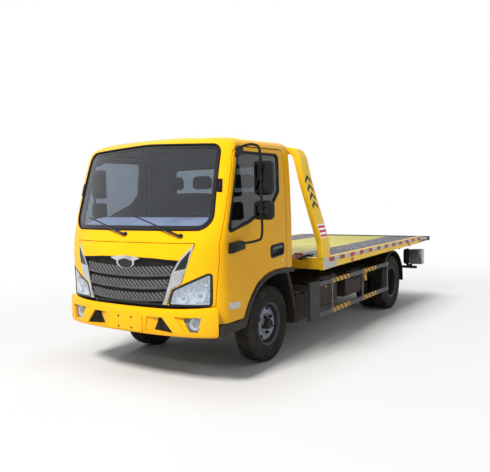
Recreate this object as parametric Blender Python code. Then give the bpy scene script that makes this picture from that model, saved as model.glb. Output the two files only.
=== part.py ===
"""Tilt and slide flatbed recovery truck, as separate pieces with real joints.

Metres, +Z up. The front faces -Y and the driver's side is +X. The origin is on the ground, below
the middle of the truck. Moving pieces hang from empties that stand on their joint axes.
"""

import math

import bmesh
import bpy
from mathutils import Matrix, Vector

# ---------------------------------------------------------------- overall sizes
OVERALL_LENGTH = 5.995
CAB_WIDTH = 1.90
BED_WIDTH = 2.16
WHEELBASE = 3.36
FRONT_OVERHANG = 1.24
TRACK_FRONT = 1.46
TRACK_REAR = 1.434
TWIN_SPACING = 0.234
CAB_LENGTH = 1.542
CAB_TO_BED = 0.438
CAB_ROOF_Z = 2.292
DECK_TOP_Z = 1.0

# ---------------------------------------------------------------- clearances
FIT = 0.0004  # between pieces that touch
SEAM = 0.007  # round a door, a flap or any other piece that swings
ARCH_SEAM = 0.014  # from the wheel arch to the door, whose edge first swings back
PIN_FIT = 0.0015  # between a pin or spindle and its bore

# ---------------------------------------------------------------- wheels
TYRE_RADIUS = 0.388
TYRE_WIDTH = 0.195
RIM_RADIUS = 0.2185
RIM_WIDTH = 0.18
RIM_WALL = 0.007
SPINDLE_RADIUS = 0.03
ROUND_WHEEL = 20  # sides of a tyre, with a flat at the bottom
DRUM_RADIUS = 0.155

# ---------------------------------------------------------------- chassis
FRAME_HALF_WIDTH = 0.36
RAIL_WIDTH = 0.065
RAIL_HEIGHT = 0.16
FRAME_TOP_Z = 0.72
FRAME_FRONT_GAP = 0.235  # from the front of the truck to the rails
FRAME_REAR_GAP = 0.225
CROSS_SIZE = 0.07
KINGPIN_X = 0.62
AXLE_HEIGHT = 0.075
SPRING_WIDTH = 0.06
SPRING_THICKNESS = 0.03
AXLE_TUBE_RADIUS = 0.06
GUARD_X = 1.05  # outer face of the side guards
GUARD_TOP_Z = 0.736
GUARD_LOW_Z = 0.344
GUARD_BAR = 0.05

# ---------------------------------------------------------------- cab
CAB_WALL = 0.045
CAB_GLASS = 0.008
GLASS_SET_BACK = 0.006
DOOR_THICKNESS = 0.065
CAB_BOTTOM_Z = 0.57
CAB_FLOOR_Z = 0.63
ARCH_TOP_Z = 0.952
WHEELHOUSE_FLOOR_Z = 1.0
TUNNEL_HALF_WIDTH = 0.46
TUNNEL_TOP_Z = 0.965
FRONT_CLEAR_Z = 0.84  # the firewall stops here in the middle, clear of the frame as the cab tilts
SKIRT_DEPTH = 0.095
FLARE_WIDTH = 0.055
FLAP_SEAM_Z = 1.29
FLAP_THICKNESS = 0.022
FLAP_SEAM = 0.014  # round the flap, whose swept ends drop as it opens
BUMPER_TOP_Z = 0.712
BUMPER_BOTTOM_Z = 0.468
BUMPER_WALL = 0.03

# ---------------------------------------------------------------- bed
BED_RAIL_HEIGHT = 0.115
BED_RAIL_WIDTH = 0.05
DECK_THICKNESS = 0.012
DECK_DROP = 0.012  # from the top of the rails to the top of the plate
GANTRY_WIDTH_X = 0.07
GANTRY_DEPTH_Y = 0.18
GANTRY_TOP_Z = 2.20
GANTRY_LEAN = 0.345
TAIL_LENGTH = 0.465
SUBFRAME_HALF_WIDTH = 0.34
SUBFRAME_RAIL = (0.06, 0.12)
SUBFRAME_GAP = 0.02  # over the chassis rails
TILT_PIVOT_FROM_REAR = 0.2775
TILT_PIVOT_Z = 0.80
CYLINDER_X = 0.19
BARREL_RADIUS = 0.045
ROD_RADIUS = 0.022
BARREL_PIVOT_FROM_REAR = 2.0975
BARREL_MEMBER_SET = 0.14  # behind the barrels' pin, for the frame's cross member there
REAR_MEMBER_SET = 1.2525
BARREL_PIVOT_Z = 0.58
ROD_EYE_FROM_REAR = 3.0975
ROD_EYE_Z = 0.81

# ---------------------------------------------------------------- places that follow
FRONT_Y = -OVERALL_LENGTH / 2
REAR_Y = OVERALL_LENGTH / 2
FRONT_AXLE_Y = FRONT_Y + FRONT_OVERHANG
REAR_AXLE_Y = FRONT_AXLE_Y + WHEELBASE
CAB_REAR_Y = FRONT_Y + CAB_LENGTH
BED_FRONT_Y = CAB_REAR_Y + CAB_TO_BED
BEHIND_CAB_Y = CAB_REAR_Y - 0.037  # what hangs behind the cab is placed from here
CAB_X = CAB_WIDTH / 2
BED_X = BED_WIDTH / 2
RAIL_X = FRAME_HALF_WIDTH - RAIL_WIDTH / 2
FRAME_BOTTOM_Z = FRAME_TOP_Z - RAIL_HEIGHT
FRAME_FRONT_Y = FRONT_Y + FRAME_FRONT_GAP
FRAME_REAR_Y = REAR_Y - FRAME_REAR_GAP
SUBFRAME_BOTTOM_Z = FRAME_TOP_Z + SUBFRAME_GAP
SUBFRAME_TOP_Z = SUBFRAME_BOTTOM_Z + SUBFRAME_RAIL[1]
BED_BOTTOM_Z = DECK_TOP_Z - BED_RAIL_HEIGHT
TILT_PIVOT_Y = REAR_Y - TILT_PIVOT_FROM_REAR
BARREL_PIVOT_Y = REAR_Y - BARREL_PIVOT_FROM_REAR
ROD_EYE_Y = REAR_Y - ROD_EYE_FROM_REAR
CAB_HINGE_Y = FRONT_Y + 0.30
CAB_HINGE_Z = 0.70
DOOR_HINGE_X = CAB_X + 0.004
DOOR_HINGE_Y = FRONT_Y + 0.24
FLAP_HINGE_Y = FRONT_Y + 0.052
FLAP_HINGE_Z = FLAP_SEAM_Z + 0.003

# ---------------------------------------------------------------- finishes
# slot: colour, roughness, metallic
FINISHES = {
    "body_paint": ((0.95, 0.60, 0.01), 0.30, 0.0),
    "bed_paint": ((0.95, 0.62, 0.02), 0.40, 0.0),
    "chassis_paint": ((0.03, 0.03, 0.035), 0.50, 0.1),
    "grey_steel": ((0.22, 0.23, 0.25), 0.50, 0.3),
    "black_plastic": ((0.03, 0.03, 0.032), 0.45, 0.0),
    "grille_plastic": ((0.09, 0.095, 0.11), 0.40, 0.1),
    "wheel_silver": ((0.55, 0.57, 0.60), 0.35, 0.8),
    "tyre_rubber": ((0.02, 0.02, 0.02), 0.80, 0.0),
    "glass": ((0.10, 0.13, 0.15), 0.05, 0.0),
    "lamp_glass": ((0.80, 0.82, 0.85), 0.10, 0.0),
    "tail_lamp_red": ((0.45, 0.02, 0.02), 0.20, 0.0),
    "interior_grey": ((0.30, 0.31, 0.33), 0.70, 0.0),
    "seat_fabric": ((0.12, 0.12, 0.13), 0.90, 0.0),
    "cylinder_chrome": ((0.75, 0.76, 0.78), 0.15, 1.0),
    "wire_rope": ((0.40, 0.40, 0.42), 0.50, 0.8),
}


# ---------------------------------------------------------------- shapes
def mesh_of(points, faces):
    """A closed mesh with its faces pointing out."""
    made = bmesh.new()
    corners = [made.verts.new(p) for p in points]
    for face in faces:
        made.faces.new([corners[i] for i in face])
    bmesh.ops.recalc_face_normals(made, faces=made.faces)
    mesh = bpy.data.meshes.new("shape")
    made.to_mesh(mesh)
    made.free()
    return mesh


def loft(rings):
    """A solid through rings of equally many points, with a flat cap at each end."""
    count = len(rings[0])
    points = [p for ring in rings for p in ring]
    faces = [list(range(count))[::-1], [len(points) - count + i for i in range(count)]]
    for level in range(len(rings) - 1):
        for i in range(count):
            j = (i + 1) % count
            low, high = level * count, (level + 1) * count
            faces.append((low + i, low + j, high + j, high + i))
    return mesh_of(points, faces)


def prism(axis, outline, low, high):
    """The outline pushed along an axis: (y, z) points along X, (x, z) along Y, (x, y) along Z."""

    def place(point, depth):
        across, up = point
        return {"X": (depth, across, up), "Y": (across, depth, up), "Z": (across, up, depth)}[axis]

    return loft([[place(p, depth) for p in outline] for depth in (low, high)])


def block(x, y, z):
    """A box between two values on each axis."""
    return prism("Z", [(x[0], y[0]), (x[1], y[0]), (x[1], y[1]), (x[0], y[1])], *z)


def turned(profile, centre, sides=ROUND_WHEEL):
    """A closed profile of (x, radius) points turned round an axis along X through centre."""
    rings = []
    for x, radius in profile:
        ring = []
        for i in range(sides):
            angle = 2 * math.pi * (i + 0.5) / sides - math.pi / 2
            ring.append((
                centre[0] + x,
                centre[1] + radius * math.cos(angle),
                centre[2] + radius * math.sin(angle),
            ))
        rings.append(ring)
    points = [p for ring in rings for p in ring]
    faces = []
    for level in range(len(rings)):
        low, high = level * sides, (level + 1) % len(rings) * sides
        for i in range(sides):
            j = (i + 1) % sides
            faces.append((low + i, low + j, high + j, high + i))
    return mesh_of(points, faces)


def rod(start, end, radius, sides=12):
    """A straight round bar with flat ends."""
    return tube([start, end], radius, sides)


def tube(route, radius, sides=10):
    """A round bar that follows a route of points."""
    route = [Vector(p) for p in route]
    runs = [(b - a).normalized() for a, b in zip(route, route[1:])]
    side = runs[0].orthogonal().normalized()
    rings = []
    for i, point in enumerate(route):
        before, after = runs[max(i - 1, 0)], runs[min(i, len(runs) - 1)]
        along = (before + after).normalized()
        side = (side - along * side.dot(along)).normalized()
        over = along.cross(side)
        stretch = 1 / max(along.dot(after), 0.5)
        ring = []
        for k in range(sides):
            angle = 2 * math.pi * (k + 0.5) / sides
            ring.append(point + (side * math.cos(angle) + over * math.sin(angle)) * radius * stretch)
        rings.append(ring)
    return loft(rings)


def arc(centre, radius, start, end, steps):
    """Points on an arc, with its angles in degrees."""
    turn = [math.radians(start + (end - start) * i / steps) for i in range(steps + 1)]
    return [(centre[0] + radius * math.cos(a), centre[1] + radius * math.sin(a)) for a in turn]


def rounded(corners, radius, steps=3):
    """An outline with each of its corners rounded by the same radius."""
    result = []
    for i, corner in enumerate(corners):
        here = Vector(corner)
        to_last = (Vector(corners[i - 1]) - here).normalized()
        to_next = (Vector(corners[(i + 1) % len(corners)]) - here).normalized()
        half = to_last.angle(to_next) / 2
        reach = radius / math.tan(half)
        middle = here + (to_last + to_next).normalized() * radius / math.sin(half)
        first = here + to_last * reach - middle
        turn = first.angle_signed(here + to_next * reach - middle)
        for step in range(steps + 1):
            spoke = first.copy()
            spoke.rotate(Matrix.Rotation(-turn * step / steps, 2))
            result.append(tuple(middle + spoke))
    return result


def mirrored(outline):
    """The same outline on the other side of the centre line."""
    return [(-a, b) for a, b in outline]


def between(value, table):
    """A straight-line reading of a two-column table."""
    for (low, first), (high, second) in zip(table, table[1:]):
        if value <= high:
            break
    share = min(max((value - low) / (high - low), 0), 1)
    return first + (second - first) * share


# ---------------------------------------------------------------- objects
def finish_of(slot):
    material = bpy.data.materials.get(slot)
    if material is None:
        colour, roughness, metallic = FINISHES[slot]
        material = bpy.data.materials.new(slot)
        material.use_nodes = True
        shader = material.node_tree.nodes["Principled BSDF"]
        shader.inputs["Base Color"].default_value = (*colour, 1)
        shader.inputs["Roughness"].default_value = roughness
        shader.inputs["Metallic"].default_value = metallic
    return material


def helper(name, shape, group):
    """A hidden solid that a Boolean adds or takes away, made of a mesh or already an object."""
    made = shape if isinstance(shape, bpy.types.Object) else bpy.data.objects.new(name, shape)
    made.hide_render = True
    made.display_type = "WIRE"
    group.objects.link(made)
    return made


def combine(target, operation, shapes):
    """One Boolean with every one of the shapes."""
    if not shapes:
        return
    group = bpy.data.collections.new(f"{target.name}_{operation.lower()}")
    bpy.context.scene.collection.children.link(group)
    for i, shape in enumerate(shapes):
        modifier = target.modifiers.new(operation.title(), "BOOLEAN")
        modifier.operation = operation
        modifier.object = helper(f"{group.name}_{i}", shape, group)
        modifier.solver = "EXACT"


def node(name, slot, add, cut=(), keep=(), pivot=None):
    """One named piece: the sum of its shapes, inside the kept shape, without the cut shapes."""
    mesh = add[0]
    made = bpy.data.objects.new(name, mesh)
    bpy.context.scene.collection.objects.link(made)
    if pivot:
        made.parent = pivot
        mesh.transform(Matrix.Translation(-pivot.matrix_world.translation))
    mesh.shade_smooth()
    mesh.set_sharp_from_angle(angle=math.radians(35))
    mesh.materials.append(finish_of(slot))
    combine(made, "UNION", add[1:])
    for shape in keep:
        combine(made, "INTERSECT", [shape])
    combine(made, "DIFFERENCE", cut)
    return made


def space(name, shape, keep=(), cut=()):
    """A hidden solid that is itself made by Booleans, for use as a cutter."""
    made = bpy.data.objects.new(name, shape)
    for mesh in keep:
        combine(made, "INTERSECT", [mesh])
    combine(made, "DIFFERENCE", cut)
    return made


def pivot_at(name, place, parent=None):
    """An empty on a joint's axis."""
    made = bpy.data.objects.new(name, None)
    bpy.context.scene.collection.objects.link(made)
    made.empty_display_size = 0.15
    made.parent = parent
    made.location = Vector(place) - (parent.matrix_world.translation if parent else Vector())
    bpy.context.view_layer.update()
    return made


def both_sides():
    """Each side's name and its sign on X."""
    return (("left", 1), ("right", -1))


# ---------------------------------------------------------------- cab form
# height, front centre behind FRONT_Y, side in from CAB_X, rear wall forward of CAB_REAR_Y, corners' sweep
CAB_SECTIONS = (
    (0.57, 0.0125, 0.0, 0.0, 0.33),
    (0.80, 0.0125, 0.0, 0.0, 0.33),
    (1.15, 0.0310, 0.0, 0.0, 0.27),
    (1.30, 0.0675, 0.0, 0.0, 0.23),
    (1.395, 0.110, 0.0, 0.0, 0.195),
    (1.60, 0.178, 0.004, 0.0, 0.165),
    (2.10, 0.345, 0.027, 0.0, 0.14),
    (2.175, 0.378, 0.043, 0.0, 0.14),
    (2.225, 0.428, 0.092, 0.02, 0.16),
    (2.262, 0.535, 0.175, 0.06, 0.19),
    (2.284, 0.735, 0.300, 0.13, 0.22),
    (CAB_ROOF_Z, 0.950, 0.460, 0.24, 0.24),
)
ROOF_STARTS_Z = 2.10
FRONT_SWEEP = 0.26
FRONT_CROWN = 0.045
FRONT_POWER = 2.6
REAR_CORNER = 0.05
FRONT_TURNS = (0, 30, 50, 66, 79, 90)  # degrees along the front corner


def cab_outline(front, side, rear, sweep=FRONT_SWEEP):
    """(x, y) points round the cab: a full front with swept corners, straight sides, a flat rear."""
    half = []
    for degrees in FRONT_TURNS:
        turn = math.radians(degrees)
        across = math.sin(turn) ** (2 / FRONT_POWER)
        back = sweep * (1 - max(math.cos(turn), 0) ** (2 / FRONT_POWER))
        half.append((side * across, front + FRONT_CROWN * across**2 + back))
    half.append((side, rear - REAR_CORNER))
    half.append((side - 0.3 * REAR_CORNER, rear - 0.3 * REAR_CORNER))
    half.append((side - REAR_CORNER, rear))
    return half + mirrored(half[:0:-1])


def cab_form(inset, sections=CAB_SECTIONS):
    """The cab's outer form, moved in by inset all round."""
    rings = []
    for height, back, narrow, forward, sweep in sections:
        lower = inset * between(height, ((ROOF_STARTS_Z, 0), (CAB_ROOF_Z, 1)))
        outline = cab_outline(
            FRONT_Y + back + inset, CAB_X - narrow - inset, CAB_REAR_Y - forward - inset, sweep
        )
        rings.append([(x, y, height - lower) for x, y in outline])
    return loft(rings)


def side_form(inset):
    """The cab's sides, moved in by inset and run on past its front."""
    ahead = FRONT_SWEEP + FRONT_CROWN + 0.1
    rings = []
    for height, _, narrow, _, _ in CAB_SECTIONS:
        outline = cab_outline(FRONT_Y - ahead, CAB_X - narrow - inset, CAB_REAR_Y + 0.2)
        rings.append([(x, y, height) for x, y in outline])
    low = [(x, y, z - 0.2) for x, y, z in rings[0]]
    return loft([low, *rings])


def grown(outline, by):
    """The outline moved out by a distance, or in where it is negative."""
    area = sum(a[0] * b[1] - b[0] * a[1] for a, b in zip(outline, outline[1:] + outline[:1]))
    turn = 1 if area > 0 else -1
    result = []
    for i, corner in enumerate(outline):
        here = Vector(corner)
        into = (here - Vector(outline[i - 1])).normalized()
        onward = (Vector(outline[(i + 1) % len(outline)]) - here).normalized()
        normal_in = Vector((into.y, -into.x)) * turn
        normal_on = Vector((onward.y, -onward.x)) * turn
        middle = (normal_in + normal_on).normalized()
        result.append(tuple(here + middle * by / max(middle.dot(normal_in), 0.4)))
    return result


# ---------------------------------------------------------------- cab outlines
# (y from FRONT_Y, z) along the wheel arch, from the sill to the rear of the cab
ARCH_EDGE = [(0.566, 0.571), (0.615, 0.650), (0.675, 0.730), (0.76, 0.815), (0.86, 0.884), (1.0, 0.933), (1.149, 0.952)]
ARCH = [(FRONT_Y + a, z) for a, z in ARCH_EDGE]
ARCH_END = (CAB_REAR_Y, ARCH_TOP_Z)


def along_arch(gap):
    """The wheel arch's line, moved up and forward by a gap."""
    line = [(FRONT_Y, CAB_BOTTOM_Z)] + ARCH + [ARCH_END]
    moved = []
    for last, here, after in zip(line, line[1:], line[2:]):
        along = (Vector(after) - Vector(last)).normalized()
        moved.append((here[0] - along.y * gap, here[1] + along.x * gap))
    return moved


DOOR_REAR_Y = CAB_REAR_Y - 0.152
DOOR_FRONT_Y = FRONT_Y + 0.215
DOOR_TOP_Z = 2.145
DOOR_CORNER = 0.07
# (y, z) along the door's top, from its rear edge to the foot of the windshield pillar
DOOR_UPPER_EDGE = (
    arc((DOOR_REAR_Y - DOOR_CORNER, DOOR_TOP_Z - DOOR_CORNER), DOOR_CORNER, 0, 90, 3)
    + [(FRONT_Y + 0.56, DOOR_TOP_Z), (FRONT_Y + 0.50, DOOR_TOP_Z - 0.05), (FRONT_Y + 0.26, 1.30)]
)
# the hole runs on below the sill and the arch, where the cab has no side
DOOR_FOOT = (DOOR_FRONT_Y, CAB_BOTTOM_Z + SEAM)
DOOR_HOLE = [(DOOR_FRONT_Y, 0.4), (DOOR_REAR_Y, 0.4)] + DOOR_UPPER_EDGE + [DOOR_FOOT]
DOOR_OUTLINE = (
    [DOOR_FOOT]
    + along_arch(ARCH_SEAM)
    + [(DOOR_REAR_Y, ARCH_TOP_Z + ARCH_SEAM)]
    + DOOR_UPPER_EDGE
)
DOOR_WINDOW = rounded(
    [
        (FRONT_Y + 0.335, 1.372),
        (FRONT_Y + 0.70, 1.455),
        (FRONT_Y + 1.15, 1.62),
        (FRONT_Y + 1.262, 1.73),
        (FRONT_Y + 1.285, 2.10),
        (FRONT_Y + 0.56, 2.10),
    ],
    0.035,
)


def from_side(outline):
    """An outline given as (distance in from the cab's side, z), as (x, z) points."""
    return [(CAB_X - a, z) for a, z in outline]


WINDSHIELD_HALF = from_side([(0.085, 1.402), (0.127, 2.172)])
WINDSHIELD_CORNERS = WINDSHIELD_HALF + [(0, 2.210)] + mirrored(WINDSHIELD_HALF[::-1])
WINDSHIELD = rounded(WINDSHIELD_CORNERS, 0.10, 4)
REAR_WINDOW_HALF = from_side([(0.35, 1.52), (0.35, 2.02)])
REAR_WINDOW = rounded(REAR_WINDOW_HALF + mirrored(REAR_WINDOW_HALF[::-1]), 0.06)
HEADLAMP = from_side([(0.460, 0.744), (0.090, 0.744), (0.082, 1.037), (0.415, 0.882)])
FLAP_HALF = from_side([(0.225, FLAP_SEAM_Z), (0.228, 1.175), (0.336, 0.940), (0.430, 0.893), (0.476, 0.744)])
FLAP_OUTLINE = FLAP_HALF + mirrored(FLAP_HALF[::-1])
# the grille's top edge; below it the grille fills the flap
GRILLE_HALF = from_side([(0.356, 1.143), (0.215, 1.278), (0.15, 1.20), (0.15, 0.6)])
GRILLE_OUTLINE = [(0, 1.166)] + GRILLE_HALF + mirrored(GRILLE_HALF[::-1])
FOG_LAMP = from_side([(0.322, 0.627), (0.266, 0.522), (0.186, 0.519), (0.160, 0.636)])
BUMPER_VENT = [(0.300, 0.528), (0.362, 0.616), (0.425, 0.616), (0.530, 0.508)]
PLATE_PAD = [(-0.207, 0.486), (0.207, 0.486), (0.207, 0.626), (-0.207, 0.626)]

FIREWALL_Y = FRONT_Y + 0.21
DASH_TOP_Z = 1.34
INTERIOR_SIDE = [
    (FIREWALL_Y + CAB_WALL, CAB_FLOOR_Z),
    (FRONT_Y + 0.50, CAB_FLOOR_Z),
    (FRONT_Y + 0.62, WHEELHOUSE_FLOOR_Z),
    (CAB_REAR_Y, WHEELHOUSE_FLOOR_Z),
    (CAB_REAR_Y, CAB_ROOF_Z),
    (FRONT_Y, CAB_ROOF_Z),
    (FRONT_Y, DASH_TOP_Z),
    (FIREWALL_Y + CAB_WALL, DASH_TOP_Z),
]
ACROSS = (-CAB_X - 0.1, CAB_X + 0.1)
AHEAD = (FRONT_Y - 0.1, FIREWALL_Y)
LOW_FRONT_Z = 0.75  # the cab has no skin ahead of the firewall below this


def front_shell(inset, thickness):
    """The cab's skin, as a pair: the form, and what is cut from behind it."""
    return cab_form(inset), cab_form(inset + thickness)


def door_space(name, side):
    """The hole for a door, as deep as the door and its clearance."""
    reach = sorted((side * 0.3, side * (CAB_X + 0.1)))
    return space(f"door_space_{name}", prism("X", grown(DOOR_HOLE, SEAM), *reach), cut=[side_form(DOOR_THICKNESS + SEAM)])


def make_cab_shell(cab):
    tunnel = block(
        (-TUNNEL_HALF_WIDTH - 0.03, TUNNEL_HALF_WIDTH + 0.03),
        (FRONT_Y, CAB_REAR_Y + 0.1),
        (CAB_BOTTOM_Z - 0.1, WHEELHOUSE_FLOOR_Z),
    )
    interior = space("cab_interior", cab_form(CAB_WALL), [prism("X", INTERIOR_SIDE, *ACROSS)], [tunnel])
    arch_line = [(FRONT_Y + 0.566, 0.3)] + ARCH + [(CAB_REAR_Y + 0.1, ARCH_TOP_Z), (CAB_REAR_Y + 0.1, 0.3)]
    under_tunnel = block(
        (-TUNNEL_HALF_WIDTH, TUNNEL_HALF_WIDTH),
        (FIREWALL_Y + 0.02, CAB_REAR_Y + 0.1),
        (CAB_BOTTOM_Z - 0.1, TUNNEL_TOP_Z),
    )
    below_front = block((-TUNNEL_HALF_WIDTH, TUNNEL_HALF_WIDTH), (FRONT_Y, FIREWALL_Y + 0.1), (0.3, FRONT_CLEAR_Z))
    cuts = [
        interior,
        prism("X", arch_line, *ACROSS),
        under_tunnel,
        below_front,
        prism("Y", grown(FLAP_OUTLINE, FLAP_SEAM), *AHEAD),
        block((0.07 - CAB_X, CAB_X - 0.07), (FRONT_Y - 0.1, FRONT_Y + 0.16), (0.3, LOW_FRONT_Z)),
        prism("Y", WINDSHIELD, FRONT_Y, FRONT_Y + 0.7),
        prism("Y", REAR_WINDOW, CAB_REAR_Y - 0.2, CAB_REAR_Y + 0.1),
    ]
    for name, side in both_sides():
        cuts.append(door_space(name, side))
        outline = grown(HEADLAMP, FIT)
        cuts.append(prism("Y", outline if side > 0 else mirrored(outline), FRONT_Y - 0.1, FRONT_Y + 0.40))
    node("cab_shell", "body_paint", [cab_form(0)], cuts, pivot=cab)


def make_cab_glass(cab):
    skin, behind = front_shell(GLASS_SET_BACK, CAB_GLASS)
    node(
        "windshield",
        "glass",
        [skin],
        [behind],
        [prism("Y", grown(WINDSHIELD, -FIT), FRONT_Y, FRONT_Y + 0.66)],
        pivot=cab,
    )
    rear = (CAB_REAR_Y - GLASS_SET_BACK - CAB_GLASS, CAB_REAR_Y - GLASS_SET_BACK)
    node("rear_window", "glass", [prism("Y", grown(REAR_WINDOW, -FIT), *rear)], pivot=cab)


def make_headlamps(cab):
    for name, side in both_sides():
        outline = HEADLAMP if side > 0 else mirrored(HEADLAMP)
        skin, behind = front_shell(0.003, 0.05)
        reach = (FRONT_Y - 0.1, FRONT_Y + 0.395)
        node(f"headlamp_{name}", "lamp_glass", [skin], [behind], [prism("Y", outline, *reach)], pivot=cab)


def make_front_flap(flap):
    """The hinged panel under the windshield, with its grille and its two side trims."""
    skin, behind = front_shell(0, FLAP_THICKNESS)
    keep = [prism("Y", FLAP_OUTLINE, *AHEAD)]
    panel_cut = [prism("Y", grown(GRILLE_OUTLINE, FIT), *AHEAD)]
    node("front_panel", "body_paint", [skin], [behind, *panel_cut], keep, pivot=flap)
    skin, behind = front_shell(0.006, FLAP_THICKNESS)
    keep = [prism("Y", FLAP_OUTLINE, *AHEAD), prism("Y", GRILLE_OUTLINE, *AHEAD)]
    node("grille", "grille_plastic", [skin], [behind], keep, pivot=flap)


# ---------------------------------------------------------------- bumper
BUMPER_SET = 0.008  # behind the plate pad
BUMPER_PROUD = 0.003  # outside the cab's sides
BUMPER_SWEEP = 0.21
BUMPER_END_Y = DOOR_FRONT_Y - 0.025
# height, behind the bumper's front, in from its side
BUMPER_SECTIONS = ((BUMPER_BOTTOM_Z, 0.010, 0.006), (0.50, 0.002, 0.0), (0.64, 0.0, 0.0), (0.69, 0.004, 0.002), (BUMPER_TOP_Z, 0.016, 0.008))


def bumper_form(inset, sections=BUMPER_SECTIONS):
    rings = []
    for height, back, narrow in sections:
        side = CAB_X + BUMPER_PROUD - narrow - inset
        outline = cab_outline(FRONT_Y + BUMPER_SET + back + inset, side, CAB_REAR_Y, BUMPER_SWEEP)
        rings.append([(x, y, height) for x, y in outline])
    return loft(rings)


def make_bumper(cab):
    ahead = (FRONT_Y - 0.1, FRONT_Y + 0.15)
    openings = []
    for _, side in both_sides():
        for outline in (FOG_LAMP, BUMPER_VENT):
            openings.append(prism("Y", outline if side > 0 else mirrored(outline), *ahead))
    keep = block(ACROSS, (FRONT_Y - 0.1, BUMPER_END_Y), (BUMPER_BOTTOM_Z - 0.1, BUMPER_TOP_Z + 0.1))
    inside = ((BUMPER_BOTTOM_Z - 0.1, 0.0, 0.0), (BUMPER_TOP_Z + 0.1, 0.0, 0.0))
    pad = prism("Y", PLATE_PAD, FRONT_Y, FRONT_Y + 0.025)
    node(
        "front_bumper",
        "body_paint",
        [bumper_form(0), pad],
        [bumper_form(BUMPER_WALL, inside), *openings],
        [keep],
        pivot=cab,
    )


# ---------------------------------------------------------------- cab sides and inside
SKIRT_FRONT_Y = DOOR_FRONT_Y - 0.005
SKIRT_REAR_Y = FRONT_Y + 0.60
TRIM_X = (CAB_X - 0.045, CAB_X + 0.006)


def make_arch_trims(cab):
    """The dark sill under each door, which runs on as a flare round the wheel arch."""
    inner = [(y + 0.030, z - FLARE_WIDTH * 0.75) for y, z in ARCH[2:]]
    outline = (
        [(SKIRT_FRONT_Y, CAB_BOTTOM_Z - SKIRT_DEPTH), (SKIRT_REAR_Y, CAB_BOTTOM_Z - SKIRT_DEPTH + 0.02)]
        + inner
        + [(CAB_REAR_Y, ARCH_TOP_Z - FLARE_WIDTH), (CAB_REAR_Y, ARCH_TOP_Z - FIT)]
        + [(y + FIT, z - FIT) for y, z in ARCH[::-1]]
        + [(FRONT_Y + 0.566, CAB_BOTTOM_Z - FIT), (SKIRT_FRONT_Y, CAB_BOTTOM_Z - FIT)]
    )
    for name, side in both_sides():
        reach = sorted((side * TRIM_X[0], side * TRIM_X[1]))
        node(f"arch_trim_{name}", "black_plastic", [prism("X", outline, *reach)], pivot=cab)


def make_door(name, side, hinge):
    reach = sorted((side * 0.5, side * (CAB_X + 0.1)))
    window = prism("X", DOOR_WINDOW, *reach)
    outline = prism("X", DOOR_OUTLINE, *reach)
    node(f"door_{name}", "body_paint", [cab_form(0)], [side_form(DOOR_THICKNESS), window], [outline], pivot=hinge)
    pane = prism("X", grown(DOOR_WINDOW, -FIT), *reach)
    outer, inner = side_form(GLASS_SET_BACK + 0.004), side_form(GLASS_SET_BACK + 0.004 + CAB_GLASS)
    node(f"door_glass_{name}", "glass", [outer], [inner], [pane], pivot=hinge)
    make_mirror(name, side, hinge)


MIRROR_POLE_X = 0.155  # outside the cab
MIRROR_POLE_Y = FRONT_Y + 0.640
# bottom, top, width, how far its back bulges
MIRROR_HEADS = ((1.475, 1.651, 0.20, 0.075), (1.700, 2.020, 0.19, 0.080))


def make_mirror(name, side, hinge):
    """A pole with two heads. The right one stands further back along its door."""
    pole_x = CAB_X + MIRROR_POLE_X
    back_by = 0 if side > 0 else 0.09
    front_y, pole_y = FRONT_Y + back_by, MIRROR_POLE_Y + back_by
    route = [
        (CAB_X - 0.035, front_y + 0.545, 2.115),
        (CAB_X + 0.045, front_y + 0.575, 2.150),
        (CAB_X + 0.110, front_y + 0.615, 2.155),
        (pole_x, pole_y, 2.110),
        (pole_x + 0.008, pole_y + 0.005, 1.70),
        (pole_x + 0.004, pole_y + 0.010, 1.340),
        (pole_x - 0.040, pole_y - 0.010, 1.290),
        (CAB_X + 0.020, front_y + 0.480, 1.272),
    ]
    shapes = [tube([(side * x, y, z) for x, y, z in route], 0.013, 8)]
    for bottom, top, width, bulge in MIRROR_HEADS:
        front, back = pole_y + 0.012, pole_y + 0.012 + bulge
        low, high = pole_x - width / 2, pole_x + width / 2
        outline = rounded([(low, bottom), (high, bottom), (high, top), (low, top)], 0.035, 2)
        rings = []
        for y, shrink in ((front, 0.022), (front + 0.03, 0.004), (back, 0.0)):
            rings.append([(side * x, y, z) for x, z in grown(outline, -shrink)])
        shapes.append(loft(rings))
        shapes.append(block(
            sorted((side * (pole_x - 0.02), side * (pole_x + 0.02))),
            (pole_y - 0.012, front + 0.03),
            ((bottom + top) / 2 - 0.035, (bottom + top) / 2 + 0.035),
        ))
    foot = [(front_y + 0.335, 1.189), (front_y + 0.555, 1.215), (front_y + 0.545, 1.297), (front_y + 0.345, 1.285)]
    shapes.append(prism("X", foot, *sorted((side * (CAB_X + FIT), side * (CAB_X + 0.055)))))
    cap = [(front_y + 0.505, 2.05), (front_y + 0.60, 2.085), (front_y + 0.60, 2.135), (front_y + 0.535, 2.135)]
    shapes.append(prism("X", cap, *sorted((side * (CAB_X - 0.0365), side * (CAB_X + 0.010)))))
    node(f"mirror_{name}", "black_plastic", shapes, [cab_form(-FIT)], pivot=hinge)


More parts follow.
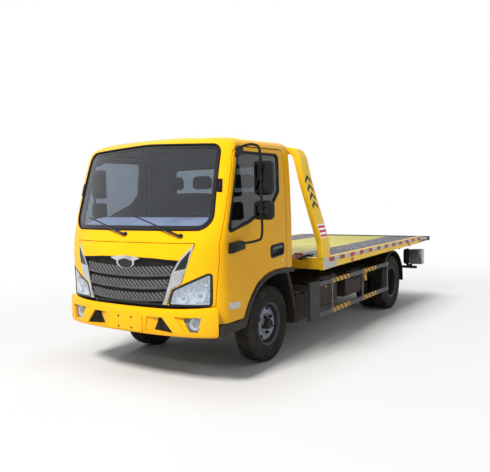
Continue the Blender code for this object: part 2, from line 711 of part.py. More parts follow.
def make_interior(cab):
    dash = [
        (FIREWALL_Y + CAB_WALL + FIT, 1.02),
        (FRONT_Y + 0.60, 1.02),
        (FRONT_Y + 0.66, 1.10),
        (FRONT_Y + 0.64, 1.27),
        (FRONT_Y + 0.56, 1.33),
        (FIREWALL_Y + CAB_WALL + FIT, 1.33),
    ]
    half = CAB_X - 0.15
    shell = cab_form(CAB_WALL + FIT)
    column = rod((STEERING_X, FRONT_Y + 0.55, 1.20), (STEERING_X, FRONT_Y + 0.705, 1.375), 0.03)
    node("dashboard", "interior_grey", [prism("X", dash, -half, half), column], [], [shell], pivot=cab)
    # name, side, outer edge in from the cab's side, width
    for name, side, edge, width in (("driver_seat", 1, 0.28, 0.50), ("passenger_seat", -1, 0.21, 0.84)):
        low, high = WHEELHOUSE_FLOOR_Z + 0.03 + FIT, CAB_REAR_Y - CAB_WALL
        line = [
            (high - 0.60, low),
            (high - 0.03, low),
            (high - 0.03, low + 0.12),
            (high - 0.02, low + 0.70),
            (high - 0.11, low + 0.72),
            (high - 0.16, low + 0.14),
            (high - 0.60, low + 0.14),
        ]
        seat = prism("X", line, *sorted((side * (CAB_X - edge - width), side * (CAB_X - edge))))
        node(name, "seat_fabric", [seat], [], [cab_form(CAB_WALL + 0.002)], pivot=cab)


STEERING_X = CAB_X - 0.53
STEERING_HUB = (STEERING_X, FRONT_Y + 0.735, 1.412)
STEERING_AXIS = Vector((0, 0.66, 0.75)).normalized()


def make_steering_wheel(pivot):
    """A ring with a hub and three spokes, turned to face the driver."""
    ring = turned([(0.013 * a, 0.205 + 0.013 * b) for a, b in ((1, 0), (0, 1), (-1, 0), (0, -1))], (0, 0, 0), 24)
    hub = turned([(0.02, 0.002), (0.02, 0.05), (-0.02, 0.045), (-0.02, 0.002)], (0, 0, 0), 12)
    plug = block((-0.019, 0.019), (-0.004, 0.004), (-0.004, 0.004))
    spokes = []
    for degrees in (90, 210, 330):
        turn = math.radians(degrees)
        spokes.append(rod(
            (0, 0.03 * math.cos(turn), 0.03 * math.sin(turn)),
            (0, 0.20 * math.cos(turn), 0.20 * math.sin(turn)),
            0.009,
            6,
        ))
    across = Vector((1, 0, 0))
    up = STEERING_AXIS.cross(across)
    frame = Matrix((STEERING_AXIS, across, up)).transposed().to_4x4()
    shapes = [ring, hub, plug, *spokes]
    for shape in shapes:
        shape.transform(Matrix.Translation(STEERING_HUB) @ frame)
    node("steering_wheel", "black_plastic", shapes, pivot=pivot)


# ---------------------------------------------------------------- chassis
def make_chassis():
    rails = []
    for _, side in both_sides():
        x = sorted((side * (FRAME_HALF_WIDTH - RAIL_WIDTH), side * FRAME_HALF_WIDTH))
        rails.append(block(x, (FRAME_FRONT_Y, FRAME_REAR_Y), (FRAME_BOTTOM_Z, FRAME_TOP_Z)))
    inner = FRAME_HALF_WIDTH - RAIL_WIDTH + 0.005
    # middle of each cross member, from FRONT_Y
    for middle in (
        FRAME_FRONT_GAP + CROSS_SIZE / 2,
        BEHIND_CAB_Y - FRONT_Y + 0.02,
        OVERALL_LENGTH - BARREL_PIVOT_FROM_REAR + BARREL_MEMBER_SET,
        OVERALL_LENGTH - BARREL_PIVOT_FROM_REAR + REAR_MEMBER_SET,
        OVERALL_LENGTH - FRAME_REAR_GAP - CROSS_SIZE / 2,
    ):
        y = (FRONT_Y + middle - CROSS_SIZE / 2, FRONT_Y + middle + CROSS_SIZE / 2)
        rails.append(block((-inner, inner), y, (FRAME_BOTTOM_Z + 0.02, FRAME_TOP_Z - 0.02)))
    # ears that carry the pin across the tilt cylinders
    for _, side in both_sides():
        x = sorted((side * (CYLINDER_X + BARREL_RADIUS + 0.012), side * inner))
        ear = (BARREL_PIVOT_Y - 0.05, BARREL_PIVOT_Y + 0.14)
        rails.append(block(x, ear, (FRAME_BOTTOM_Z + 0.01, FRAME_TOP_Z - 0.02)))
    bore = rod((-inner, BARREL_PIVOT_Y, BARREL_PIVOT_Z), (inner, BARREL_PIVOT_Y, BARREL_PIVOT_Z), CYLINDER_PIN + PIN_FIT, 16)
    hook = [
        (HOOK_X, FRAME_FRONT_Y + 0.01, 0.60),
        (HOOK_X, FRAME_FRONT_Y - 0.045, 0.60),
        (HOOK_X, FRAME_FRONT_Y - 0.085, 0.585),
        (HOOK_X, FRAME_FRONT_Y - 0.095, 0.555),
        (HOOK_X, FRAME_FRONT_Y - 0.070, 0.530),
    ]
    node("chassis_frame", "chassis_paint", [*rails, tube(hook, 0.012, 8)], [bore])


CYLINDER_PIN = 0.02
HOOK_X = -0.33


def make_axles():
    """The front beam and the rear housing, each with the two leaf springs that carry it."""
    springs = {"front": [], "rear": []}
    # name, axle, half span, height of the spring's middle above the axle's middle
    for name, axle_y, half, rise in (
        ("front", FRONT_AXLE_Y, 0.60, 0.055),
        ("rear", REAR_AXLE_Y, 0.62, AXLE_TUBE_RADIUS - 0.004 + SPRING_THICKNESS / 2),
    ):
        low = TYRE_RADIUS + rise
        top = FRAME_BOTTOM_Z - FIT
        outline = [
            (axle_y - half, top),
            (axle_y - half, top - SPRING_THICKNESS),
            (axle_y - 0.20, low - SPRING_THICKNESS / 2),
            (axle_y + 0.20, low - SPRING_THICKNESS / 2),
            (axle_y + half, top - SPRING_THICKNESS),
            (axle_y + half, top),
            (axle_y + half - 0.07, top),
            (axle_y + 0.18, low + SPRING_THICKNESS),
            (axle_y - 0.18, low + SPRING_THICKNESS),
            (axle_y - half + 0.07, top),
        ]
        for _, side in both_sides():
            x = sorted((side * (RAIL_X - SPRING_WIDTH / 2), side * (RAIL_X + SPRING_WIDTH / 2)))
            springs[name].append(prism("X", outline, *x))
    beam_top = TYRE_RADIUS + 0.055 - SPRING_THICKNESS / 2 + 0.004
    end_low, end_high = TYRE_RADIUS - 0.043, TYRE_RADIUS + 0.043
    half = [
        (KINGPIN_X, end_high - 0.006),
        (KINGPIN_X, end_low + 0.006),
        (KINGPIN_X - 0.08, end_low),
        (0.42, beam_top - AXLE_HEIGHT),
    ]
    outline = half + mirrored(half[::-1]) + mirrored([(0.42, beam_top)]) + [(0.42, beam_top)]
    shapes = [prism("Y", outline, FRONT_AXLE_Y - 0.035, FRONT_AXLE_Y + 0.035)]
    for _, side in both_sides():
        eye = (side * KINGPIN_X, FRONT_AXLE_Y)
        shapes.append(rod((*eye, end_low), (*eye, end_high), 0.036, 16))
    node("front_axle", "chassis_paint", shapes + springs["front"])

    reach = REAR_TUBE_END
    centre = (0, REAR_AXLE_Y, TYRE_RADIUS)
    bulge = turned([(-0.14, 0.05), (-0.06, 0.145), (0.06, 0.145), (0.14, 0.05)], centre, 14)
    nose = rod((0, REAR_AXLE_Y, TYRE_RADIUS + 0.01), (0, REAR_AXLE_Y - 0.23, TYRE_RADIUS + 0.03), 0.065)
    housing = rod((-reach, *centre[1:]), (reach, *centre[1:]), AXLE_TUBE_RADIUS, 16)
    spindle = SPINDLE_RADIUS
    stub = rod((-REAR_SPINDLE_END, *centre[1:]), (REAR_SPINDLE_END, *centre[1:]), spindle, 16)
    node("rear_axle", "chassis_paint", [housing, bulge, nose, stub, *springs["rear"]])
    start = (0, GEARBOX_REAR_Y + 0.004, 0.50)
    end = (0, REAR_AXLE_Y - 0.236, TYRE_RADIUS + 0.032)
    node("drive_shaft", "chassis_paint", [rod(start, end, 0.042)])


GEARBOX_REAR_Y = BEHIND_CAB_Y + 0.30
REAR_MIDDLE_X = TRACK_REAR / 2  # between the two tyres of a twin wheel
REAR_TUBE_END = REAR_MIDDLE_X - TWIN_SPACING / 2 - TYRE_WIDTH / 2 - 0.02
REAR_SPINDLE_END = REAR_MIDDLE_X + 0.03


def make_engine():
    engine = block((-0.30, 0.30), (FRONT_Y + 0.58, BEHIND_CAB_Y - 0.10), (0.53, 0.93))
    engine_low = block((-0.22, 0.22), (FRONT_Y + 0.60, BEHIND_CAB_Y - 0.10), (0.48, 0.60))
    gearbox = block((-0.17, 0.17), (BEHIND_CAB_Y - 0.12, GEARBOX_REAR_Y), (0.40, 0.70))
    clear = FRAME_HALF_WIDTH - RAIL_WIDTH - 0.02
    sides = []
    for _, side in both_sides():
        x = sorted((side * clear, side * 0.4))
        sides.append(block(x, (FRONT_Y, BEHIND_CAB_Y + 1), (FRAME_BOTTOM_Z - 0.10, FRAME_TOP_Z + 0.02)))
    cross_y = BEHIND_CAB_Y + 0.02
    notch = block((-0.5, 0.5), (cross_y - CROSS_SIZE, cross_y + CROSS_SIZE), (FRAME_BOTTOM_Z - 0.005, 1.0))
    axle = block((-0.5, 0.5), (FRONT_AXLE_Y - 0.30, FRONT_AXLE_Y + 0.30), (0.3, TYRE_RADIUS + 0.13))
    node("engine", "grey_steel", [engine, engine_low, gearbox], [*sides, notch, axle])


def make_tanks():
    """The boxes hung on the rails: a fuel tank, a battery box, an air tank and the exhaust."""
    out = FRAME_HALF_WIDTH + FIT
    # name, slot, side, x span, y span from the cab's rear, z span
    for name, slot, side, x, y, z in (
        ("battery_box", "black_plastic", 1, (out, 0.80), (0.31, 0.66), (0.28, 0.66)),
        ("hydraulic_tank", "grey_steel", 1, (out, 0.84), (0.86, 1.38), (0.36, 0.74)),
        ("tool_box", "black_plastic", 1, (out, 0.84), (1.62, 2.16), (0.38, 0.70)),
        ("fuel_tank", "grey_steel", -1, (out, 0.84), (0.45, 1.25), (0.33, 0.70)),
        ("exhaust_silencer", "grey_steel", -1, (out, 0.66), (1.45, 2.05), (0.40, 0.64)),
    ):
        low, high = x
        outline = rounded([(low, z[0]), (high, z[0]), (high, z[1]), (low, z[1])], 0.03, 2)
        outline = [(side * a, b) for a, b in outline]
        hook = block(sorted((side * low, side * (low + 0.06))), (BEHIND_CAB_Y + y[0] + 0.05, BEHIND_CAB_Y + y[1] - 0.05), (z[0] + 0.04, z[1] - 0.04))
        node(name, slot, [prism("Y", outline, BEHIND_CAB_Y + y[0], BEHIND_CAB_Y + y[1]), hook])


GUARD_FRONT_Y = BEHIND_CAB_Y + 0.205
GUARD_POST = 0.24
GUARD_REAR_Y = REAR_AXLE_Y - TYRE_RADIUS - 0.082
GUARD_THICK = 0.03
# how far behind the cab each bracket stands, between the boxes
GUARD_BRACKETS = {"left": (0.25, 0.76, 1.50, 2.28), "right": (0.30, 1.35, 2.28)}


def make_side_guards():
    """Two rails on posts each side, held out by brackets from the frame."""
    for name, side in both_sides():
        inner, outer = GUARD_X - GUARD_THICK, GUARD_X
        x = sorted((side * inner, side * outer))
        low = GUARD_LOW_Z
        shapes = [
            block(x, (GUARD_FRONT_Y, GUARD_REAR_Y), (GUARD_TOP_Z - GUARD_BAR, GUARD_TOP_Z)),
            block(x, (GUARD_FRONT_Y, GUARD_REAR_Y), (low, low + GUARD_BAR + 0.006)),
            block(x, (GUARD_FRONT_Y, GUARD_FRONT_Y + GUARD_POST), (low, GUARD_TOP_Z + 0.02)),
        ]
        span = GUARD_REAR_Y - GUARD_FRONT_Y
        for share in (0.235, 0.615, 0.985):
            y = GUARD_FRONT_Y + span * share
            shapes.append(block(x, (y - 0.02, y + 0.02), (low, GUARD_TOP_Z)))
        # brackets from the rails, between the boxes
        for from_cab in GUARD_BRACKETS[name]:
            y = BEHIND_CAB_Y + from_cab
            reach = sorted((side * (FRAME_HALF_WIDTH + FIT), side * (inner + 0.005)))
            shapes.append(block(reach, (y - 0.02, y + 0.02), (GUARD_TOP_Z - GUARD_BAR - 0.03, GUARD_TOP_Z - 0.02)))
        node(f"side_guard_{name}", "grey_steel", shapes)


def make_mudguards():
    """Front splash panels behind the front wheels, and arched guards over the twin wheels."""
    for name, side in both_sides():
        low, high = 0.56, 0.86
        x = sorted((side * low, side * high))
        line = [(BEHIND_CAB_Y + 0.02, 0.90), (BEHIND_CAB_Y + 0.075, 0.84), (BEHIND_CAB_Y + 0.165, 0.60), (BEHIND_CAB_Y + 0.235, 0.325)]
        outline = line + [(y + 0.012, z + 0.004) for y, z in line[::-1]]
        arm = block(
            sorted((side * (FRAME_HALF_WIDTH + FIT), side * (low + 0.02))),
            (BEHIND_CAB_Y + 0.14, BEHIND_CAB_Y + 0.17),
            (FRAME_TOP_Z - 0.10, FRAME_TOP_Z - 0.06),
        )
        splash = prism("X", outline, *x)
        stay = block(sorted((side * low, side * (low + 0.03))), (BEHIND_CAB_Y + 0.13, BEHIND_CAB_Y + 0.17), (FRAME_TOP_Z - 0.10, FRAME_TOP_Z - 0.06))
        node(f"front_mudguard_{name}", "black_plastic", [splash, stay, arm])

        middle = (REAR_AXLE_Y, TYRE_RADIUS)
        outer = arc(middle, REAR_GUARD_RADIUS, 165, 25, 10)
        inner = arc(middle, REAR_GUARD_RADIUS - 0.012, 25, 165, 10)
        tail = (REAR_AXLE_Y + REAR_GUARD_RADIUS - 0.03, 0.36)
        outline = outer + [tail, (tail[0] - 0.012, tail[1])] + inner
        guard_x = REAR_MIDDLE_X - TWIN_SPACING / 2 - TYRE_WIDTH / 2
        x = sorted((side * guard_x, side * GUARD_X * 0.905))
        arms = []
        for turn in (-1, 1):
            y = REAR_AXLE_Y + turn * 0.26
            arms.append(block(
                sorted((side * (FRAME_HALF_WIDTH + FIT), side * (guard_x + 0.012))),
                (y - 0.015, y + 0.015),
                (FRAME_TOP_Z - 0.03, FRAME_TOP_Z + 0.045),
            ))
        node(f"rear_mudguard_{name}", "black_plastic", [prism("X", outline, *x), *arms])


REAR_GUARD_RADIUS = TYRE_RADIUS + 0.067


BEAM_X = 0.93
BEAM_Z = (0.455, 0.495)
LAMP_LOW_Z = 0.512


def make_tail():
    """The beam across the end of the rails, with its lamps at each end."""
    beam_y = (FRAME_REAR_Y + FIT, FRAME_REAR_Y + 0.05)
    beam = block((-BEAM_X, BEAM_X), beam_y, BEAM_Z)
    hangers = []
    for _, side in both_sides():
        x = sorted((side * (RAIL_X - 0.03), side * (RAIL_X + 0.03)))
        hangers.append(block(x, beam_y, (BEAM_Z[0] + 0.01, FRAME_TOP_Z - 0.02)))
    node("rear_beam", "black_plastic", [beam, *hangers])
    for name, side in both_sides():
        outline = rounded([(0.705, LAMP_LOW_Z), (1.03, LAMP_LOW_Z + 0.012), (1.03, 0.775), (0.705, 0.765)], 0.04)
        outline = [(side * x, z) for x, z in outline]
        foot = block(sorted((side * 0.76, side * 0.86)), (beam_y[0] + 0.005, beam_y[1] - 0.005), (BEAM_Z[1] + FIT, LAMP_LOW_Z + 0.03))
        node(f"tail_lamp_{name}", "tail_lamp_red", [prism("Y", outline, beam_y[0], beam_y[1] + 0.07), foot])


# ---------------------------------------------------------------- wheels
SEAT_RADIUS = RIM_RADIUS - 0.0155


def make_tyre(name, centre_x, axle_y, pivot):
    """A filled tyre. Its flats, not its corners, lie at the tyre's radius, so that it stands on one."""
    half = TYRE_WIDTH / 2
    spread = 1 / math.cos(math.pi / ROUND_WHEEL)
    bead = RIM_WIDTH / 2 - RIM_WALL - PIN_FIT
    side = [
        (bead, SEAT_RADIUS + PIN_FIT * 2),
        (bead + 0.001, RIM_RADIUS + 0.001),
        (half, RIM_RADIUS + 0.055),
        (half - 0.004, TYRE_RADIUS - 0.045),
        (half - 0.030, TYRE_RADIUS),
    ]
    profile = [(a, r * spread) for a, r in side + mirrored(side)[::-1]]
    centre = (centre_x, axle_y, TYRE_RADIUS)
    node(name, "tyre_rubber", [turned(profile, centre)], pivot=pivot)


def rim_profile(side):
    """A rim's section from its inner edge, round the seat of the tyre, to its outer edge."""
    edge, wall = RIM_WIDTH / 2, RIM_WALL
    outer = [
        (-edge, RIM_RADIUS),
        (-edge + wall, RIM_RADIUS),
        (-edge + wall, SEAT_RADIUS),
        (edge - wall, SEAT_RADIUS),
        (edge - wall, RIM_RADIUS),
        (edge, RIM_RADIUS),
        (edge, SEAT_RADIUS - wall),
    ]
    return [(side * a, r) for a, r in outer]


def make_front_wheel(name, side, pivot):
    """The steel disc bulges outwards to the flange; the hub behind it turns on the spindle."""
    disc = [
        (0.060, 0.135),
        (0.068, 0.055),
        (0.115, 0.048),
        (0.118, 0.010),
        (0.050, 0.010),
        (0.050, SPINDLE_RADIUS + PIN_FIT),
        (-0.020, SPINDLE_RADIUS + PIN_FIT),
        (-0.020, DRUM_RADIUS),
        (0.035, DRUM_RADIUS),
        (0.020, SEAT_RADIUS - RIM_WALL),
        (-RIM_WIDTH / 2, SEAT_RADIUS - RIM_WALL),
    ]
    centre = (side * TRACK_FRONT / 2, FRONT_AXLE_Y, TYRE_RADIUS)
    profile = rim_profile(side) + [(side * a, r) for a, r in disc]
    plug = rod((centre[0] + side * 0.052, *centre[1:]), (centre[0] + side * 0.117, *centre[1:]), 0.012, 8)
    node(name, "wheel_silver", [turned(profile, centre), plug], pivot=pivot)


def make_rear_wheel(name, side, pivot):
    """Two wheels bolted back to back, with the hub and drum between them and the axle."""
    outer_x, inner_x = side * (REAR_MIDDLE_X + TWIN_SPACING / 2), side * (REAR_MIDDLE_X - TWIN_SPACING / 2)
    centre_of = {1: (outer_x, REAR_AXLE_Y, TYRE_RADIUS), -1: (inner_x, REAR_AXLE_Y, TYRE_RADIUS)}
    half = TWIN_SPACING / 2
    disc = [
        (-0.055, SEAT_RADIUS - RIM_WALL),
        (-half + 0.012, 0.125),
        (-half + 0.012, 0.06),
        (-half - 0.001, 0.06),
        (-half - 0.001, 0.128),
        (-0.068, SEAT_RADIUS - RIM_WALL),
        (-RIM_WIDTH / 2, SEAT_RADIUS - RIM_WALL),
    ]
    shapes = []
    for face, centre in centre_of.items():
        turn = side * face
        profile = rim_profile(turn) + [(turn * a, r) for a, r in disc]
        shapes.append(turned(profile, centre))
    middle = (side * REAR_MIDDLE_X, REAR_AXLE_Y, TYRE_RADIUS)
    bore = SPINDLE_RADIUS + PIN_FIT
    hub = [(-0.118, bore), (-0.118, 0.13), (-0.040, 0.13), (-0.010, 0.062), (0.125, 0.055), (0.130, 0.012), (0.040, 0.012), (0.040, bore)]
    shapes.append(turned([(side * a, r) for a, r in hub], middle))
    shapes.append(rod((middle[0] + side * 0.045, *middle[1:]), (middle[0] + side * 0.128, *middle[1:]), 0.014, 8))
    node(name, "wheel_silver", shapes, pivot=pivot)


def make_knuckle(name, side, pivot):
    """Arms above and below the axle's eye, joined outside it, with the spindle for the wheel."""
    low, high = TYRE_RADIUS - 0.043 - PIN_FIT, TYRE_RADIUS + 0.043 + PIN_FIT
    eye = (side * KINGPIN_X, FRONT_AXLE_Y)
    web = block(
        sorted((side * (KINGPIN_X + 0.042), side * (KINGPIN_X + 0.066))),
        (FRONT_AXLE_Y - 0.04, FRONT_AXLE_Y + 0.04),
        (low - 0.022, high + 0.022),
    )
    shapes = [web]
    for bottom, top in ((low - 0.022, low), (high, high + 0.022)):
        shapes.append(rod((*eye, bottom), (*eye, top), 0.036, 16))
        x = sorted((side * KINGPIN_X, side * (KINGPIN_X + 0.05)))
        shapes.append(block(x, (FRONT_AXLE_Y - 0.033, FRONT_AXLE_Y + 0.033), (bottom, top)))
    spindle_end = side * (TRACK_FRONT / 2 + 0.045)
    shapes.append(rod((side * (KINGPIN_X + 0.06), FRONT_AXLE_Y, TYRE_RADIUS), (spindle_end, FRONT_AXLE_Y, TYRE_RADIUS), SPINDLE_RADIUS, 16))
    arm = [
        (side * (KINGPIN_X + 0.05), FRONT_AXLE_Y + 0.02, low - 0.011),
        (side * (KINGPIN_X + 0.02), FRONT_AXLE_Y + 0.10, low - 0.011),
        (side * (KINGPIN_X - 0.02), FRONT_AXLE_Y + 0.17, low - 0.011),
    ]
    shapes.append(tube(arm, 0.011, 8))
    node(name, "chassis_paint", shapes, pivot=pivot)


# ---------------------------------------------------------------- tilting and sliding bed
SUBFRAME_FRONT_Y = BED_FRONT_Y + 0.10
SUBFRAME_REAR_Y = TILT_PIVOT_Y + 0.04
SLIDE_GAP = 0.006
EYE_GAP = 0.012


def make_subframe(pivot):
    """Two rails on the chassis, hinged at the rear, with ears for the eyes of the tilt rods."""
    inner = SUBFRAME_HALF_WIDTH - SUBFRAME_RAIL[0]
    shapes = []
    for _, side in both_sides():
        x = sorted((side * inner, side * SUBFRAME_HALF_WIDTH))
        shapes.append(block(x, (SUBFRAME_FRONT_Y, SUBFRAME_REAR_Y), (SUBFRAME_BOTTOM_Z, SUBFRAME_TOP_Z)))
        x = sorted((side * (CYLINDER_X + 0.022 + EYE_GAP), side * (inner + 0.005)))
        shapes.append(block(x, (ROD_EYE_Y - 0.07, ROD_EYE_Y + 0.07), (SUBFRAME_BOTTOM_Z + 0.01, SUBFRAME_TOP_Z)))
        pin = (side * (inner + 0.02), TILT_PIVOT_Y, TILT_PIVOT_Z)
        end = (side * (FRAME_HALF_WIDTH + 0.012), TILT_PIVOT_Y, TILT_PIVOT_Z)
        shapes.append(rod(pin, end, 0.018))
    reach = inner + 0.005
    for y in (SUBFRAME_FRONT_Y + 0.05, ROD_EYE_Y - 0.32, ROD_EYE_Y + 0.75, REAR_AXLE_Y, SUBFRAME_REAR_Y - 0.10):
        shapes.append(block((-reach, reach), (y - 0.03, y + 0.03), (SUBFRAME_BOTTOM_Z + 0.02, SUBFRAME_TOP_Z - 0.01)))
    node("bed_subframe", "chassis_paint", shapes, pivot=pivot)


RAIL_STEP_Y = REAR_AXLE_Y + 0.14  # the side rails get slimmer behind this
BED_REAR_Y = REAR_Y - TAIL_LENGTH
RIBS = 7


def make_deck(pivot):
    """A plate between two deep side rails, on cross ribs and two beams that slide on the subframe."""
    plate_top = DECK_TOP_Z - DECK_DROP
    plate_low = plate_top - DECK_THICKNESS
    side_line = [
        (BED_FRONT_Y, BED_BOTTOM_Z),
        (BED_FRONT_Y + 0.40, BED_BOTTOM_Z + 0.010),
        (RAIL_STEP_Y, BED_BOTTOM_Z + 0.030),
        (BED_REAR_Y, BED_BOTTOM_Z + 0.035),
        (BED_REAR_Y, DECK_TOP_Z),
        (BED_FRONT_Y, DECK_TOP_Z),
    ]
    inner = BED_X - BED_RAIL_WIDTH
    shapes = [block((-inner - 0.01, inner + 0.01), (BED_FRONT_Y, BED_REAR_Y), (plate_low, plate_top))]
    for _, side in both_sides():
        shapes.append(prism("X", side_line, *sorted((side * inner, side * BED_X))))
        x = sorted((side * (SUBFRAME_HALF_WIDTH - 0.07), side * (SUBFRAME_HALF_WIDTH + 0.01)))
        beam = (SUBFRAME_TOP_Z + SLIDE_GAP, plate_low + 0.004)
        shapes.append(block(x, (BED_FRONT_Y + 0.02, BED_REAR_Y - 0.02), beam))
    shapes.append(block((-BED_X, BED_X), (BED_FRONT_Y, BED_FRONT_Y + 0.06), (BED_BOTTOM_Z + 0.005, DECK_TOP_Z)))
    for i in range(RIBS):
        y = BED_FRONT_Y + 0.35 + (BED_REAR_Y - BED_FRONT_Y - 0.45) * i / (RIBS - 1)
        shapes.append(block((-inner - 0.01, inner + 0.01), (y - 0.025, y + 0.025), (BED_BOTTOM_Z + 0.04, plate_low + 0.004)))
    node("deck", "bed_paint", shapes, pivot=pivot)


def make_tail_ramp(pivot):
    """The grey tapered end of the deck, with a round roller across its edge."""
    front = BED_REAR_Y + FIT
    line = [
        (front, BED_BOTTOM_Z + 0.040),
        (REAR_Y - 0.06, DECK_TOP_Z - 0.085),
        (REAR_Y - 0.06, DECK_TOP_Z - 0.030),
        (front, DECK_TOP_Z - 0.004),
    ]
    ramp = prism("X", line, -BED_X + 0.004, BED_X - 0.004)
    roller = rod((-BED_X + 0.004, REAR_Y - 0.035, DECK_TOP_Z - 0.060), (BED_X - 0.004, REAR_Y - 0.035, DECK_TOP_Z - 0.060), 0.035, 12)
    node("tail_ramp", "grey_steel", [ramp, roller], pivot=pivot)


def make_gantry(pivot):
    """The arch over the front of the bed: two legs that rise, lean forward and turn in to a top bar."""
    lean = GANTRY_LEAN
    top = GANTRY_TOP_Z - GANTRY_WIDTH_X / 2
    base = BED_FRONT_Y - 0.02
    x = BED_X - GANTRY_WIDTH_X / 2
    # middle of the bar: x, front edge y, z
    leg = [
        (x, base, DECK_TOP_Z + FIT),
        (x - 0.002, base - 0.018, DECK_TOP_Z + 0.19),
        (x - 0.012, base - 0.140, DECK_TOP_Z + 0.43),
        (x - 0.024, base - 0.260, DECK_TOP_Z + 0.67),
        (x - 0.036, base - lean + 0.002, top - 0.31),
        (x - 0.048, base - lean - 0.042, top - 0.16),
        (x - 0.068, base - lean - 0.050, top - 0.075),
        (x - 0.115, base - lean - 0.052, top - 0.018),
        (x - 0.200, base - lean - 0.052, top),
    ]
    line = leg + [(-a, y, z) for a, y, z in leg[::-1]]
    rings = []
    for i, (a, y, z) in enumerate(line):
        before, after = line[max(i - 1, 0)], line[min(i + 1, len(line) - 1)]
        along = Vector((after[0] - before[0], after[2] - before[2])).normalized()
        if i in (0, len(line) - 1):
            along = Vector((0, 1 if i == 0 else -1))
        out = Vector((-along.y, along.x)) * GANTRY_WIDTH_X / 2
        ring = []
        deep = GANTRY_DEPTH_Y + between(z, ((DECK_TOP_Z, 0.025), (GANTRY_TOP_Z, 0)))
        for sign, depth in ((1, 0), (-1, 0), (-1, deep), (1, deep)):
            ring.append((a + sign * out.x, y + depth, z + sign * out.y))
        rings.append(ring)
    node("gantry", "bed_paint", [loft(rings)], pivot=pivot)


WINCH_Y = BED_FRONT_Y + 0.27
WINCH_Z = DECK_TOP_Z + 0.13
DRUM_HALF = 0.15


def make_winch(bed, drum):
    """A rope drum between two side plates on a base, with its motor at one end."""
    floor = DECK_TOP_Z - DECK_DROP + FIT
    shapes = [block((-0.30, 0.30), (WINCH_Y - 0.12, WINCH_Y + 0.12), (floor, floor + 0.02))]
    for _, side in both_sides():
        x = sorted((side * (DRUM_HALF + 0.022), side * (DRUM_HALF + 0.062)))
        shapes.append(block(x, (WINCH_Y - 0.10, WINCH_Y + 0.10), (floor, WINCH_Z + 0.10)))
    shapes.append(rod((DRUM_HALF + 0.05, WINCH_Y, WINCH_Z), (DRUM_HALF + 0.20, WINCH_Y, WINCH_Z), 0.06, 12))
    bores = []
    for _, side in both_sides():
        start, end = side * (DRUM_HALF + 0.01), side * (DRUM_HALF + 0.045)
        bores.append(rod((start, WINCH_Y, WINCH_Z), (end, WINCH_Y, WINCH_Z), 0.025 + PIN_FIT, 16))
    node("winch_frame", "chassis_paint", shapes, bores, pivot=bed)
    axle = rod((-DRUM_HALF - 0.04, WINCH_Y, WINCH_Z), (DRUM_HALF + 0.04, WINCH_Y, WINCH_Z), 0.025, 16)
    rope = rod((-DRUM_HALF + 0.01, WINCH_Y, WINCH_Z), (DRUM_HALF - 0.01, WINCH_Y, WINCH_Z), 0.062, 20)
    ends = []
    for _, side in both_sides():
        ends.append(rod((side * (DRUM_HALF - 0.012), WINCH_Y, WINCH_Z), (side * DRUM_HALF, WINCH_Y, WINCH_Z), 0.09, 20))
    node("winch_drum", "wire_rope", [rope, axle, *ends], pivot=drum)


# ---------------------------------------------------------------- tilt cylinders
CYLINDER_RUN = Vector((0, ROD_EYE_Y - BARREL_PIVOT_Y, ROD_EYE_Z - BARREL_PIVOT_Z))
BARREL_LENGTH = 0.78


def make_cylinders(barrel, piston):
    """Two barrels on one cross pin, and two rods with eyes that share another."""
    along = CYLINDER_RUN.normalized()
    barrels, bores, rods = [], [], []
    for _, side in both_sides():
        foot = Vector((side * CYLINDER_X, BARREL_PIVOT_Y, BARREL_PIVOT_Z))
        eye = foot + CYLINDER_RUN
        barrels.append(rod(foot - along * 0.045, foot + along * BARREL_LENGTH, BARREL_RADIUS, 16))
        bores.append(rod(foot + along * 0.10, foot + along * (BARREL_LENGTH + 0.05), ROD_RADIUS + PIN_FIT, 12))
        rods.append(rod(foot + along * 0.42, eye, ROD_RADIUS, 12))
        rods.append(rod(eye - Vector((0.022, 0, 0)), eye + Vector((0.022, 0, 0)), 0.035, 12))
    reach = FRAME_HALF_WIDTH - RAIL_WIDTH - 0.006
    barrels.append(rod((-reach, BARREL_PIVOT_Y, BARREL_PIVOT_Z), (reach, BARREL_PIVOT_Y, BARREL_PIVOT_Z), CYLINDER_PIN, 16))
    rods.append(rod((-CYLINDER_X, ROD_EYE_Y, ROD_EYE_Z), (CYLINDER_X, ROD_EYE_Y, ROD_EYE_Z), 0.015))
    node("tilt_barrels", "chassis_paint", barrels, bores, pivot=barrel)
    node("tilt_rods", "cylinder_chrome", rods, pivot=piston)


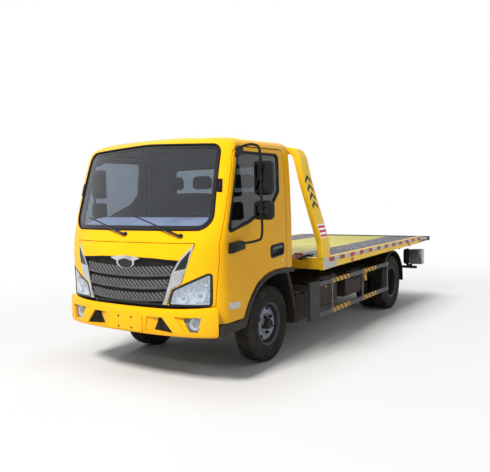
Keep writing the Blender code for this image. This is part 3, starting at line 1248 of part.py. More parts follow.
# ---------------------------------------------------------------- the truck
def main():
    for old in list(bpy.data.objects):
        bpy.data.objects.remove(old, do_unlink=True)

    cab = pivot_at("cab_tilt_pivot", (0, CAB_HINGE_Y, CAB_HINGE_Z))
    flap = pivot_at("front_flap_pivot", (0, FLAP_HINGE_Y, FLAP_HINGE_Z), cab)
    wheel = pivot_at("steering_wheel_pivot", STEERING_HUB, cab)
    make_cab_shell(cab)
    make_cab_glass(cab)
    make_headlamps(cab)
    make_bumper(cab)
    make_arch_trims(cab)
    make_interior(cab)
    make_front_flap(flap)
    make_steering_wheel(wheel)
    for name, side in both_sides():
        make_door(name, side, pivot_at(f"door_{name}_hinge", (side * DOOR_HINGE_X, DOOR_HINGE_Y, 1.0), cab))

    make_chassis()
    make_axles()
    make_engine()
    make_tanks()
    make_side_guards()
    make_mudguards()
    make_tail()
    for name, side in both_sides():
        kingpin = pivot_at(f"kingpin_{name}", (side * KINGPIN_X, FRONT_AXLE_Y, TYRE_RADIUS))
        make_knuckle(f"knuckle_{name}", side, kingpin)
        front = pivot_at(f"front_hub_{name}", (side * TRACK_FRONT / 2, FRONT_AXLE_Y, TYRE_RADIUS), kingpin)
        make_front_wheel(f"front_wheel_{name}", side, front)
        make_tyre(f"front_tyre_{name}", side * TRACK_FRONT / 2, FRONT_AXLE_Y, front)
        rear = pivot_at(f"rear_hub_{name}", (side * REAR_MIDDLE_X, REAR_AXLE_Y, TYRE_RADIUS))
        make_rear_wheel(f"rear_wheels_{name}", side, rear)
        for place, step in (("outer", 1), ("inner", -1)):
            x = side * (REAR_MIDDLE_X + step * TWIN_SPACING / 2)
            make_tyre(f"rear_tyre_{place}_{name}", x, REAR_AXLE_Y, rear)

    tilt = pivot_at("bed_tilt_pivot", (0, TILT_PIVOT_Y, TILT_PIVOT_Z))
    bed = pivot_at("bed_slide", (0, BED_FRONT_Y, DECK_TOP_Z), tilt)
    drum = pivot_at("winch_drum_axle", (0, WINCH_Y, WINCH_Z), bed)
    make_subframe(tilt)
    make_deck(bed)
    make_tail_ramp(bed)
    make_gantry(bed)
    make_winch(bed, drum)
    barrel = pivot_at("tilt_barrel_pin", (0, BARREL_PIVOT_Y, BARREL_PIVOT_Z))
    piston = pivot_at("tilt_rod_eye", (0, ROD_EYE_Y, ROD_EYE_Z), barrel)
    make_cylinders(barrel, piston)


main()
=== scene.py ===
"""Looks of the tilt and slide flatbed truck: finishes, panels, glass, wheels, bed and small fittings.

Every piece is built in metres in the truck's own frame: the front faces -Y, +X is the driver's side
and the ground is at z = 0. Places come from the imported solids' boxes.
"""

import math
import random

import bmesh
import bpy
from bpy.props import FloatProperty, FloatVectorProperty, PointerProperty
from bpy.types import Operator, Panel, PropertyGroup
from mathutils import Matrix, Vector, noise


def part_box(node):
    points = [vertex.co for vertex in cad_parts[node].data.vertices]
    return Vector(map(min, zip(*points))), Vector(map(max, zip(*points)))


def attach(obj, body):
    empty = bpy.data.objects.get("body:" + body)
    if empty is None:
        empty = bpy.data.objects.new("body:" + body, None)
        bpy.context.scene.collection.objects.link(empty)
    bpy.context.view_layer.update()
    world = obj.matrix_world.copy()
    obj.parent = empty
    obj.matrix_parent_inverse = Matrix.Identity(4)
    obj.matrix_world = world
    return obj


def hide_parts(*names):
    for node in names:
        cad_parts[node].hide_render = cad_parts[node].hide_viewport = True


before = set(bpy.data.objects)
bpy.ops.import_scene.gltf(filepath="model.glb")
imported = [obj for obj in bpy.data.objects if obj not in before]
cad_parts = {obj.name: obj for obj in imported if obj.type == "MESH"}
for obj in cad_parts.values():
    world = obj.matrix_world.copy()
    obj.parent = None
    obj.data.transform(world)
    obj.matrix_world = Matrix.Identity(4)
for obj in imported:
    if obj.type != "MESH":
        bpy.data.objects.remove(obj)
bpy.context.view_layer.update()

bl_info = {
    "name": "Flatbed truck looks",
    "version": (1, 0, 0),
    "blender": (4, 5, 0),
    "location": "3D View > Sidebar > Truck",
    "description": "Builds the visible pieces of a flatbed recovery truck on its packed frame",
    "category": "Object",
}


# ---------------------------------------------------------------- places read from the frame
def low(node):
    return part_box(node)[0]


def high(node):
    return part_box(node)[1]


FRONT_Y = low("front_bumper").y
REAR_Y = high("tail_ramp").y
CAB_X = high("cab_shell").x
CAB_REAR_Y = high("cab_shell").y
BEHIND_CAB_Y = CAB_REAR_Y - 0.037
ROOF_Z = high("cab_shell").z
BED_X = high("deck").x
BED_FRONT_Y = low("deck").y
BED_REAR_Y = high("deck").y
DECK_TOP_Z = high("deck").z
BED_BOTTOM_Z = low("deck").z
TYRE_RADIUS = high("front_tyre_left").z / 2
FRONT_AXLE_Y = (low("front_tyre_left").y + high("front_tyre_left").y) / 2
REAR_AXLE_Y = (low("rear_tyre_outer_left").y + high("rear_tyre_outer_left").y) / 2
TYRE_WIDTH = high("front_tyre_left").x - low("front_tyre_left").x
FRAME_TOP_Z = high("chassis_frame").z
FRAME_FRONT_Y = low("chassis_frame").y
SIDES = (("left", 1), ("right", -1))


# ---------------------------------------------------------------- shapes
class Shape:
    """Points and faces; shapes add up, and a piece is made of their sum."""

    def __init__(self, points=(), faces=()):
        self.points = [Vector(p) for p in points]
        self.faces = [tuple(f) for f in faces]

    def __add__(self, other):
        start = len(self.points)
        faces = self.faces + [tuple(i + start for i in face) for face in other.faces]
        return Shape(self.points + other.points, faces)

    def changed(self, matrix):
        flip = matrix.determinant() < 0
        faces = [face[::-1] for face in self.faces] if flip else self.faces
        return Shape([matrix @ p for p in self.points], faces)

    def moved(self, x=0.0, y=0.0, z=0.0):
        return self.changed(Matrix.Translation((x, y, z)))

    def mirrored(self):
        return self.changed(Matrix.Diagonal((-1, 1, 1, 1)))

    def on_side(self, side):
        return self if side > 0 else self.mirrored()

    def mesh(self, name):
        made = bpy.data.meshes.new(name)
        made.from_pydata([tuple(p) for p in self.points], [], self.faces)
        work = bmesh.new()
        work.from_mesh(made)
        bmesh.ops.recalc_face_normals(work, faces=work.faces)
        work.to_mesh(made)
        work.free()
        return made


def total(shapes):
    """The sum of several shapes."""
    result = Shape()
    for shape in shapes:
        result += shape
    return result


def loft(rings, around=True, caps=True, loop=False):
    """A skin through rings of equally many points."""
    count = len(rings[0])
    points = [p for ring in rings for p in ring]
    faces = []
    levels = len(rings) if loop else len(rings) - 1
    for level in range(levels):
        first, second = level * count, (level + 1) % len(rings) * count
        for i in range(count if around else count - 1):
            j = (i + 1) % count
            faces.append((first + i, first + j, second + j, second + i))
    if caps and around and not loop:
        faces.append(tuple(range(count))[::-1])
        faces.append(tuple(len(points) - count + i for i in range(count)))
    return Shape(points, faces)


def prism(axis, outline, start, end):
    """The outline pushed along an axis: (y, z) points along X, (x, z) along Y, (x, y) along Z."""
    order = {"X": lambda a, b, d: (d, a, b), "Y": lambda a, b, d: (a, d, b), "Z": lambda a, b, d: (a, b, d)}
    place = order[axis]
    return loft([[place(a, b, depth) for a, b in outline] for depth in (start, end)])


def corners(across, up):
    """The four corners between two values on each of two axes."""
    return [(across[0], up[0]), (across[1], up[0]), (across[1], up[1]), (across[0], up[1])]


def slab(x, y, z):
    """A box between two values on each axis."""
    return prism("Z", corners(x, y), *z)


def sided(side, inner, outer):
    """The lower and the higher x of a span that is given for the driver's side."""
    return sorted((side * inner, side * outer))


def crossing(x, y, z, size_x, size_y, size_z):
    """A box round its middle."""
    return slab(
        (x - size_x / 2, x + size_x / 2), (y - size_y / 2, y + size_y / 2), (z - size_z / 2, z + size_z / 2),
    )


def turned(profile, centre=(0, 0, 0), sides=48, closed=True):
    """A profile of (x, radius) points turned round an axis along X."""
    rings = []
    for i in range(sides):
        angle = 2 * math.pi * i / sides
        c, s = math.cos(angle), math.sin(angle)
        rings.append([(centre[0] + x, centre[1] + r * c, centre[2] + r * s) for x, r in profile])
    return loft(rings, around=closed, caps=False, loop=True)


def tube(route, radius, sides=12, caps=True):
    """A round bar along a route; radius may be a list with one value for each point."""
    route = [Vector(p) for p in route]
    radii = radius if isinstance(radius, (list, tuple)) else [radius] * len(route)
    side = None
    rings = []
    for i, point in enumerate(route):
        along = (route[min(i + 1, len(route) - 1)] - route[max(i - 1, 0)]).normalized()
        side = along.orthogonal() if side is None else side - along * side.dot(along)
        side.normalize()
        over = along.cross(side)
        ring = []
        for k in range(sides):
            angle = 2 * math.pi * k / sides
            ring.append(point + (side * math.cos(angle) + over * math.sin(angle)) * radii[i])
        rings.append(ring)
    return loft(rings, caps=caps)


def rod(start, end, radius, sides=16):
    return tube([start, end], radius, sides)


def bolt(place, axis, radius=0.008, height=0.006):
    """A six-sided head with a low dome, on a face whose normal is axis."""
    axis = Vector(axis).normalized()
    place = Vector(place)
    route = [place - axis * 0.002, place + axis * height * 0.8, place + axis * height]
    return tube(route, [radius, radius, radius * 0.8], 6)


def curve_through(points, steps=6):
    """A smooth curve through points, as more points."""
    points = [Vector(p) for p in points]
    result = []
    for i in range(len(points) - 1):
        p0, p1 = points[max(i - 1, 0)], points[i]
        p2, p3 = points[i + 1], points[min(i + 2, len(points) - 1)]
        for k in range(steps):
            t = k / steps
            result.append(0.5 * (
                2 * p1 + (p2 - p0) * t
                + (2 * p0 - 5 * p1 + 4 * p2 - p3) * t * t
                + (3 * p1 - p0 - 3 * p2 + p3) * t * t * t
            ))
    result.append(points[-1])
    return result


def arc(centre, radius, start, end, steps):
    """Points on an arc, with its angles in degrees."""
    turns = [math.radians(start + (end - start) * i / steps) for i in range(steps + 1)]
    return [(centre[0] + radius * math.cos(a), centre[1] + radius * math.sin(a)) for a in turns]


def rounded(corners, radius, steps=5):
    """An outline with its corners rounded; radius may be a list with one value for each corner."""
    radii = radius if isinstance(radius, (list, tuple)) else [radius] * len(corners)
    result = []
    for i, corner in enumerate(corners):
        here = Vector(corner)
        if radii[i] <= 0:
            result.append(tuple(here))
            continue
        to_last = (Vector(corners[i - 1]) - here).normalized()
        to_next = (Vector(corners[(i + 1) % len(corners)]) - here).normalized()
        half = to_last.angle(to_next) / 2
        reach = radii[i] / math.tan(half)
        middle = here + (to_last + to_next).normalized() * radii[i] / math.sin(half)
        first, last = here + to_last * reach - middle, here + to_next * reach - middle
        turn = math.atan2(first.x * last.y - first.y * last.x, first.dot(last))
        for step in range(steps + 1):
            angle = turn * step / steps
            c, s = math.cos(angle), math.sin(angle)
            result.append((middle.x + first.x * c - first.y * s, middle.y + first.x * s + first.y * c))
    return result


def grown(outline, by):
    """The outline moved out by a distance, or in where it is negative."""
    area = sum(a[0] * b[1] - b[0] * a[1] for a, b in zip(outline, outline[1:] + outline[:1]))
    turn = 1 if area > 0 else -1
    result = []
    for i, corner in enumerate(outline):
        here = Vector(corner)
        into = (here - Vector(outline[i - 1])).normalized()
        onward = (Vector(outline[(i + 1) % len(outline)]) - here).normalized()
        normal_in = Vector((into.y, -into.x)) * turn
        normal_on = Vector((onward.y, -onward.x)) * turn
        middle = (normal_in + normal_on).normalized()
        result.append(tuple(here + middle * by / max(middle.dot(normal_in), 0.4)))
    return result


def flipped(outline):
    """The same (x, z) or (x, y) outline on the other side."""
    return [(-a, b) for a, b in outline]


# ---------------------------------------------------------------- pieces
def evaluated(thing):
    """Applies an object's modifiers to its mesh."""
    graph = bpy.context.evaluated_depsgraph_get()
    mesh = bpy.data.meshes.new_from_object(thing.evaluated_get(graph))
    thing.modifiers.clear()
    old, thing.data = thing.data, mesh
    bpy.data.meshes.remove(old)


def boolean(thing, operation, shape):
    """Cuts or keeps with another shape, at once."""
    other = shape if isinstance(shape, bpy.types.Object) else bpy.data.objects.new(
        "cutter", shape.mesh("cutter"),
    )
    if not isinstance(shape, bpy.types.Object):
        bpy.context.scene.collection.objects.link(other)
    modifier = thing.modifiers.new("Boolean", "BOOLEAN")
    modifier.operation = operation
    modifier.object = other
    modifier.solver = "EXACT"
    bpy.context.view_layer.update()
    evaluated(thing)
    mesh = other.data
    bpy.data.objects.remove(other)
    bpy.data.meshes.remove(mesh)


def carved(name, shape, cut=(), keep=()):
    """An object with its Booleans done; cut and keep are shapes or objects."""
    thing = bpy.data.objects.new(name, shape.mesh(name))
    bpy.context.scene.collection.objects.link(thing)
    for other in keep:
        boolean(thing, "INTERSECT", other)
    for other in cut:
        boolean(thing, "DIFFERENCE", other)
    return thing


def piece(name, shape, finish, body, slot, replaces=(), cut=(), keep=(), bevel=0.0, segments=2, sharp=35.0):
    """One visible piece that rides on a body, with its edges rounded after its Booleans."""
    thing = carved(name, shape, cut, keep)
    if bevel:
        modifier = thing.modifiers.new("Bevel", "BEVEL")
        modifier.width = bevel
        modifier.segments = segments
        modifier.limit_method = "ANGLE"
        modifier.angle_limit = math.radians(sharp)
        modifier.harden_normals = False
        bpy.context.view_layer.update()
        evaluated(thing)
    thing.data.name = name
    thing.data.materials.clear()
    thing.data.materials.append(finish)
    thing.data.shade_smooth()
    thing.data.set_sharp_from_angle(angle=math.radians(sharp))
    if bevel:
        modifier = thing.modifiers.new("Normals", "WEIGHTED_NORMAL")
        modifier.keep_sharp = True
    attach(thing, body)
    if replaces:
        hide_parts(*replaces)
    return thing


# ---------------------------------------------------------------- shader sums
SHINE = 0.22  # how strongly a plain surface mirrors its surroundings; 0.5 is new varnish


class Wire:
    """A node's output that takes part in sums: values add Math nodes, vectors add Vector Math nodes."""

    def __init__(self, finish, socket):
        self.finish = finish
        self.socket = socket

    def joined(self, operation, first, second=0.0):
        """One node that joins two values, or a value and a number."""
        ends = [e.socket.type for e in (first, second) if isinstance(e, Wire)]
        kind = "ShaderNodeVectorMath" if "VECTOR" in ends else "ShaderNodeMath"
        if kind == "ShaderNodeVectorMath":
            first, second = [(e,) * 3 if isinstance(e, (int, float)) else e for e in (first, second)]
        return self.finish.add(kind, {"operation": operation}, {0: first, 1: second})

    def __add__(self, other):
        return self.joined("ADD", self, other)

    def __radd__(self, other):
        return self.joined("ADD", other, self)

    def __sub__(self, other):
        return self.joined("SUBTRACT", self, other)

    def __rsub__(self, other):
        return self.joined("SUBTRACT", other, self)

    def __mul__(self, other):
        return self.joined("MULTIPLY", self, other)

    def __rmul__(self, other):
        return self.joined("MULTIPLY", other, self)

    def __truediv__(self, other):
        return self.joined("DIVIDE", self, other)

    def __mod__(self, other):
        return self.joined("FLOORED_MODULO", self, other)

    def __gt__(self, other):
        return self.joined("GREATER_THAN", self, other)

    def __lt__(self, other):
        return self.joined("LESS_THAN", self, other)

    def __abs__(self):
        return self.joined("ABSOLUTE", self)

    def least(self, other):
        return self.joined("MINIMUM", self, other)

    def most(self, other):
        return self.joined("MAXIMUM", self, other)

    def wave(self):
        return self.joined("SINE", self)

    def step(self, start, end, low_value=0.0, high_value=1.0):
        """Goes smoothly from the low value at start to the high one at end."""
        return self.finish.add(
            "ShaderNodeMapRange", {"interpolation_type": "SMOOTHSTEP"},
            {"Value": self, "From Min": start, "From Max": end, "To Min": low_value, "To Max": high_value},
        )

    def parts(self):
        """The x, y and z of a vector."""
        return [self.finish.add("ShaderNodeSeparateXYZ", {}, {0: self}, i) for i in range(3)]


class Finish:
    """A material and the nodes that make it."""

    def __init__(self, name, owners="materials"):
        self.material = getattr(bpy.data, owners).new(name)
        self.material.use_nodes = True
        self.tree = self.material.node_tree
        self.tree.nodes.clear()
        self.place = self.add("ShaderNodeTexCoord", {}, {}, "Object")

    def add(self, kind, settings, sockets, output=0):
        """Adds a node: its settings first, then its sockets' values and links."""
        node = self.tree.nodes.new(kind)
        for name, value in settings.items():
            if name == "stops":
                while len(node.color_ramp.elements) < len(value):
                    node.color_ramp.elements.new(1.0)
                for element, (position, colour) in zip(node.color_ramp.elements, value):
                    element.position = position
                    element.color = (*colour, 1.0)
            else:
                setattr(node, name, value)
        for name, value in sockets.items():
            socket = node.inputs[name]
            if isinstance(value, Wire):
                self.tree.links.new(value.socket, socket)
            elif socket.type == "RGBA":
                socket.default_value = (*value[:3], 1.0)
            else:
                socket.default_value = value
        return None if output is None else Wire(self, node.outputs[output])

    def noise(self, scale, detail=3.0, roughness=0.5, stretch=(1, 1, 1), distortion=0.0):
        """Noise from 0 to 1; stretch makes it finer along an axis."""
        place = self.place if stretch == (1, 1, 1) else self.place * stretch
        sockets = {"Vector": place, "Scale": scale, "Detail": detail, "Roughness": roughness}
        return self.add("ShaderNodeTexNoise", {}, {**sockets, "Distortion": distortion})

    def cells(self, scale, feature="F1", stretch=(1, 1, 1)):
        """Distance to the nearest cell's middle or edge."""
        place = self.place if stretch == (1, 1, 1) else self.place * stretch
        return self.add("ShaderNodeTexVoronoi", {"feature": feature}, {"Vector": place, "Scale": scale})

    def mixed(self, amount, first, second):
        """From the first colour to the second."""
        settings = {"data_type": "RGBA", "clamp_factor": True}
        return self.add("ShaderNodeMix", settings, {0: amount, 6: first, 7: second}, 2)

    def bumps(self, height, depth, strength=1.0, under=None):
        """Normals from a height between 0 and 1 and its depth in metres."""
        sockets = {"Strength": strength, "Distance": depth, "Height": height}
        if under:
            sockets["Normal"] = under
        return self.add("ShaderNodeBump", {}, sockets)

    def done(self, colour, roughness, metallic=0.0, normal=None, **others):
        """The surface shader; others are its sockets by name, with _ for a space."""
        sockets = {
            "Base Color": colour, "Roughness": roughness, "Metallic": metallic, "Specular IOR Level": SHINE,
        }
        if normal:
            sockets["Normal"] = normal
        for name, value in others.items():
            sockets[name.replace("_", " ")] = value
        surface = self.add("ShaderNodeBsdfPrincipled", {}, sockets)
        return self.output(surface)

    def seen(self):
        """Above 0 on the rays that show the background: straight, mirrored or through glass."""
        names = ("Is Camera Ray", "Is Glossy Ray", "Is Transmission Ray")
        straight, mirrored, through = (self.add("ShaderNodeLightPath", {}, {}, name) for name in names)
        return straight + mirrored + through

    def output(self, surface):
        self.add("ShaderNodeOutputMaterial", {}, {"Surface": surface}, None)
        return self.material


def tone(red, green, blue):
    """A linear colour from display values between 0 and 255."""
    return tuple(
        ((v / 255 + 0.055) / 1.055) ** 2.4 if v > 10 else v / 255 / 12.92
        for v in (red, green, blue)
    )


# ---------------------------------------------------------------- finishes
def look():
    return bpy.context.scene.truck_look


def dusted(f, colour, dust, top, amount):
    """Road dust that thins out from the ground up to a height."""
    height = f.place.parts()[2]
    patches = f.noise(3.1, 6.0, 0.62)
    grains = f.noise(38.0, 3.0, 0.6)
    cover = height.step(top, 0.15) * amount * (patches * 0.9 + grains * 0.5)
    return f.mixed(cover, colour, dust), cover


def cab_paint():
    """Orange gloss paint, dusty towards the ground."""
    f = Finish("cab_paint")
    base = tuple(look().paint)
    wide = f.noise(1.7, 4.0, 0.55)
    base_mix = f.mixed(wide.step(0.35, 0.75), base, tuple(c * k for c, k in zip(base, (0.96, 0.91, 0.8))))
    streaks = f.noise(5.0, 5.0, 0.6, (4.0, 4.0, 0.7)).step(0.6, 0.85) * 0.10
    streaked = f.mixed(streaks, base_mix, tone(150, 104, 20))
    colour, cover = dusted(f, streaked, tone(146, 118, 60), look().dust_height, 0.3)
    chips = f.noise(95.0, 2.0, 0.5).step(0.74, 0.78) * f.noise(4.0, 2.0).step(0.5, 0.7)
    colour = f.mixed(chips * 0.7, colour, tone(70, 52, 30))
    peel = f.noise(170.0, 2.0, 0.4)
    dents = f.noise(2.6, 2.0, 0.4)
    normal = f.bumps(dents, 0.004, 0.35, f.bumps(peel, 0.0004, 0.35))
    roughness = 0.3 + cover * 0.5 + streaks * 0.6
    return f.done(
        colour, roughness, 0.0, normal, Specular_IOR_Level=0.13, Coat_Weight=0.12 - cover * 0.12,
        Coat_Roughness=0.08,
    )


def bed_paint():
    """The bed's paint, scuffed where it is walked on."""
    f = Finish("bed_paint")
    base = tuple(look().paint)
    worn = tuple(c * k for c, k in zip(base, (0.86, 0.80, 0.9)))
    colour = f.mixed(f.noise(2.2, 5.0, 0.6).step(0.35, 0.7), base, worn)
    grime = f.noise(9.0, 6.0, 0.7).step(0.48, 0.78) * 0.38
    colour = f.mixed(grime, colour, tone(112, 84, 30))
    scuffs = f.noise(26.0, 4.0, 0.7, (1.0, 0.14, 1.0)).step(0.66, 0.74)
    colour = f.mixed(scuffs * 0.5, colour, tone(96, 78, 48))
    rust = f.noise(34.0, 5.0, 0.75).step(0.70, 0.76) * f.noise(2.7, 3.0).step(0.45, 0.6)
    colour = f.mixed(rust * 0.85, colour, tone(104, 58, 26))
    colour, cover = dusted(f, colour, tone(128, 108, 76), look().dust_height + 0.25, 0.5)
    normal = f.bumps(f.noise(120.0, 2.0) + rust * 1.5, 0.0006, 0.5)
    roughness = 0.36 + grime * 0.5 + rust * 0.3 + cover * 0.4
    return f.done(
        colour, roughness, 0.0, normal, Specular_IOR_Level=0.13, Coat_Weight=0.08, Coat_Roughness=0.2,
    )


# Plain finishes. Columns: noise of the patches, where they start and end, first and second display
# colour, roughness, metallic, grain (noise if it has two values, else cells), its depth and strength, glow.
PLAIN = {
    "rubber_seal": (
        (12.0, 4.0), (0.3, 0.7), (17, 17, 17), (34, 33, 31), 0.72, 0.0, (260.0, 3.0), 0.0004, 0.6, 0.0,
    ),
    "slat_grey": ((6.0, 4.0), (0.3, 0.8), (86, 88, 91), (66, 67, 70), 0.42, 0.0, (620.0,), 0.0003, 0.4, 0.0),
    "cabin_grey": (
        (3.0, 4.0), (0.3, 0.8), (126, 124, 120), (102, 100, 96), 0.6, 0.0, (420.0,), 0.0004, 0.6, 0.0,
    ),
    # Painted light: the dash top is far paler than the cabin's other greys, to make up for the dim light
    # inside the cab.
    "dash_top_painted_light": (
        (3.0, 4.0), (0.3, 0.8), (206, 208, 214), (176, 178, 184), 0.6, 0.0, (420.0,), 0.0004, 0.6, 0.0,
    ),
    "cabin_dark": ((3.0, 4.0), (0.3, 0.8), (58, 57, 56), (40, 39, 38), 0.58, 0.0, (420.0,), 0.0004, 0.6, 0.0),
    "white_tape": (
        (
            16.0, 5.0, 0.7,
        ), (0.4, 0.75), (222, 220, 212), (168, 158, 136), 0.32, 0.0, (330.0,), 0.0003, 0.5, 0.0,
    ),
    "red_tape": (
        (16.0, 5.0, 0.7), (0.4, 0.75), (196, 30, 22), (128, 30, 22), 0.32, 0.0, (330.0,), 0.0003, 0.5, 0.0,
    ),
    # The two label finishes glow a little: painted light that lifts the labels out of the shade on the leg's
    # side.
    "label_white_painted_glow": (
        (
            16.0, 5.0, 0.7,
        ), (0.45, 0.8), (244, 238, 240), (214, 204, 204), 0.3, 0.0, (330.0,), 0.0003, 0.5, 0.32,
    ),
    "label_red_painted_glow": (
        (16.0, 5.0, 0.7), (0.4, 0.75), (206, 30, 74), (160, 34, 58), 0.3, 0.0, (330.0,), 0.0003, 0.5, 0.2,
    ),
    "guard_pale": (
        (16.0, 5.0, 0.7), (0.4, 0.75), (142, 142, 146), (104, 98, 90), 0.45, 0.2, (140.0, 3.0), 0.0004, 0.5,
        0.0,
    ),
    "dusty_edge": (
        (20.0, 6.0, 0.7), (0.35, 0.7), (96, 86, 74), (58, 54, 50), 0.8, 0.0, (60.0, 5.0), 0.0015, 0.7, 0.0,
    ),
    "strap_cloth": (
        (18.0, 5.0, 0.7), (0.4, 0.7), (176, 96, 92), (196, 176, 170), 0.85, 0.0, (300.0, 2.0), 0.0006, 0.6,
        0.0,
    ),
    "hub_dark": (
        (22.0, 6.0, 0.7), (0.35, 0.7), (40, 40, 42), (70, 66, 62), 0.62, 0.4, (80.0, 5.0, 0.7), 0.0012, 0.7,
        0.0,
    ),
}


def plain(name):
    """A finish of two colours in soft patches over a fine grain."""
    patches, edges, first, second, roughness, metallic, grain, depth, strength, glow = PLAIN[name]
    f = Finish(name)
    colour = f.mixed(f.noise(*patches).step(*edges), tone(*first), tone(*second))
    fine = f.noise(*grain) if len(grain) > 1 else f.cells(*grain)
    others = {"Emission_Color": colour, "Emission_Strength": glow} if glow else {}
    return f.done(colour, roughness, metallic, f.bumps(fine, depth, strength), **others)


def underside(name, colour, dust_amount=0.75, rough=0.5, rust=0.3):
    """Painted steel under the truck, with dust, road dirt and rust at its chips."""
    f = Finish(name)
    shade = f.noise(5.0, 5.0, 0.6)
    mix = f.mixed(shade.step(0.3, 0.75), colour, tuple(c * 1.7 + 0.004 for c in colour))
    spots = f.noise(30.0, 6.0, 0.75).step(0.62, 0.72) * f.noise(3.3, 3.0).step(0.42, 0.62)
    mix = f.mixed(spots * rust, mix, tone(112, 62, 30))
    mix, cover = dusted(f, mix, tone(104, 94, 80), 1.15, dust_amount * 0.8)
    caked = f.noise(14.0, 5.0, 0.7).step(0.5, 0.72)
    mix = f.mixed(caked * 0.18, mix, tone(100, 90, 76))
    normal = f.bumps(f.noise(60.0, 4.0, 0.6) + spots + caked * 0.5, 0.0012, 0.6)
    return f.done(mix, rough + cover * 0.3 + spots * 0.2, 0.0, normal)


def chassis_black():
    return underside("chassis_black", tone(24, 24, 26))


def axle_grey():
    return underside("axle_grey", tone(74, 72, 70), 0.9, 0.6, 0.6)


def guard_grey():
    return underside("guard_grey", tone(36, 37, 39), 0.18, 0.5, 0.3)


def winch_grey():
    """Grey paint of the winch."""
    f = Finish("winch_grey")
    colour = f.mixed(f.noise(7.0, 5.0, 0.6).step(0.3, 0.7), tone(122, 118, 104), tone(86, 80, 66))
    rust = f.noise(24.0, 6.0, 0.75).step(0.56, 0.7)
    colour = f.mixed(rust * 0.55, colour, tone(112, 64, 32))
    return f.done(colour, 0.42 + rust * 0.4, 0.35, f.bumps(f.noise(70.0, 4.0) + rust, 0.0010, 0.5))


def moulded_black():
    f = Finish("moulded_black")
    colour = f.mixed(f.noise(4.0, 4.0).step(0.3, 0.8), tone(16, 16, 17), tone(32, 32, 33))
    colour, cover = dusted(f, colour, tone(110, 100, 84), 1.1, 0.32)
    grain = f.cells(620.0, "F1")
    return f.done(colour, 0.52 + cover * 0.3, 0.0, f.bumps(grain, 0.0003, 0.5))


def gloss_black():
    f = Finish("gloss_black")
    colour = f.mixed(f.noise(6.0, 4.0).step(0.3, 0.8), tone(13, 13, 14), tone(24, 24, 25))
    smears = f.noise(11.0, 5.0, 0.7).step(0.5, 0.8)
    return f.done(
        colour, 0.10 + smears * 0.22, 0.0, f.bumps(f.noise(90.0, 2.0), 0.0002, 0.3), Coat_Weight=0.5,
    )


def grille_mesh():
    """A dark slatted mould with rows of slanted raised teeth; painted highlight makes the teeth pale and
    painted shade makes the grooves dark.
    """
    f = Finish("grille_mesh")
    x, _, z = f.place.parts()
    slant = abs(((x + z * 1.3) / 0.047) % 1.0 - 0.5)
    teeth = slant.step(0.18, 0.30)
    ripple = abs(((x - z * 1.6) / 0.047) % 1.0 - 0.5).step(0.30, 0.42)
    rise = teeth.most(ripple * 0.5)
    colour = f.mixed(rise, tone(30, 30, 33), tone(100, 99, 104))
    dust = f.noise(7.0, 5.0, 0.7).step(0.45, 0.75) * rise
    colour = f.mixed(dust * 0.25, colour, tone(140, 130, 108))
    return f.done(colour, 0.62 - rise * 0.28, 0.0, f.bumps(rise, 0.004, 1.0))


def silver_plastic():
    """Silver painted plastic."""
    f = Finish("silver_plastic")
    colour = f.mixed(f.noise(5.0, 4.0).step(0.3, 0.75), tone(196, 199, 202), tone(166, 168, 170))
    dirt = f.noise(15.0, 5.0, 0.7).step(0.52, 0.78)
    colour = f.mixed(dirt * 0.3, colour, tone(120, 110, 88))
    flakes = f.cells(900.0)
    return f.done(colour, 0.27 + dirt * 0.25, 0.55, f.bumps(flakes, 0.0002, 0.25), Coat_Weight=0.4)


def lamp_silver_painted_glow():
    """A bright moulded reflector with small facets and a painted glow, though the lamp is not lit."""
    f = Finish("lamp_silver_painted_glow")
    facets = f.cells(78.0, "F1")
    colour = f.mixed(facets.step(0.15, 0.6), tone(246, 247, 249), tone(190, 197, 206))
    return f.done(
        colour, 0.3, 0.1, f.bumps(facets, 0.004, 0.9), Emission_Color=colour, Emission_Strength=0.30,
    )


def chrome():
    f = Finish("chrome")
    colour = f.mixed(f.noise(8.0, 4.0).step(0.4, 0.8), tone(214, 216, 218), tone(168, 168, 166))
    haze = f.noise(20.0, 5.0, 0.7).step(0.5, 0.8)
    return f.done(colour, 0.08 + haze * 0.2, 1.0, f.bumps(f.noise(40.0, 3.0), 0.0002, 0.3))


def from_axle(f, axle_y):
    """How far a place is from a wheel's axle."""
    _, y, z = f.place.parts()
    out, up = y - axle_y, z - TYRE_RADIUS
    return f.add("ShaderNodeMath", {"operation": "SQRT"}, {0: out * out + up * up})


def wheel_steel(name, axle_y, pale, deep):
    """Worn silver paint on a steel wheel: a dark rim with rust at its seam, and a muddy disc."""
    f = Finish(name)
    radius = from_axle(f, axle_y)
    colour = f.mixed(f.noise(9.0, 5.0).step(0.3, 0.7), pale, deep)
    rim = radius.step(0.168, 0.178)
    colour = f.mixed(rim * 0.86, colour, tone(58, 52, 54))
    seam = radius.step(0.181, 0.184) * radius.step(0.191, 0.187)
    rust = f.noise(44.0, 6.0, 0.75).step(0.60, 0.70) * f.noise(7.0, 2.0).step(0.4, 0.6)
    colour = f.mixed(rust.most(seam * 0.75) * 0.7, colour, tone(128, 66, 48))
    mud = f.noise(17.0, 6.0, 0.7).step(0.45, 0.75)
    colour = f.mixed(mud * 0.35, colour, tone(96, 84, 66))
    normal = f.bumps(f.noise(85.0, 4.0) + rust, 0.0008, 0.5)
    return f.done(colour, 0.42 + mud * 0.35, 0.25, normal)


def front_steel():
    return wheel_steel("front_steel", FRONT_AXLE_Y, tone(150, 158, 176), tone(108, 114, 126))


# The rear wheels' silver paint is painted far darker than the front wheels': painted shade under the bed.
def rear_steel_painted_shade():
    return wheel_steel("rear_steel_painted_shade", REAR_AXLE_Y, tone(60, 70, 96), tone(36, 40, 50))


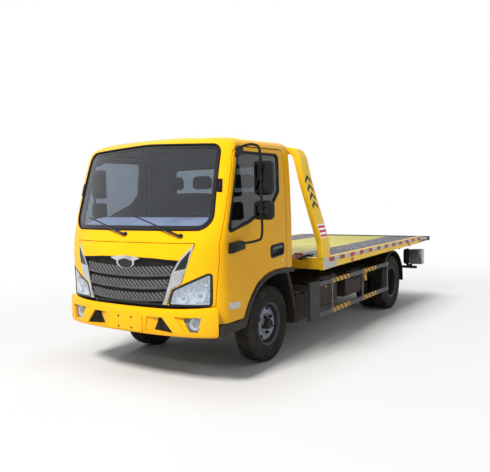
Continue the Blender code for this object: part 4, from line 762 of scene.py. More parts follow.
def tyre_rubber(name, axle_y):
    """Rubber with fine sidewall rings round an axle and dust on its wall."""
    f = Finish(name)
    radius = from_axle(f, axle_y)
    rings = (radius * 620.0).wave() * radius.step(0.268, 0.275) * radius.step(0.352, 0.345)
    dust = f.noise(6.0, 6.0, 0.65).step(0.32, 0.72)
    band = radius.step(0.30, 0.37, 0.35, 0.8)
    colour = f.mixed(dust * band * 0.62, tone(22, 22, 23), tone(90, 84, 74))
    spots = f.noise(70.0, 4.0, 0.7).step(0.6, 0.75)
    colour = f.mixed(spots * 0.25, colour, tone(120, 110, 92))
    height = f.noise(150.0, 3.0) * 0.5 + rings * 0.4
    return f.done(colour, 0.78, 0.0, f.bumps(height, 0.0009, 0.6))


def clear(name, tint, roughness=0.02, ior=1.45):
    """Glass that lets the lamps' light through."""
    f = Finish(name)
    dust = f.noise(9.0, 6.0, 0.7).step(0.45, 0.8)
    colour = f.mixed(dust * 0.14, tint, tone(150, 150, 144))
    sockets = {
        "Base Color": colour, "Roughness": roughness + dust * 0.05, "IOR": ior, "Transmission Weight": 1.0,
    }
    glass = f.add("ShaderNodeBsdfPrincipled", {}, sockets)
    through = f.add("ShaderNodeBsdfTransparent", {}, {"Color": tint})
    lamp_ray = f.add("ShaderNodeLightPath", {}, {}, "Is Shadow Ray")
    return f.output(f.add("ShaderNodeMixShader", {}, {0: lamp_ray, 1: glass, 2: through}))


def window_glass():
    return clear("window_glass", tone(206, 216, 232))


# Painted reflection: the side and rear windows are tinted far darker than the windscreen, to stand for the
# dark surroundings mirrored in them.
def side_glass_painted_dim():
    return clear("side_glass_painted_dim", tone(132, 140, 143))


def lamp_lens():
    return clear("lamp_lens", tone(226, 231, 234), 0.01)


def coloured_lens(name, colour, glow=0.0):
    """A moulded lens with fine prisms."""
    f = Finish(name)
    x, _, z = f.place.parts()
    prisms = (x * 900.0).wave() * (z * 900.0).wave()
    fade = f.noise(14.0, 4.0).step(0.4, 0.8)
    mix = f.mixed(fade * 0.4, colour, tuple(c * 0.5 for c in colour))
    others = {"Coat_Weight": 0.6, "Emission_Color": colour, "Emission_Strength": glow}
    return f.done(mix, 0.16 + fade * 0.15, 0.0, f.bumps(prisms, 0.0006, 0.5), **others)


def amber_lens():
    return coloured_lens("amber_lens", tone(236, 112, 8), 0.05)


def red_lens():
    return coloured_lens("red_lens", tone(186, 16, 14), 0.03)


def white_lens():
    return coloured_lens("white_lens", tone(214, 216, 214))


def seat_cloth():
    """A woven cloth with a fine over and under weave."""
    f = Finish("seat_cloth")
    x, y, z = f.place.parts()
    over = (x * 1500.0).wave() * ((y + z) * 1500.0).wave()
    colour = f.mixed(over.step(-0.6, 0.6), tone(70, 66, 62), tone(104, 99, 92))
    colour = f.mixed(f.noise(6.0, 5.0).step(0.4, 0.75) * 0.5, colour, tone(84, 74, 62))
    return f.done(colour, 0.9, 0.0, f.bumps(over, 0.0006, 0.8), Sheen_Weight=0.25)


def chevron_black():
    """Black print of the chevrons."""
    f = Finish("chevron_black")
    colour = f.mixed(f.noise(16.0, 5.0, 0.7).step(0.4, 0.8), tone(18, 18, 18), tone(52, 44, 28))
    scratches = f.noise(60.0, 4.0, 0.8, (1, 1, 0.2)).step(0.68, 0.74)
    colour = f.mixed(scratches * 0.6, colour, tone(196, 146, 20))
    return f.done(colour, 0.36 + scratches * 0.3, 0.0, f.bumps(f.noise(110.0, 2.0), 0.0004, 0.4))


def slanted(f, pitch, edge):
    _, y, z = f.place.parts()
    return ((y + z) % pitch).step(pitch * 0.5 - edge, pitch * 0.5 + edge)


def guard_yellow():
    """Yellow foil with darker slanted bands."""
    f = Finish("guard_yellow")
    colour = f.mixed(slanted(f, 0.11, 0.004), tone(236, 182, 40), tone(120, 84, 22))
    colour = f.mixed(f.noise(14.0, 5.0, 0.7).step(0.4, 0.75) * 0.6, colour, tone(150, 112, 30))
    return f.done(colour, 0.42, 0.0, f.bumps(f.noise(120.0, 3.0), 0.0004, 0.5))


def guard_hatched():
    """Dark and pale slanted bands, as on a worn warning foil."""
    f = Finish("guard_hatched")
    colour = f.mixed(slanted(f, 0.028, 0.002), tone(22, 22, 23), tone(120, 120, 122))
    colour = f.mixed(f.noise(22.0, 5.0, 0.7).step(0.45, 0.75) * 0.5, colour, tone(90, 84, 74))
    return f.done(colour, 0.5, 0.0, f.bumps(f.noise(120.0, 3.0), 0.0004, 0.5))


def deck_yellow_painted_light():
    """Yellow deck paint, paler than the bed paint as painted light for the sun on the deck's top, and scuffed
    along the way cars roll on.
    """
    f = Finish("deck_yellow_painted_light")
    colour = f.mixed(f.noise(2.2, 5.0, 0.6).step(0.35, 0.7), (0.66, 0.60, 0.055), (0.58, 0.53, 0.09))
    scuffs = f.noise(22.0, 4.0, 0.7, (1.0, 0.12, 1.0)).step(0.56, 0.74)
    colour = f.mixed(scuffs * 0.4, colour, tone(150, 140, 92))
    rust = f.noise(34.0, 5.0, 0.75).step(0.70, 0.76)
    colour = f.mixed(rust * 0.7, colour, tone(104, 62, 30))
    return f.done(colour, 0.5 + scuffs * 0.3, 0.0, f.bumps(f.noise(120.0, 2.0) + rust, 0.0008, 0.5))


def deck_grip():
    """Grey anti-slip plate with rows of raised bars and dark trodden spots."""
    f = Finish("deck_grip")
    x, y, _ = f.place.parts()
    across = abs((x % 0.034) - 0.017).step(0.010, 0.007)
    along = abs((y % 0.075) - 0.0375).step(0.030, 0.026)
    raised = across * along
    colour = f.mixed(raised, tone(72, 72, 80), tone(150, 147, 156))
    trodden = f.noise(15.0, 4.0, 0.7).step(0.49, 0.56)
    colour = f.mixed(trodden * 0.6, colour, tone(58, 62, 74))
    rubbed = f.noise(19.0, 4.0, 0.7).step(0.55, 0.62)
    colour = f.mixed(rubbed * 0.55, colour, tone(186, 182, 192))
    return f.done(colour, 0.55 + trodden * 0.2, 0.15, f.bumps(raised + rubbed * 0.2, 0.003, 1.0))


def speckled_silver():
    """A retro-reflecting silver foil, scuffed to bare spots."""
    f = Finish("speckled_silver")
    spots = f.cells(75.0).step(0.22, 0.30)
    colour = f.mixed(spots, tone(92, 88, 76), tone(196, 196, 190))
    worn = f.noise(30.0, 5.0, 0.75).step(0.58, 0.66)
    colour = f.mixed(worn * 0.6, colour, tone(190, 142, 30))
    return f.done(colour, 0.36, 0.4, f.bumps(spots, 0.0005, 0.5))


def wire_rope():
    """Twisted strands round a rope that lies along X."""
    f = Finish("wire_rope")
    x, y, z = f.place.parts()
    strands = ((x * 1.3 + y + z) * 900.0).wave()
    colour = f.mixed(strands.step(-0.7, 0.7), tone(66, 60, 52), tone(150, 146, 138))
    colour = f.mixed(f.noise(30.0, 5.0, 0.7).step(0.55, 0.7) * 0.6, colour, tone(116, 66, 34))
    return f.done(colour, 0.4, 0.8, f.bumps(strands, 0.0015, 1.0))


def bright_rod():
    f = Finish("bright_rod")
    lines = f.noise(30.0, 3.0, 0.5, (1.0, 0.02, 1.0))
    colour = f.mixed(lines.step(0.4, 0.7), tone(206, 208, 208), tone(150, 148, 142))
    return f.done(colour, 0.14 + lines * 0.1, 1.0, f.bumps(lines, 0.0002, 0.4))


def hook_orange():
    return underside("hook_orange", tone(176, 128, 20), 0.3, 0.45, 0.5)


def ground():
    """A pale floor that is white to the camera away from the truck, and shadowed under it."""
    f = Finish("ground")
    shade = f.noise(0.8, 3.0).step(0.3, 0.7)
    colour = f.mixed(shade, (0.80, 0.80, 0.79), (0.77, 0.77, 0.76))
    normal = f.bumps(f.noise(40.0, 3.0), 0.001, 0.15)
    lit = f.add("ShaderNodeBsdfPrincipled", {}, {"Base Color": colour, "Roughness": 0.85, "Normal": normal})
    white = f.add("ShaderNodeEmission", {}, {"Color": (1.0, 1.0, 1.0), "Strength": 1.0})
    x, y, _ = f.place.parts()
    over_x, over_y = (abs(x) - 0.95).most(0.0), (abs(y) - 2.7).most(0.0)
    away = f.add("ShaderNodeMath", {"operation": "SQRT"}, {0: over_x * over_x + over_y * over_y})
    seen = f.seen().least(1.0) * (away.step(0.0, 0.9, 0.0, 0.72) + away.step(0.6, 6.0, 0.0, 0.28))
    return f.output(f.add("ShaderNodeMixShader", {}, {0: seen, 1: lit, 2: white}))


FRONT_TYRE = ("front_tyre_rubber", FRONT_AXLE_Y)
REAR_TYRE = ("rear_tyre_rubber", REAR_AXLE_Y)


def finish(make, *details):
    """The finish that a function makes, or a plain one by its name, made once."""
    plainly = isinstance(make, str)
    name = make if plainly else details[0] if details else make.__name__
    return bpy.data.materials.get(name) or (plain(name) if plainly else make(*details))


# ---------------------------------------------------------------- cab form
# height, front behind FRONT_Y, side in from CAB_X, rear wall forward of CAB_REAR_Y, corners' sweep
CAB_SECTIONS = (
    (0.57, 0.0125, 0.0, 0.0, 0.33),
    (0.80, 0.0125, 0.0, 0.0, 0.33),
    (1.15, 0.0310, 0.0, 0.0, 0.27),
    (1.30, 0.0675, 0.0, 0.0, 0.23),
    (1.395, 0.110, 0.0, 0.0, 0.195),
    (1.60, 0.178, 0.004, 0.0, 0.165),
    (2.10, 0.345, 0.027, 0.0, 0.14),
    (2.175, 0.378, 0.043, 0.0, 0.14),
    (2.225, 0.428, 0.092, 0.02, 0.16),
    (2.262, 0.535, 0.175, 0.06, 0.19),
    (2.284, 0.735, 0.300, 0.13, 0.22),
    (ROOF_Z, 0.950, 0.460, 0.24, 0.24),
)
FRONT_CROWN = 0.045
FRONT_POWER = 2.6
REAR_CORNER = 0.05
TURN_STEPS = 22
ROOF_STARTS_Z = 2.10


def smooth_sections():
    """The sections with more heights between them, on curves without overshoot."""
    rows = []
    slopes = []
    count = len(CAB_SECTIONS)
    for i in range(count):
        before, after = CAB_SECTIONS[max(i - 1, 0)], CAB_SECTIONS[min(i + 1, count - 1)]
        here = CAB_SECTIONS[i]
        slope = []
        for k in range(1, 5):
            if i in (0, count - 1):
                slope.append((after[k] - before[k]) / (after[0] - before[0]))
                continue
            first = (here[k] - before[k]) / (here[0] - before[0])
            second = (after[k] - here[k]) / (after[0] - here[0])
            slope.append(0.0 if first * second <= 0 else 2 * first * second / (first + second))
        slopes.append(slope)
    for i in range(count - 1):
        a, b = CAB_SECTIONS[i], CAB_SECTIONS[i + 1]
        rise = b[0] - a[0]
        steps = 8 if rise > 0.3 else 4
        for step in range(steps):
            t = step / steps
            row = [a[0] + rise * t]
            for k in range(1, 5):
                start, end = slopes[i][k - 1] * rise, slopes[i + 1][k - 1] * rise
                row.append(
                    a[k] * (2 * t**3 - 3 * t**2 + 1) + b[k] * (3 * t**2 - 2 * t**3)
                    + start * (t**3 - 2 * t**2 + t) + end * (t**3 - t**2)
                )
            rows.append(row)
    rows.append(list(CAB_SECTIONS[-1]))
    return rows


SMOOTH_SECTIONS = smooth_sections()


def cab_ring(height, back, narrow, forward, sweep, inset=0.0, steps=TURN_STEPS):
    """Points round the cab at a height: a full front with swept corners and a flat rear."""
    lower = inset * min(max((height - ROOF_STARTS_Z) / (ROOF_Z - ROOF_STARTS_Z), 0), 1)
    front, side, rear = FRONT_Y + back + inset, CAB_X - narrow - inset, CAB_REAR_Y - forward - inset
    half = []
    for i in range(steps + 1):
        turn = math.pi / 2 * i / steps
        across = math.sin(turn) ** (2 / FRONT_POWER)
        swept = sweep * (1 - max(math.cos(turn), 0) ** (2 / FRONT_POWER))
        half.append((side * across, front + FRONT_CROWN * across**2 + swept))
    for x, y in arc((side - REAR_CORNER, rear - REAR_CORNER), REAR_CORNER, 0, 90, 6):
        half.append((x, y))
    ring = half + [(-x, y) for x, y in half[:0:-1]]
    return [(x, y, height - lower) for x, y in ring]


def cab_form(inset=0.0, bottom=None):
    """The cab's outer form moved in by inset all round; bottom runs it on lower."""
    rings = [cab_ring(*row, inset=inset) for row in SMOOTH_SECTIONS]
    if bottom is not None:
        rings.insert(0, [(x, y, bottom) for x, y, _ in rings[0]])
    return loft(rings)


def row_at(z):
    """The cab's section at a height."""
    rows = SMOOTH_SECTIONS
    i = max(min(sum(1 for row in rows if row[0] <= z), len(rows) - 1), 1)
    t = min(max((z - rows[i - 1][0]) / (rows[i][0] - rows[i - 1][0]), 0), 1)
    return [a + (b - a) * t for a, b in zip(rows[i - 1], rows[i])]


def swept_by(across, sweep):
    """How far the front has swept back at a share of the half width."""
    turn = math.asin(min(across, 1) ** (FRONT_POWER / 2))
    return FRONT_CROWN * across**2 + sweep * (1 - max(math.cos(turn), 0) ** (2 / FRONT_POWER))


def front_at(x, z, inset=0.0):
    """The y of the cab's front skin at a place."""
    _, back, narrow, _, sweep = row_at(z)
    return FRONT_Y + back + inset + swept_by(min(abs(x) / (CAB_X - narrow - inset), 1), sweep)


def ahead(y):
    """A y behind the front of the truck."""
    return FRONT_Y + y


FAR = 1.4  # beyond the sides
BEFORE_Y = FRONT_Y - 0.2  # before the front
GLASS_DEPTH = 0.62  # how far back the windscreen's top reaches
FLAP_DEPTH = 0.205


# ---------------------------------------------------------------- cab outlines, from the front of the truck
ARCH_EDGE = [
    (
        0.566, 0.571,
    ), (0.615, 0.650), (0.675, 0.730), (0.76, 0.815), (0.86, 0.884), (1.0, 0.933), (1.149, 0.952),
]
ARCH = [(ahead(y), z) for y, z in ARCH_EDGE] + [(CAB_REAR_Y + 0.1, 0.952)]
ARCH_GAP = 0.011
DOOR_FRONT_Y = ahead(0.215)
DOOR_REAR_Y = CAB_REAR_Y - 0.152
DOOR_TOP_Z = 2.145
SILL_Z = 0.57
SEAM = 0.0105


def smooth_arch(points, steps=5):
    """Arch points with more between them."""
    return [(p.y, p.z) for p in curve_through([(0, y, z) for y, z in points], steps)]


def door_outline(gap=0.0):
    """(y, z) points round a door, moved out by a gap."""
    lower = [(DOOR_FRONT_Y, SILL_Z + 0.006)] + smooth_arch([(ahead(y), z + ARCH_GAP) for y, z in ARCH_EDGE])
    corners = lower + [(DOOR_REAR_Y, 0.952 + ARCH_GAP)]
    top = arc((DOOR_REAR_Y - 0.07, DOOR_TOP_Z - 0.07), 0.07, 0, 90, 8)
    corner = rounded(
        [(ahead(0.66), DOOR_TOP_Z), (ahead(0.56), DOOR_TOP_Z), (ahead(0.50), DOOR_TOP_Z - 0.05)],
        [0, 0.05, 0], 6,
    )
    bend = rounded(
        [(ahead(0.50), DOOR_TOP_Z - 0.05), (ahead(0.26), 1.30), (DOOR_FRONT_Y, 0.9)], [0, 0.25, 0], 6,
    )
    outline = corners + top + corner[1:] + bend[1:-1]
    return grown(outline, gap) if gap else outline


DOOR_WINDOW = rounded(
    [
        (ahead(y), z)
        for y, z in ((0.335, 1.372), (0.70, 1.455), (1.15, 1.62), (1.262, 1.73), (1.285, 2.10), (0.56, 2.10))
    ],
    [0.035, 0.05, 0.05, 0.05, 0.05, 0.045], 6,
)
WINDSHIELD_HALF = [(0.865, 1.402), (0.823, 2.172)]
WINDSHIELD = rounded(
    WINDSHIELD_HALF + [(0, 2.210)] + flipped(WINDSHIELD_HALF[::-1]), [0.14, 0.10, 0.9, 0.10, 0.14], 8,
)
REAR_WINDOW = rounded([(0.60, 1.52), (0.60, 2.02), (-0.60, 2.02), (-0.60, 1.52)], 0.06, 6)
HEADLAMP = rounded(
    [(0.490, 0.744), (0.860, 0.744), (0.868, 1.037), (0.535, 0.882)], [0.020, 0.028, 0.020, 0.024], 6,
)
FLAP_HALF = [(0.725, 1.29), (0.722, 1.262), (0.614, 0.940), (0.520, 0.893), (0.474, 0.744)]
FLAP = FLAP_HALF + flipped(FLAP_HALF[::-1])


def arch_space():
    """The space of the front wheels' arches, across the cab."""
    return prism("X", [(ahead(0.2), 0.2)] + ARCH + [(CAB_REAR_Y + 0.1, 0.2)], -FAR, FAR)


def both_ways(outline):
    """The outline in (x, z) for each side."""
    return (outline, flipped(outline)[::-1])


def build_cab_skin():
    """The cab's painted shell: roof, pillars, corners, rear wall and door frames."""
    paint = finish(cab_paint)
    inner = cab_form(0.026, 0.2)
    cuts = [inner]
    cuts.append(prism("X", door_outline(SEAM), -FAR, FAR))
    cuts.append(arch_space())
    cuts.append(prism("Y", WINDSHIELD, BEFORE_Y, ahead(GLASS_DEPTH)))
    cuts.append(prism("Y", REAR_WINDOW, CAB_REAR_Y - 0.2, CAB_REAR_Y + 0.2))
    cuts.append(prism("Y", grown(FLAP, 0.006), BEFORE_Y, ahead(0.21)))
    for outline in both_ways(HEADLAMP):
        cuts.append(prism("Y", grown(outline, 0.004), BEFORE_Y, ahead(0.30)))
    cuts.append(slab((-FAR, FAR), (BEFORE_Y, ahead(0.205)), (0.4, 0.744)))
    piece("cab_skin", cab_form(), paint, "cab", "body_paint", ["cab_shell"], cuts, sharp=28)


def build_cab_inside():
    """The cab's floor, firewall, wheel houses, lining and headliner."""
    side_line = [
        (ahead(0.255), 0.63), (ahead(0.50), 0.63), (ahead(0.62), 1.0), (CAB_REAR_Y, 1.0),
        (CAB_REAR_Y, ROOF_Z), (FRONT_Y, ROOF_Z), (FRONT_Y, 1.30), (ahead(0.255), 1.30),
    ]
    tunnel = slab((-0.49, 0.49), (FRONT_Y, CAB_REAR_Y + 0.1), (0.4, 1.0))
    room = carved("room", cab_form(0.045), [tunnel], [prism("X", side_line, -FAR, FAR)])
    openings = [
        prism("Y", grown(WINDSHIELD, 0.01), BEFORE_Y, ahead(GLASS_DEPTH)),
        prism("Y", REAR_WINDOW, CAB_REAR_Y - 0.2, CAB_REAR_Y + 0.2),
        slab((-0.46, 0.46), (ahead(0.23), CAB_REAR_Y + 0.1), (0.4, 0.965)),
        slab((-0.46, 0.46), (FRONT_Y, ahead(0.31)), (0.3, 0.84)),
        prism("X", grown(door_outline(SEAM), 0.03), -FAR, -0.86),
        prism("X", grown(door_outline(SEAM), 0.03), 0.86, FAR),
        slab((-FAR, FAR), (BEFORE_Y, ahead(0.19)), (0.2, 1.34)),
        arch_space(),
    ] + [prism("Y", grown(outline, 0.02), BEFORE_Y, ahead(0.42)) for outline in both_ways(HEADLAMP)]
    lining = cab_form(0.0268)
    return piece("cab_lining", lining, finish("cabin_grey"), "cab", "interior_grey", cut=openings + [room])


def pane(name, outline, inset, thickness, depth_y, material, slot, replaces=(), hole=None, body="cab"):
    """A sheet in the cab's front skin with an (x, z) outline, and a hole if it is a ring."""
    cut = [cab_form(inset + thickness, 0.2)]
    if hole:
        cut.append(prism("Y", hole, ahead(-0.3), ahead(depth_y + 0.1)))
    keep = [prism("Y", outline, BEFORE_Y, ahead(depth_y))]
    return piece(name, cab_form(inset), material, body, slot, replaces, cut, keep, sharp=28)


def build_cab_glass():
    """The windscreen and the rear window."""
    pane(
        "windscreen", grown(WINDSHIELD, -0.042), 0.006, 0.006, GLASS_DEPTH, finish(window_glass), "glass",
        ["windshield"],
    )
    band_in = grown(WINDSHIELD, -0.0422)
    pane(
        "windscreen_band", grown(WINDSHIELD, -0.010), 0.005, 0.007, GLASS_DEPTH, finish(gloss_black), "glass",
        hole=band_in,
    )
    seal_in = grown(WINDSHIELD, -0.0102)
    pane(
        "windscreen_seal", grown(WINDSHIELD, 0.003), -0.0025, 0.014, GLASS_DEPTH, finish("rubber_seal"),
        "black_plastic", hole=seal_in,
    )
    back = CAB_REAR_Y - 0.012
    rear = prism("Y", grown(REAR_WINDOW, -0.018), back, back + 0.006)
    piece("rear_pane", rear, finish(side_glass_painted_dim), "cab", "glass", ["rear_window"])
    rubber = prism("Y", grown(REAR_WINDOW, 0.012), CAB_REAR_Y - 0.02, CAB_REAR_Y + 0.006)
    hole = prism("Y", grown(REAR_WINDOW, -0.0178), CAB_REAR_Y - 0.1, CAB_REAR_Y + 0.1)
    piece("rear_pane_seal", rubber, finish("rubber_seal"), "cab", "black_plastic", cut=[hole], bevel=0.002)


# ---------------------------------------------------------------- front flap, grille and lamps
TRIM_INNER = [(0.431, 0.738), (0.455, 0.80), (0.490, 0.905), (0.531, 1.040), (0.594, 1.143)]
GRILLE_HALF = TRIM_INNER[::-1]
GRILLE = [(0.30, 1.160)] + GRILLE_HALF + flipped(GRILLE_HALF[::-1]) + [(-0.30, 1.160), (0.0, 1.166)]
TRIM = [
    (0.431, 0.747), (0.455, 0.80), (0.490, 0.905), (0.531, 1.040), (0.594, 1.143), (0.722, 1.285),
    (0.716, 1.245), (0.690, 1.14), (0.614, 0.940), (0.520, 0.893), (0.474, 0.747),
]
SPIKE = [(0.556, 1.050), (0.610, 1.135), (0.704, 1.242), (0.680, 1.135), (0.660, 1.072)]


def trim_x(z):
    """The inner edge of the side trim at a height."""
    for (x1, z1), (x2, z2) in zip(TRIM_INNER, TRIM_INNER[1:]):
        if z <= z2:
            return x1 + (x2 - x1) * max((z - z1) / (z2 - z1), 0)
    return TRIM_INNER[-1][0]


def front_bar(section, sag, middle, steps=36):
    """A bar across the grille; its section is a ring of (height over the middle, inset)."""
    rings = []
    end = trim_x(middle) - 0.001
    for i in range(steps + 1):
        x = end * (2 * i / steps - 1)
        drop = sag * (1 - (x / end) ** 2)
        ring = []
        for up, inset in section:
            z = middle + up - drop
            ring.append((x, front_at(x, z) + inset, z))
        rings.append(ring)
    return loft(rings)


def flap_pane(name, outline, inset, thickness, make, **others):
    """A moulded sheet of the grille in the flap's skin."""
    pane(
        name, outline, inset, thickness, FLAP_DEPTH, finish(make), "grille_plastic", body="front_flap",
        **others,
    )


def build_front_flap():
    """The painted flap under the windscreen, with its grille, trims and badge."""
    paint = finish(cab_paint)
    upper = [(0.30, 1.1605)] + [(0.594, 1.1435), (0.7225, 1.2855), (0.725, 1.29)]
    upper += flipped(upper[::-1]) + [(0.0, 1.1665)]
    pane("flap_panel", upper, 0.0, 0.02, FLAP_DEPTH, paint, "body_paint", ["front_panel"], body="front_flap")
    frame_in = grown(GRILLE, -0.017)
    flap_pane("grille_frame", GRILLE, 0.004, 0.016, moulded_black, replaces=["grille"], hole=frame_in)
    flap_pane("grille_back", grown(GRILLE, -0.010), 0.0201, 0.0015, "rubber_seal")
    mesh = Shape()
    lips = Shape()
    for middle, height in ((1.048, 0.098), (0.930, 0.088), (0.816, 0.084)):
        top, bottom = height / 2, -height / 2
        face = [
            (top, 0.0195), (top - 0.006, 0.010), (bottom + 0.029, 0.004), (bottom + 0.024, 0.012),
            (top - 0.012, 0.0195),
        ]
        mesh += front_bar(face, 0.022, middle)
        lip = [
            (bottom + 0.0300, -0.001), (bottom + 0.012, -0.003), (bottom + 0.006, 0.001),
            (bottom + 0.010, 0.0195), (bottom + 0.026, 0.0195),
        ]
        lips += front_bar(lip, 0.022, middle)
    piece("grille_mesh_bands", mesh, finish(grille_mesh), "front_flap", "grille_plastic", sharp=40)
    piece("grille_lips", lips, finish("slat_grey"), "front_flap", "grille_plastic", sharp=40)
    for (side_name, _), outline, spike in zip(SIDES, both_ways(TRIM), both_ways(SPIKE)):
        flap_pane(f"side_trim_{side_name}", outline, -0.003, 0.02, silver_plastic, hole=spike)
        flap_pane(f"trim_spike_{side_name}", grown(spike, -0.001), 0.001, 0.012, gloss_black)
    build_badge()


def build_badge():
    """A plain bright oval with a dark field, and its flat wings."""
    ring = []
    for i in range(48):
        angle = 2 * math.pi * i / 48
        ring.append((math.cos(angle), math.sin(angle)))
    middle_y = front_at(0, 1.108)
    bright = []
    for out, depth in ((1.0, 0.012), (1.0, -0.006), (0.90, -0.012), (0.80, -0.006), (0.80, 0.0)):
        bright.append(
            [
                (
                    0.112 * a * out, middle_y + depth + 0.10 * (0.112 * a * out) ** 2 + 0.006,
                    1.108 + 0.058 * b * out,
                )
                for a, b in ring
            ]
        )
    piece("badge_rim", loft(bright, caps=False), finish(chrome), "front_flap", "grille_plastic", sharp=60)
    plate = prism(
        "Y", [(0.0900 * a, 1.108 + 0.0466 * b) for a, b in ring], middle_y + 0.002, middle_y + 0.014,
    )
    piece("badge_field", plate, finish(gloss_black), "front_flap", "grille_plastic", bevel=0.002)
    brow = [(0.100, 1.125), (0.180, 1.150), (0.178, 1.157), (0.10, 1.168), (0.0, 1.176)]
    wing = rounded(brow + flipped(brow[:4][::-1]) + [(0.0, 1.150)], 0.004, 3)
    pane("badge_wings", wing, -0.008, 0.016, 0.19, finish(chrome), "grille_plastic", body="front_flap")


def dish(centre, normal, radius, depth, sides=28, rings=6):
    """A bowl that opens along a normal."""
    normal = Vector(normal).normalized()
    across = normal.cross(Vector((0, 0, 1))).normalized()
    up = across.cross(normal)
    levels = []
    for k in range(rings + 1):
        t = k / rings
        spread = radius * (0.12 + 0.88 * t)
        back = depth * (1 - t * t)
        levels.append(
            [
                Vector(centre) - normal * back + (
                    across * math.cos(2 * math.pi * i / sides) + up * math.sin(2 * math.pi * i / sides)
                ) * spread
                for i in range(sides)
            ]
        )
    outer = [[p - normal * 0.003 for p in level] for level in levels]
    return loft(outer + levels[::-1], caps=True)


def build_headlamps():
    """Both headlamps: housing, reflectors and lens."""
    for side_name, side in SIDES:
        outline = HEADLAMP if side > 0 else flipped(HEADLAMP)[::-1]
        rim_in = grown(outline, -0.012)
        pane(
            f"headlamp_rim_{side_name}", outline, 0.001, 0.02, 0.36, finish(gloss_black), "black_plastic",
            [f"headlamp_{side_name}"], rim_in,
        )
        pane(
            f"headlamp_lens_{side_name}", grown(outline, -0.0122), 0.003, 0.003, 0.36, finish(lamp_lens),
            "lamp_glass",
        )
        pane(
            f"headlamp_bowl_{side_name}", grown(outline, 0.045), 0.052, 0.003, 0.40, finish(lamp_silver_painted_glow),
            "lamp_glass",
        )
        pane(
            f"headlamp_seal_{side_name}", grown(outline, 0.008), -0.0008, 0.0035, 0.36, finish("rubber_seal"),
            "black_plastic", hole=grown(outline, 0.0008),
        )
        wall_in = grown(outline, -0.016)
        pane(
            f"headlamp_wall_{side_name}", grown(outline, -0.0121), 0.0065, 0.045, 0.40, finish(lamp_silver_painted_glow),
            "lamp_glass", hole=wall_in,
        )
        bowls = Shape()
        bulbs = Shape()
        rims = Shape()
        for x, z, radius in ((0.600, 0.812, 0.052), (0.752, 0.838, 0.064), (0.808, 0.948, 0.030)):
            y = front_at(x, z)
            tilt = (front_at(x + 0.05, z) - front_at(x - 0.05, z)) / 0.10
            normal = Vector((side * tilt * 0.6, -1, 0.05)).normalized()
            centre = Vector((side * x, y + 0.030, z))
            bowls += dish(centre, normal, radius, 0.030)
            bulbs += tube(
                [centre - normal * 0.028, centre - normal * 0.010, centre - normal * 0.004],
                [radius * 0.36, radius * 0.36, radius * 0.22], 16,
            )
            hoop = []
            for i in range(28):
                angle = 2 * math.pi * i / 28
                across = normal.cross(Vector((0, 0, 1))).normalized()
                spot = centre + (across * math.cos(angle) + across.cross(normal) * math.sin(angle)) * radius
                hoop.append(spot)
            rims += tube(hoop + hoop[:1], 0.0035, 6)
        piece(f"headlamp_bowls_{side_name}", bowls, finish(lamp_silver_painted_glow), "cab", "lamp_glass", sharp=50)
        piece(f"headlamp_bulbs_{side_name}", bulbs, finish(white_lens), "cab", "lamp_glass")
        piece(f"headlamp_hoops_{side_name}", rims, finish(lamp_silver_painted_glow), "cab", "lamp_glass")
        ribs = Shape()
        for k in range(9):
            x = 0.565 + 0.030 * k
            top = 0.875 + (x - 0.535) * 0.44
            ribs += tube(
                [
                    (side * x, front_at(x, 0.9) + 0.044, 0.905 + (x - 0.565) * 0.30),
                    (side * (x + 0.012), front_at(x, top) + 0.044, top),
                ],
                0.003, 6,
            )
        piece(f"headlamp_ribs_{side_name}", ribs, finish(white_lens), "cab", "lamp_glass")


# ---------------------------------------------------------------- bumper
BUMPER_ROWS = (
    (0.462, 0.030, 0.020), (0.468, 0.014, 0.008), (0.482, 0.006, 0.002), (0.505, 0.001, 0.0),
    (0.60, 0.0, 0.0), (0.655, 0.001, 0.0), (0.685, 0.004, 0.002), (0.703, 0.012, 0.006),
    (0.711, 0.026, 0.014), (0.7125, 0.042, 0.030),
)
BUMPER_SWEEP = 0.21
FOG = rounded([(0.628, 0.627), (0.684, 0.522), (0.764, 0.519), (0.790, 0.636)], 0.008, 4)
FOG_POCKET = [(0.552, 0.645), (0.655, 0.512), (0.775, 0.507), (0.806, 0.648)]
VENT_POCKET = [(0.235, 0.498), (0.255, 0.632), (0.425, 0.632), (0.540, 0.498)]
VENT = [(0.345, 0.520), (0.405, 0.616), (0.425, 0.616), (0.524, 0.510)]


def bumper_form(inset=0.0, rows=BUMPER_ROWS):
    rings = []
    for height, back, narrow in rows:
        ring = cab_ring(height, 0.008 + back, narrow - 0.003, 0.0, BUMPER_SWEEP, inset)
        rings.append(
            [(x, y, z + 0.030 * max(0, (abs(x) - 0.45) / 0.5) ** 1.5 * (z > 0.64)) for x, y, z in ring]
        )
    return loft(rings)


def bumper_y(x, inset=0.0):
    """The y of the bumper's front at a place across it."""
    return ahead(0.008 + inset) + swept_by(min(abs(x) / (CAB_X + 0.003), 1), BUMPER_SWEEP)


def pocket(mouth, floor, depth, side):
    """A tapered pocket in the bumper: its mouth and floor are (x, z) outlines."""
    rings = []
    for outline, inset in ((mouth, -0.03), (mouth, 0.0), (floor, depth), (floor, depth + 0.05)):
        rings.append([(side * x, bumper_y(x) + inset, z) for x, z in outline])
    return loft(rings)


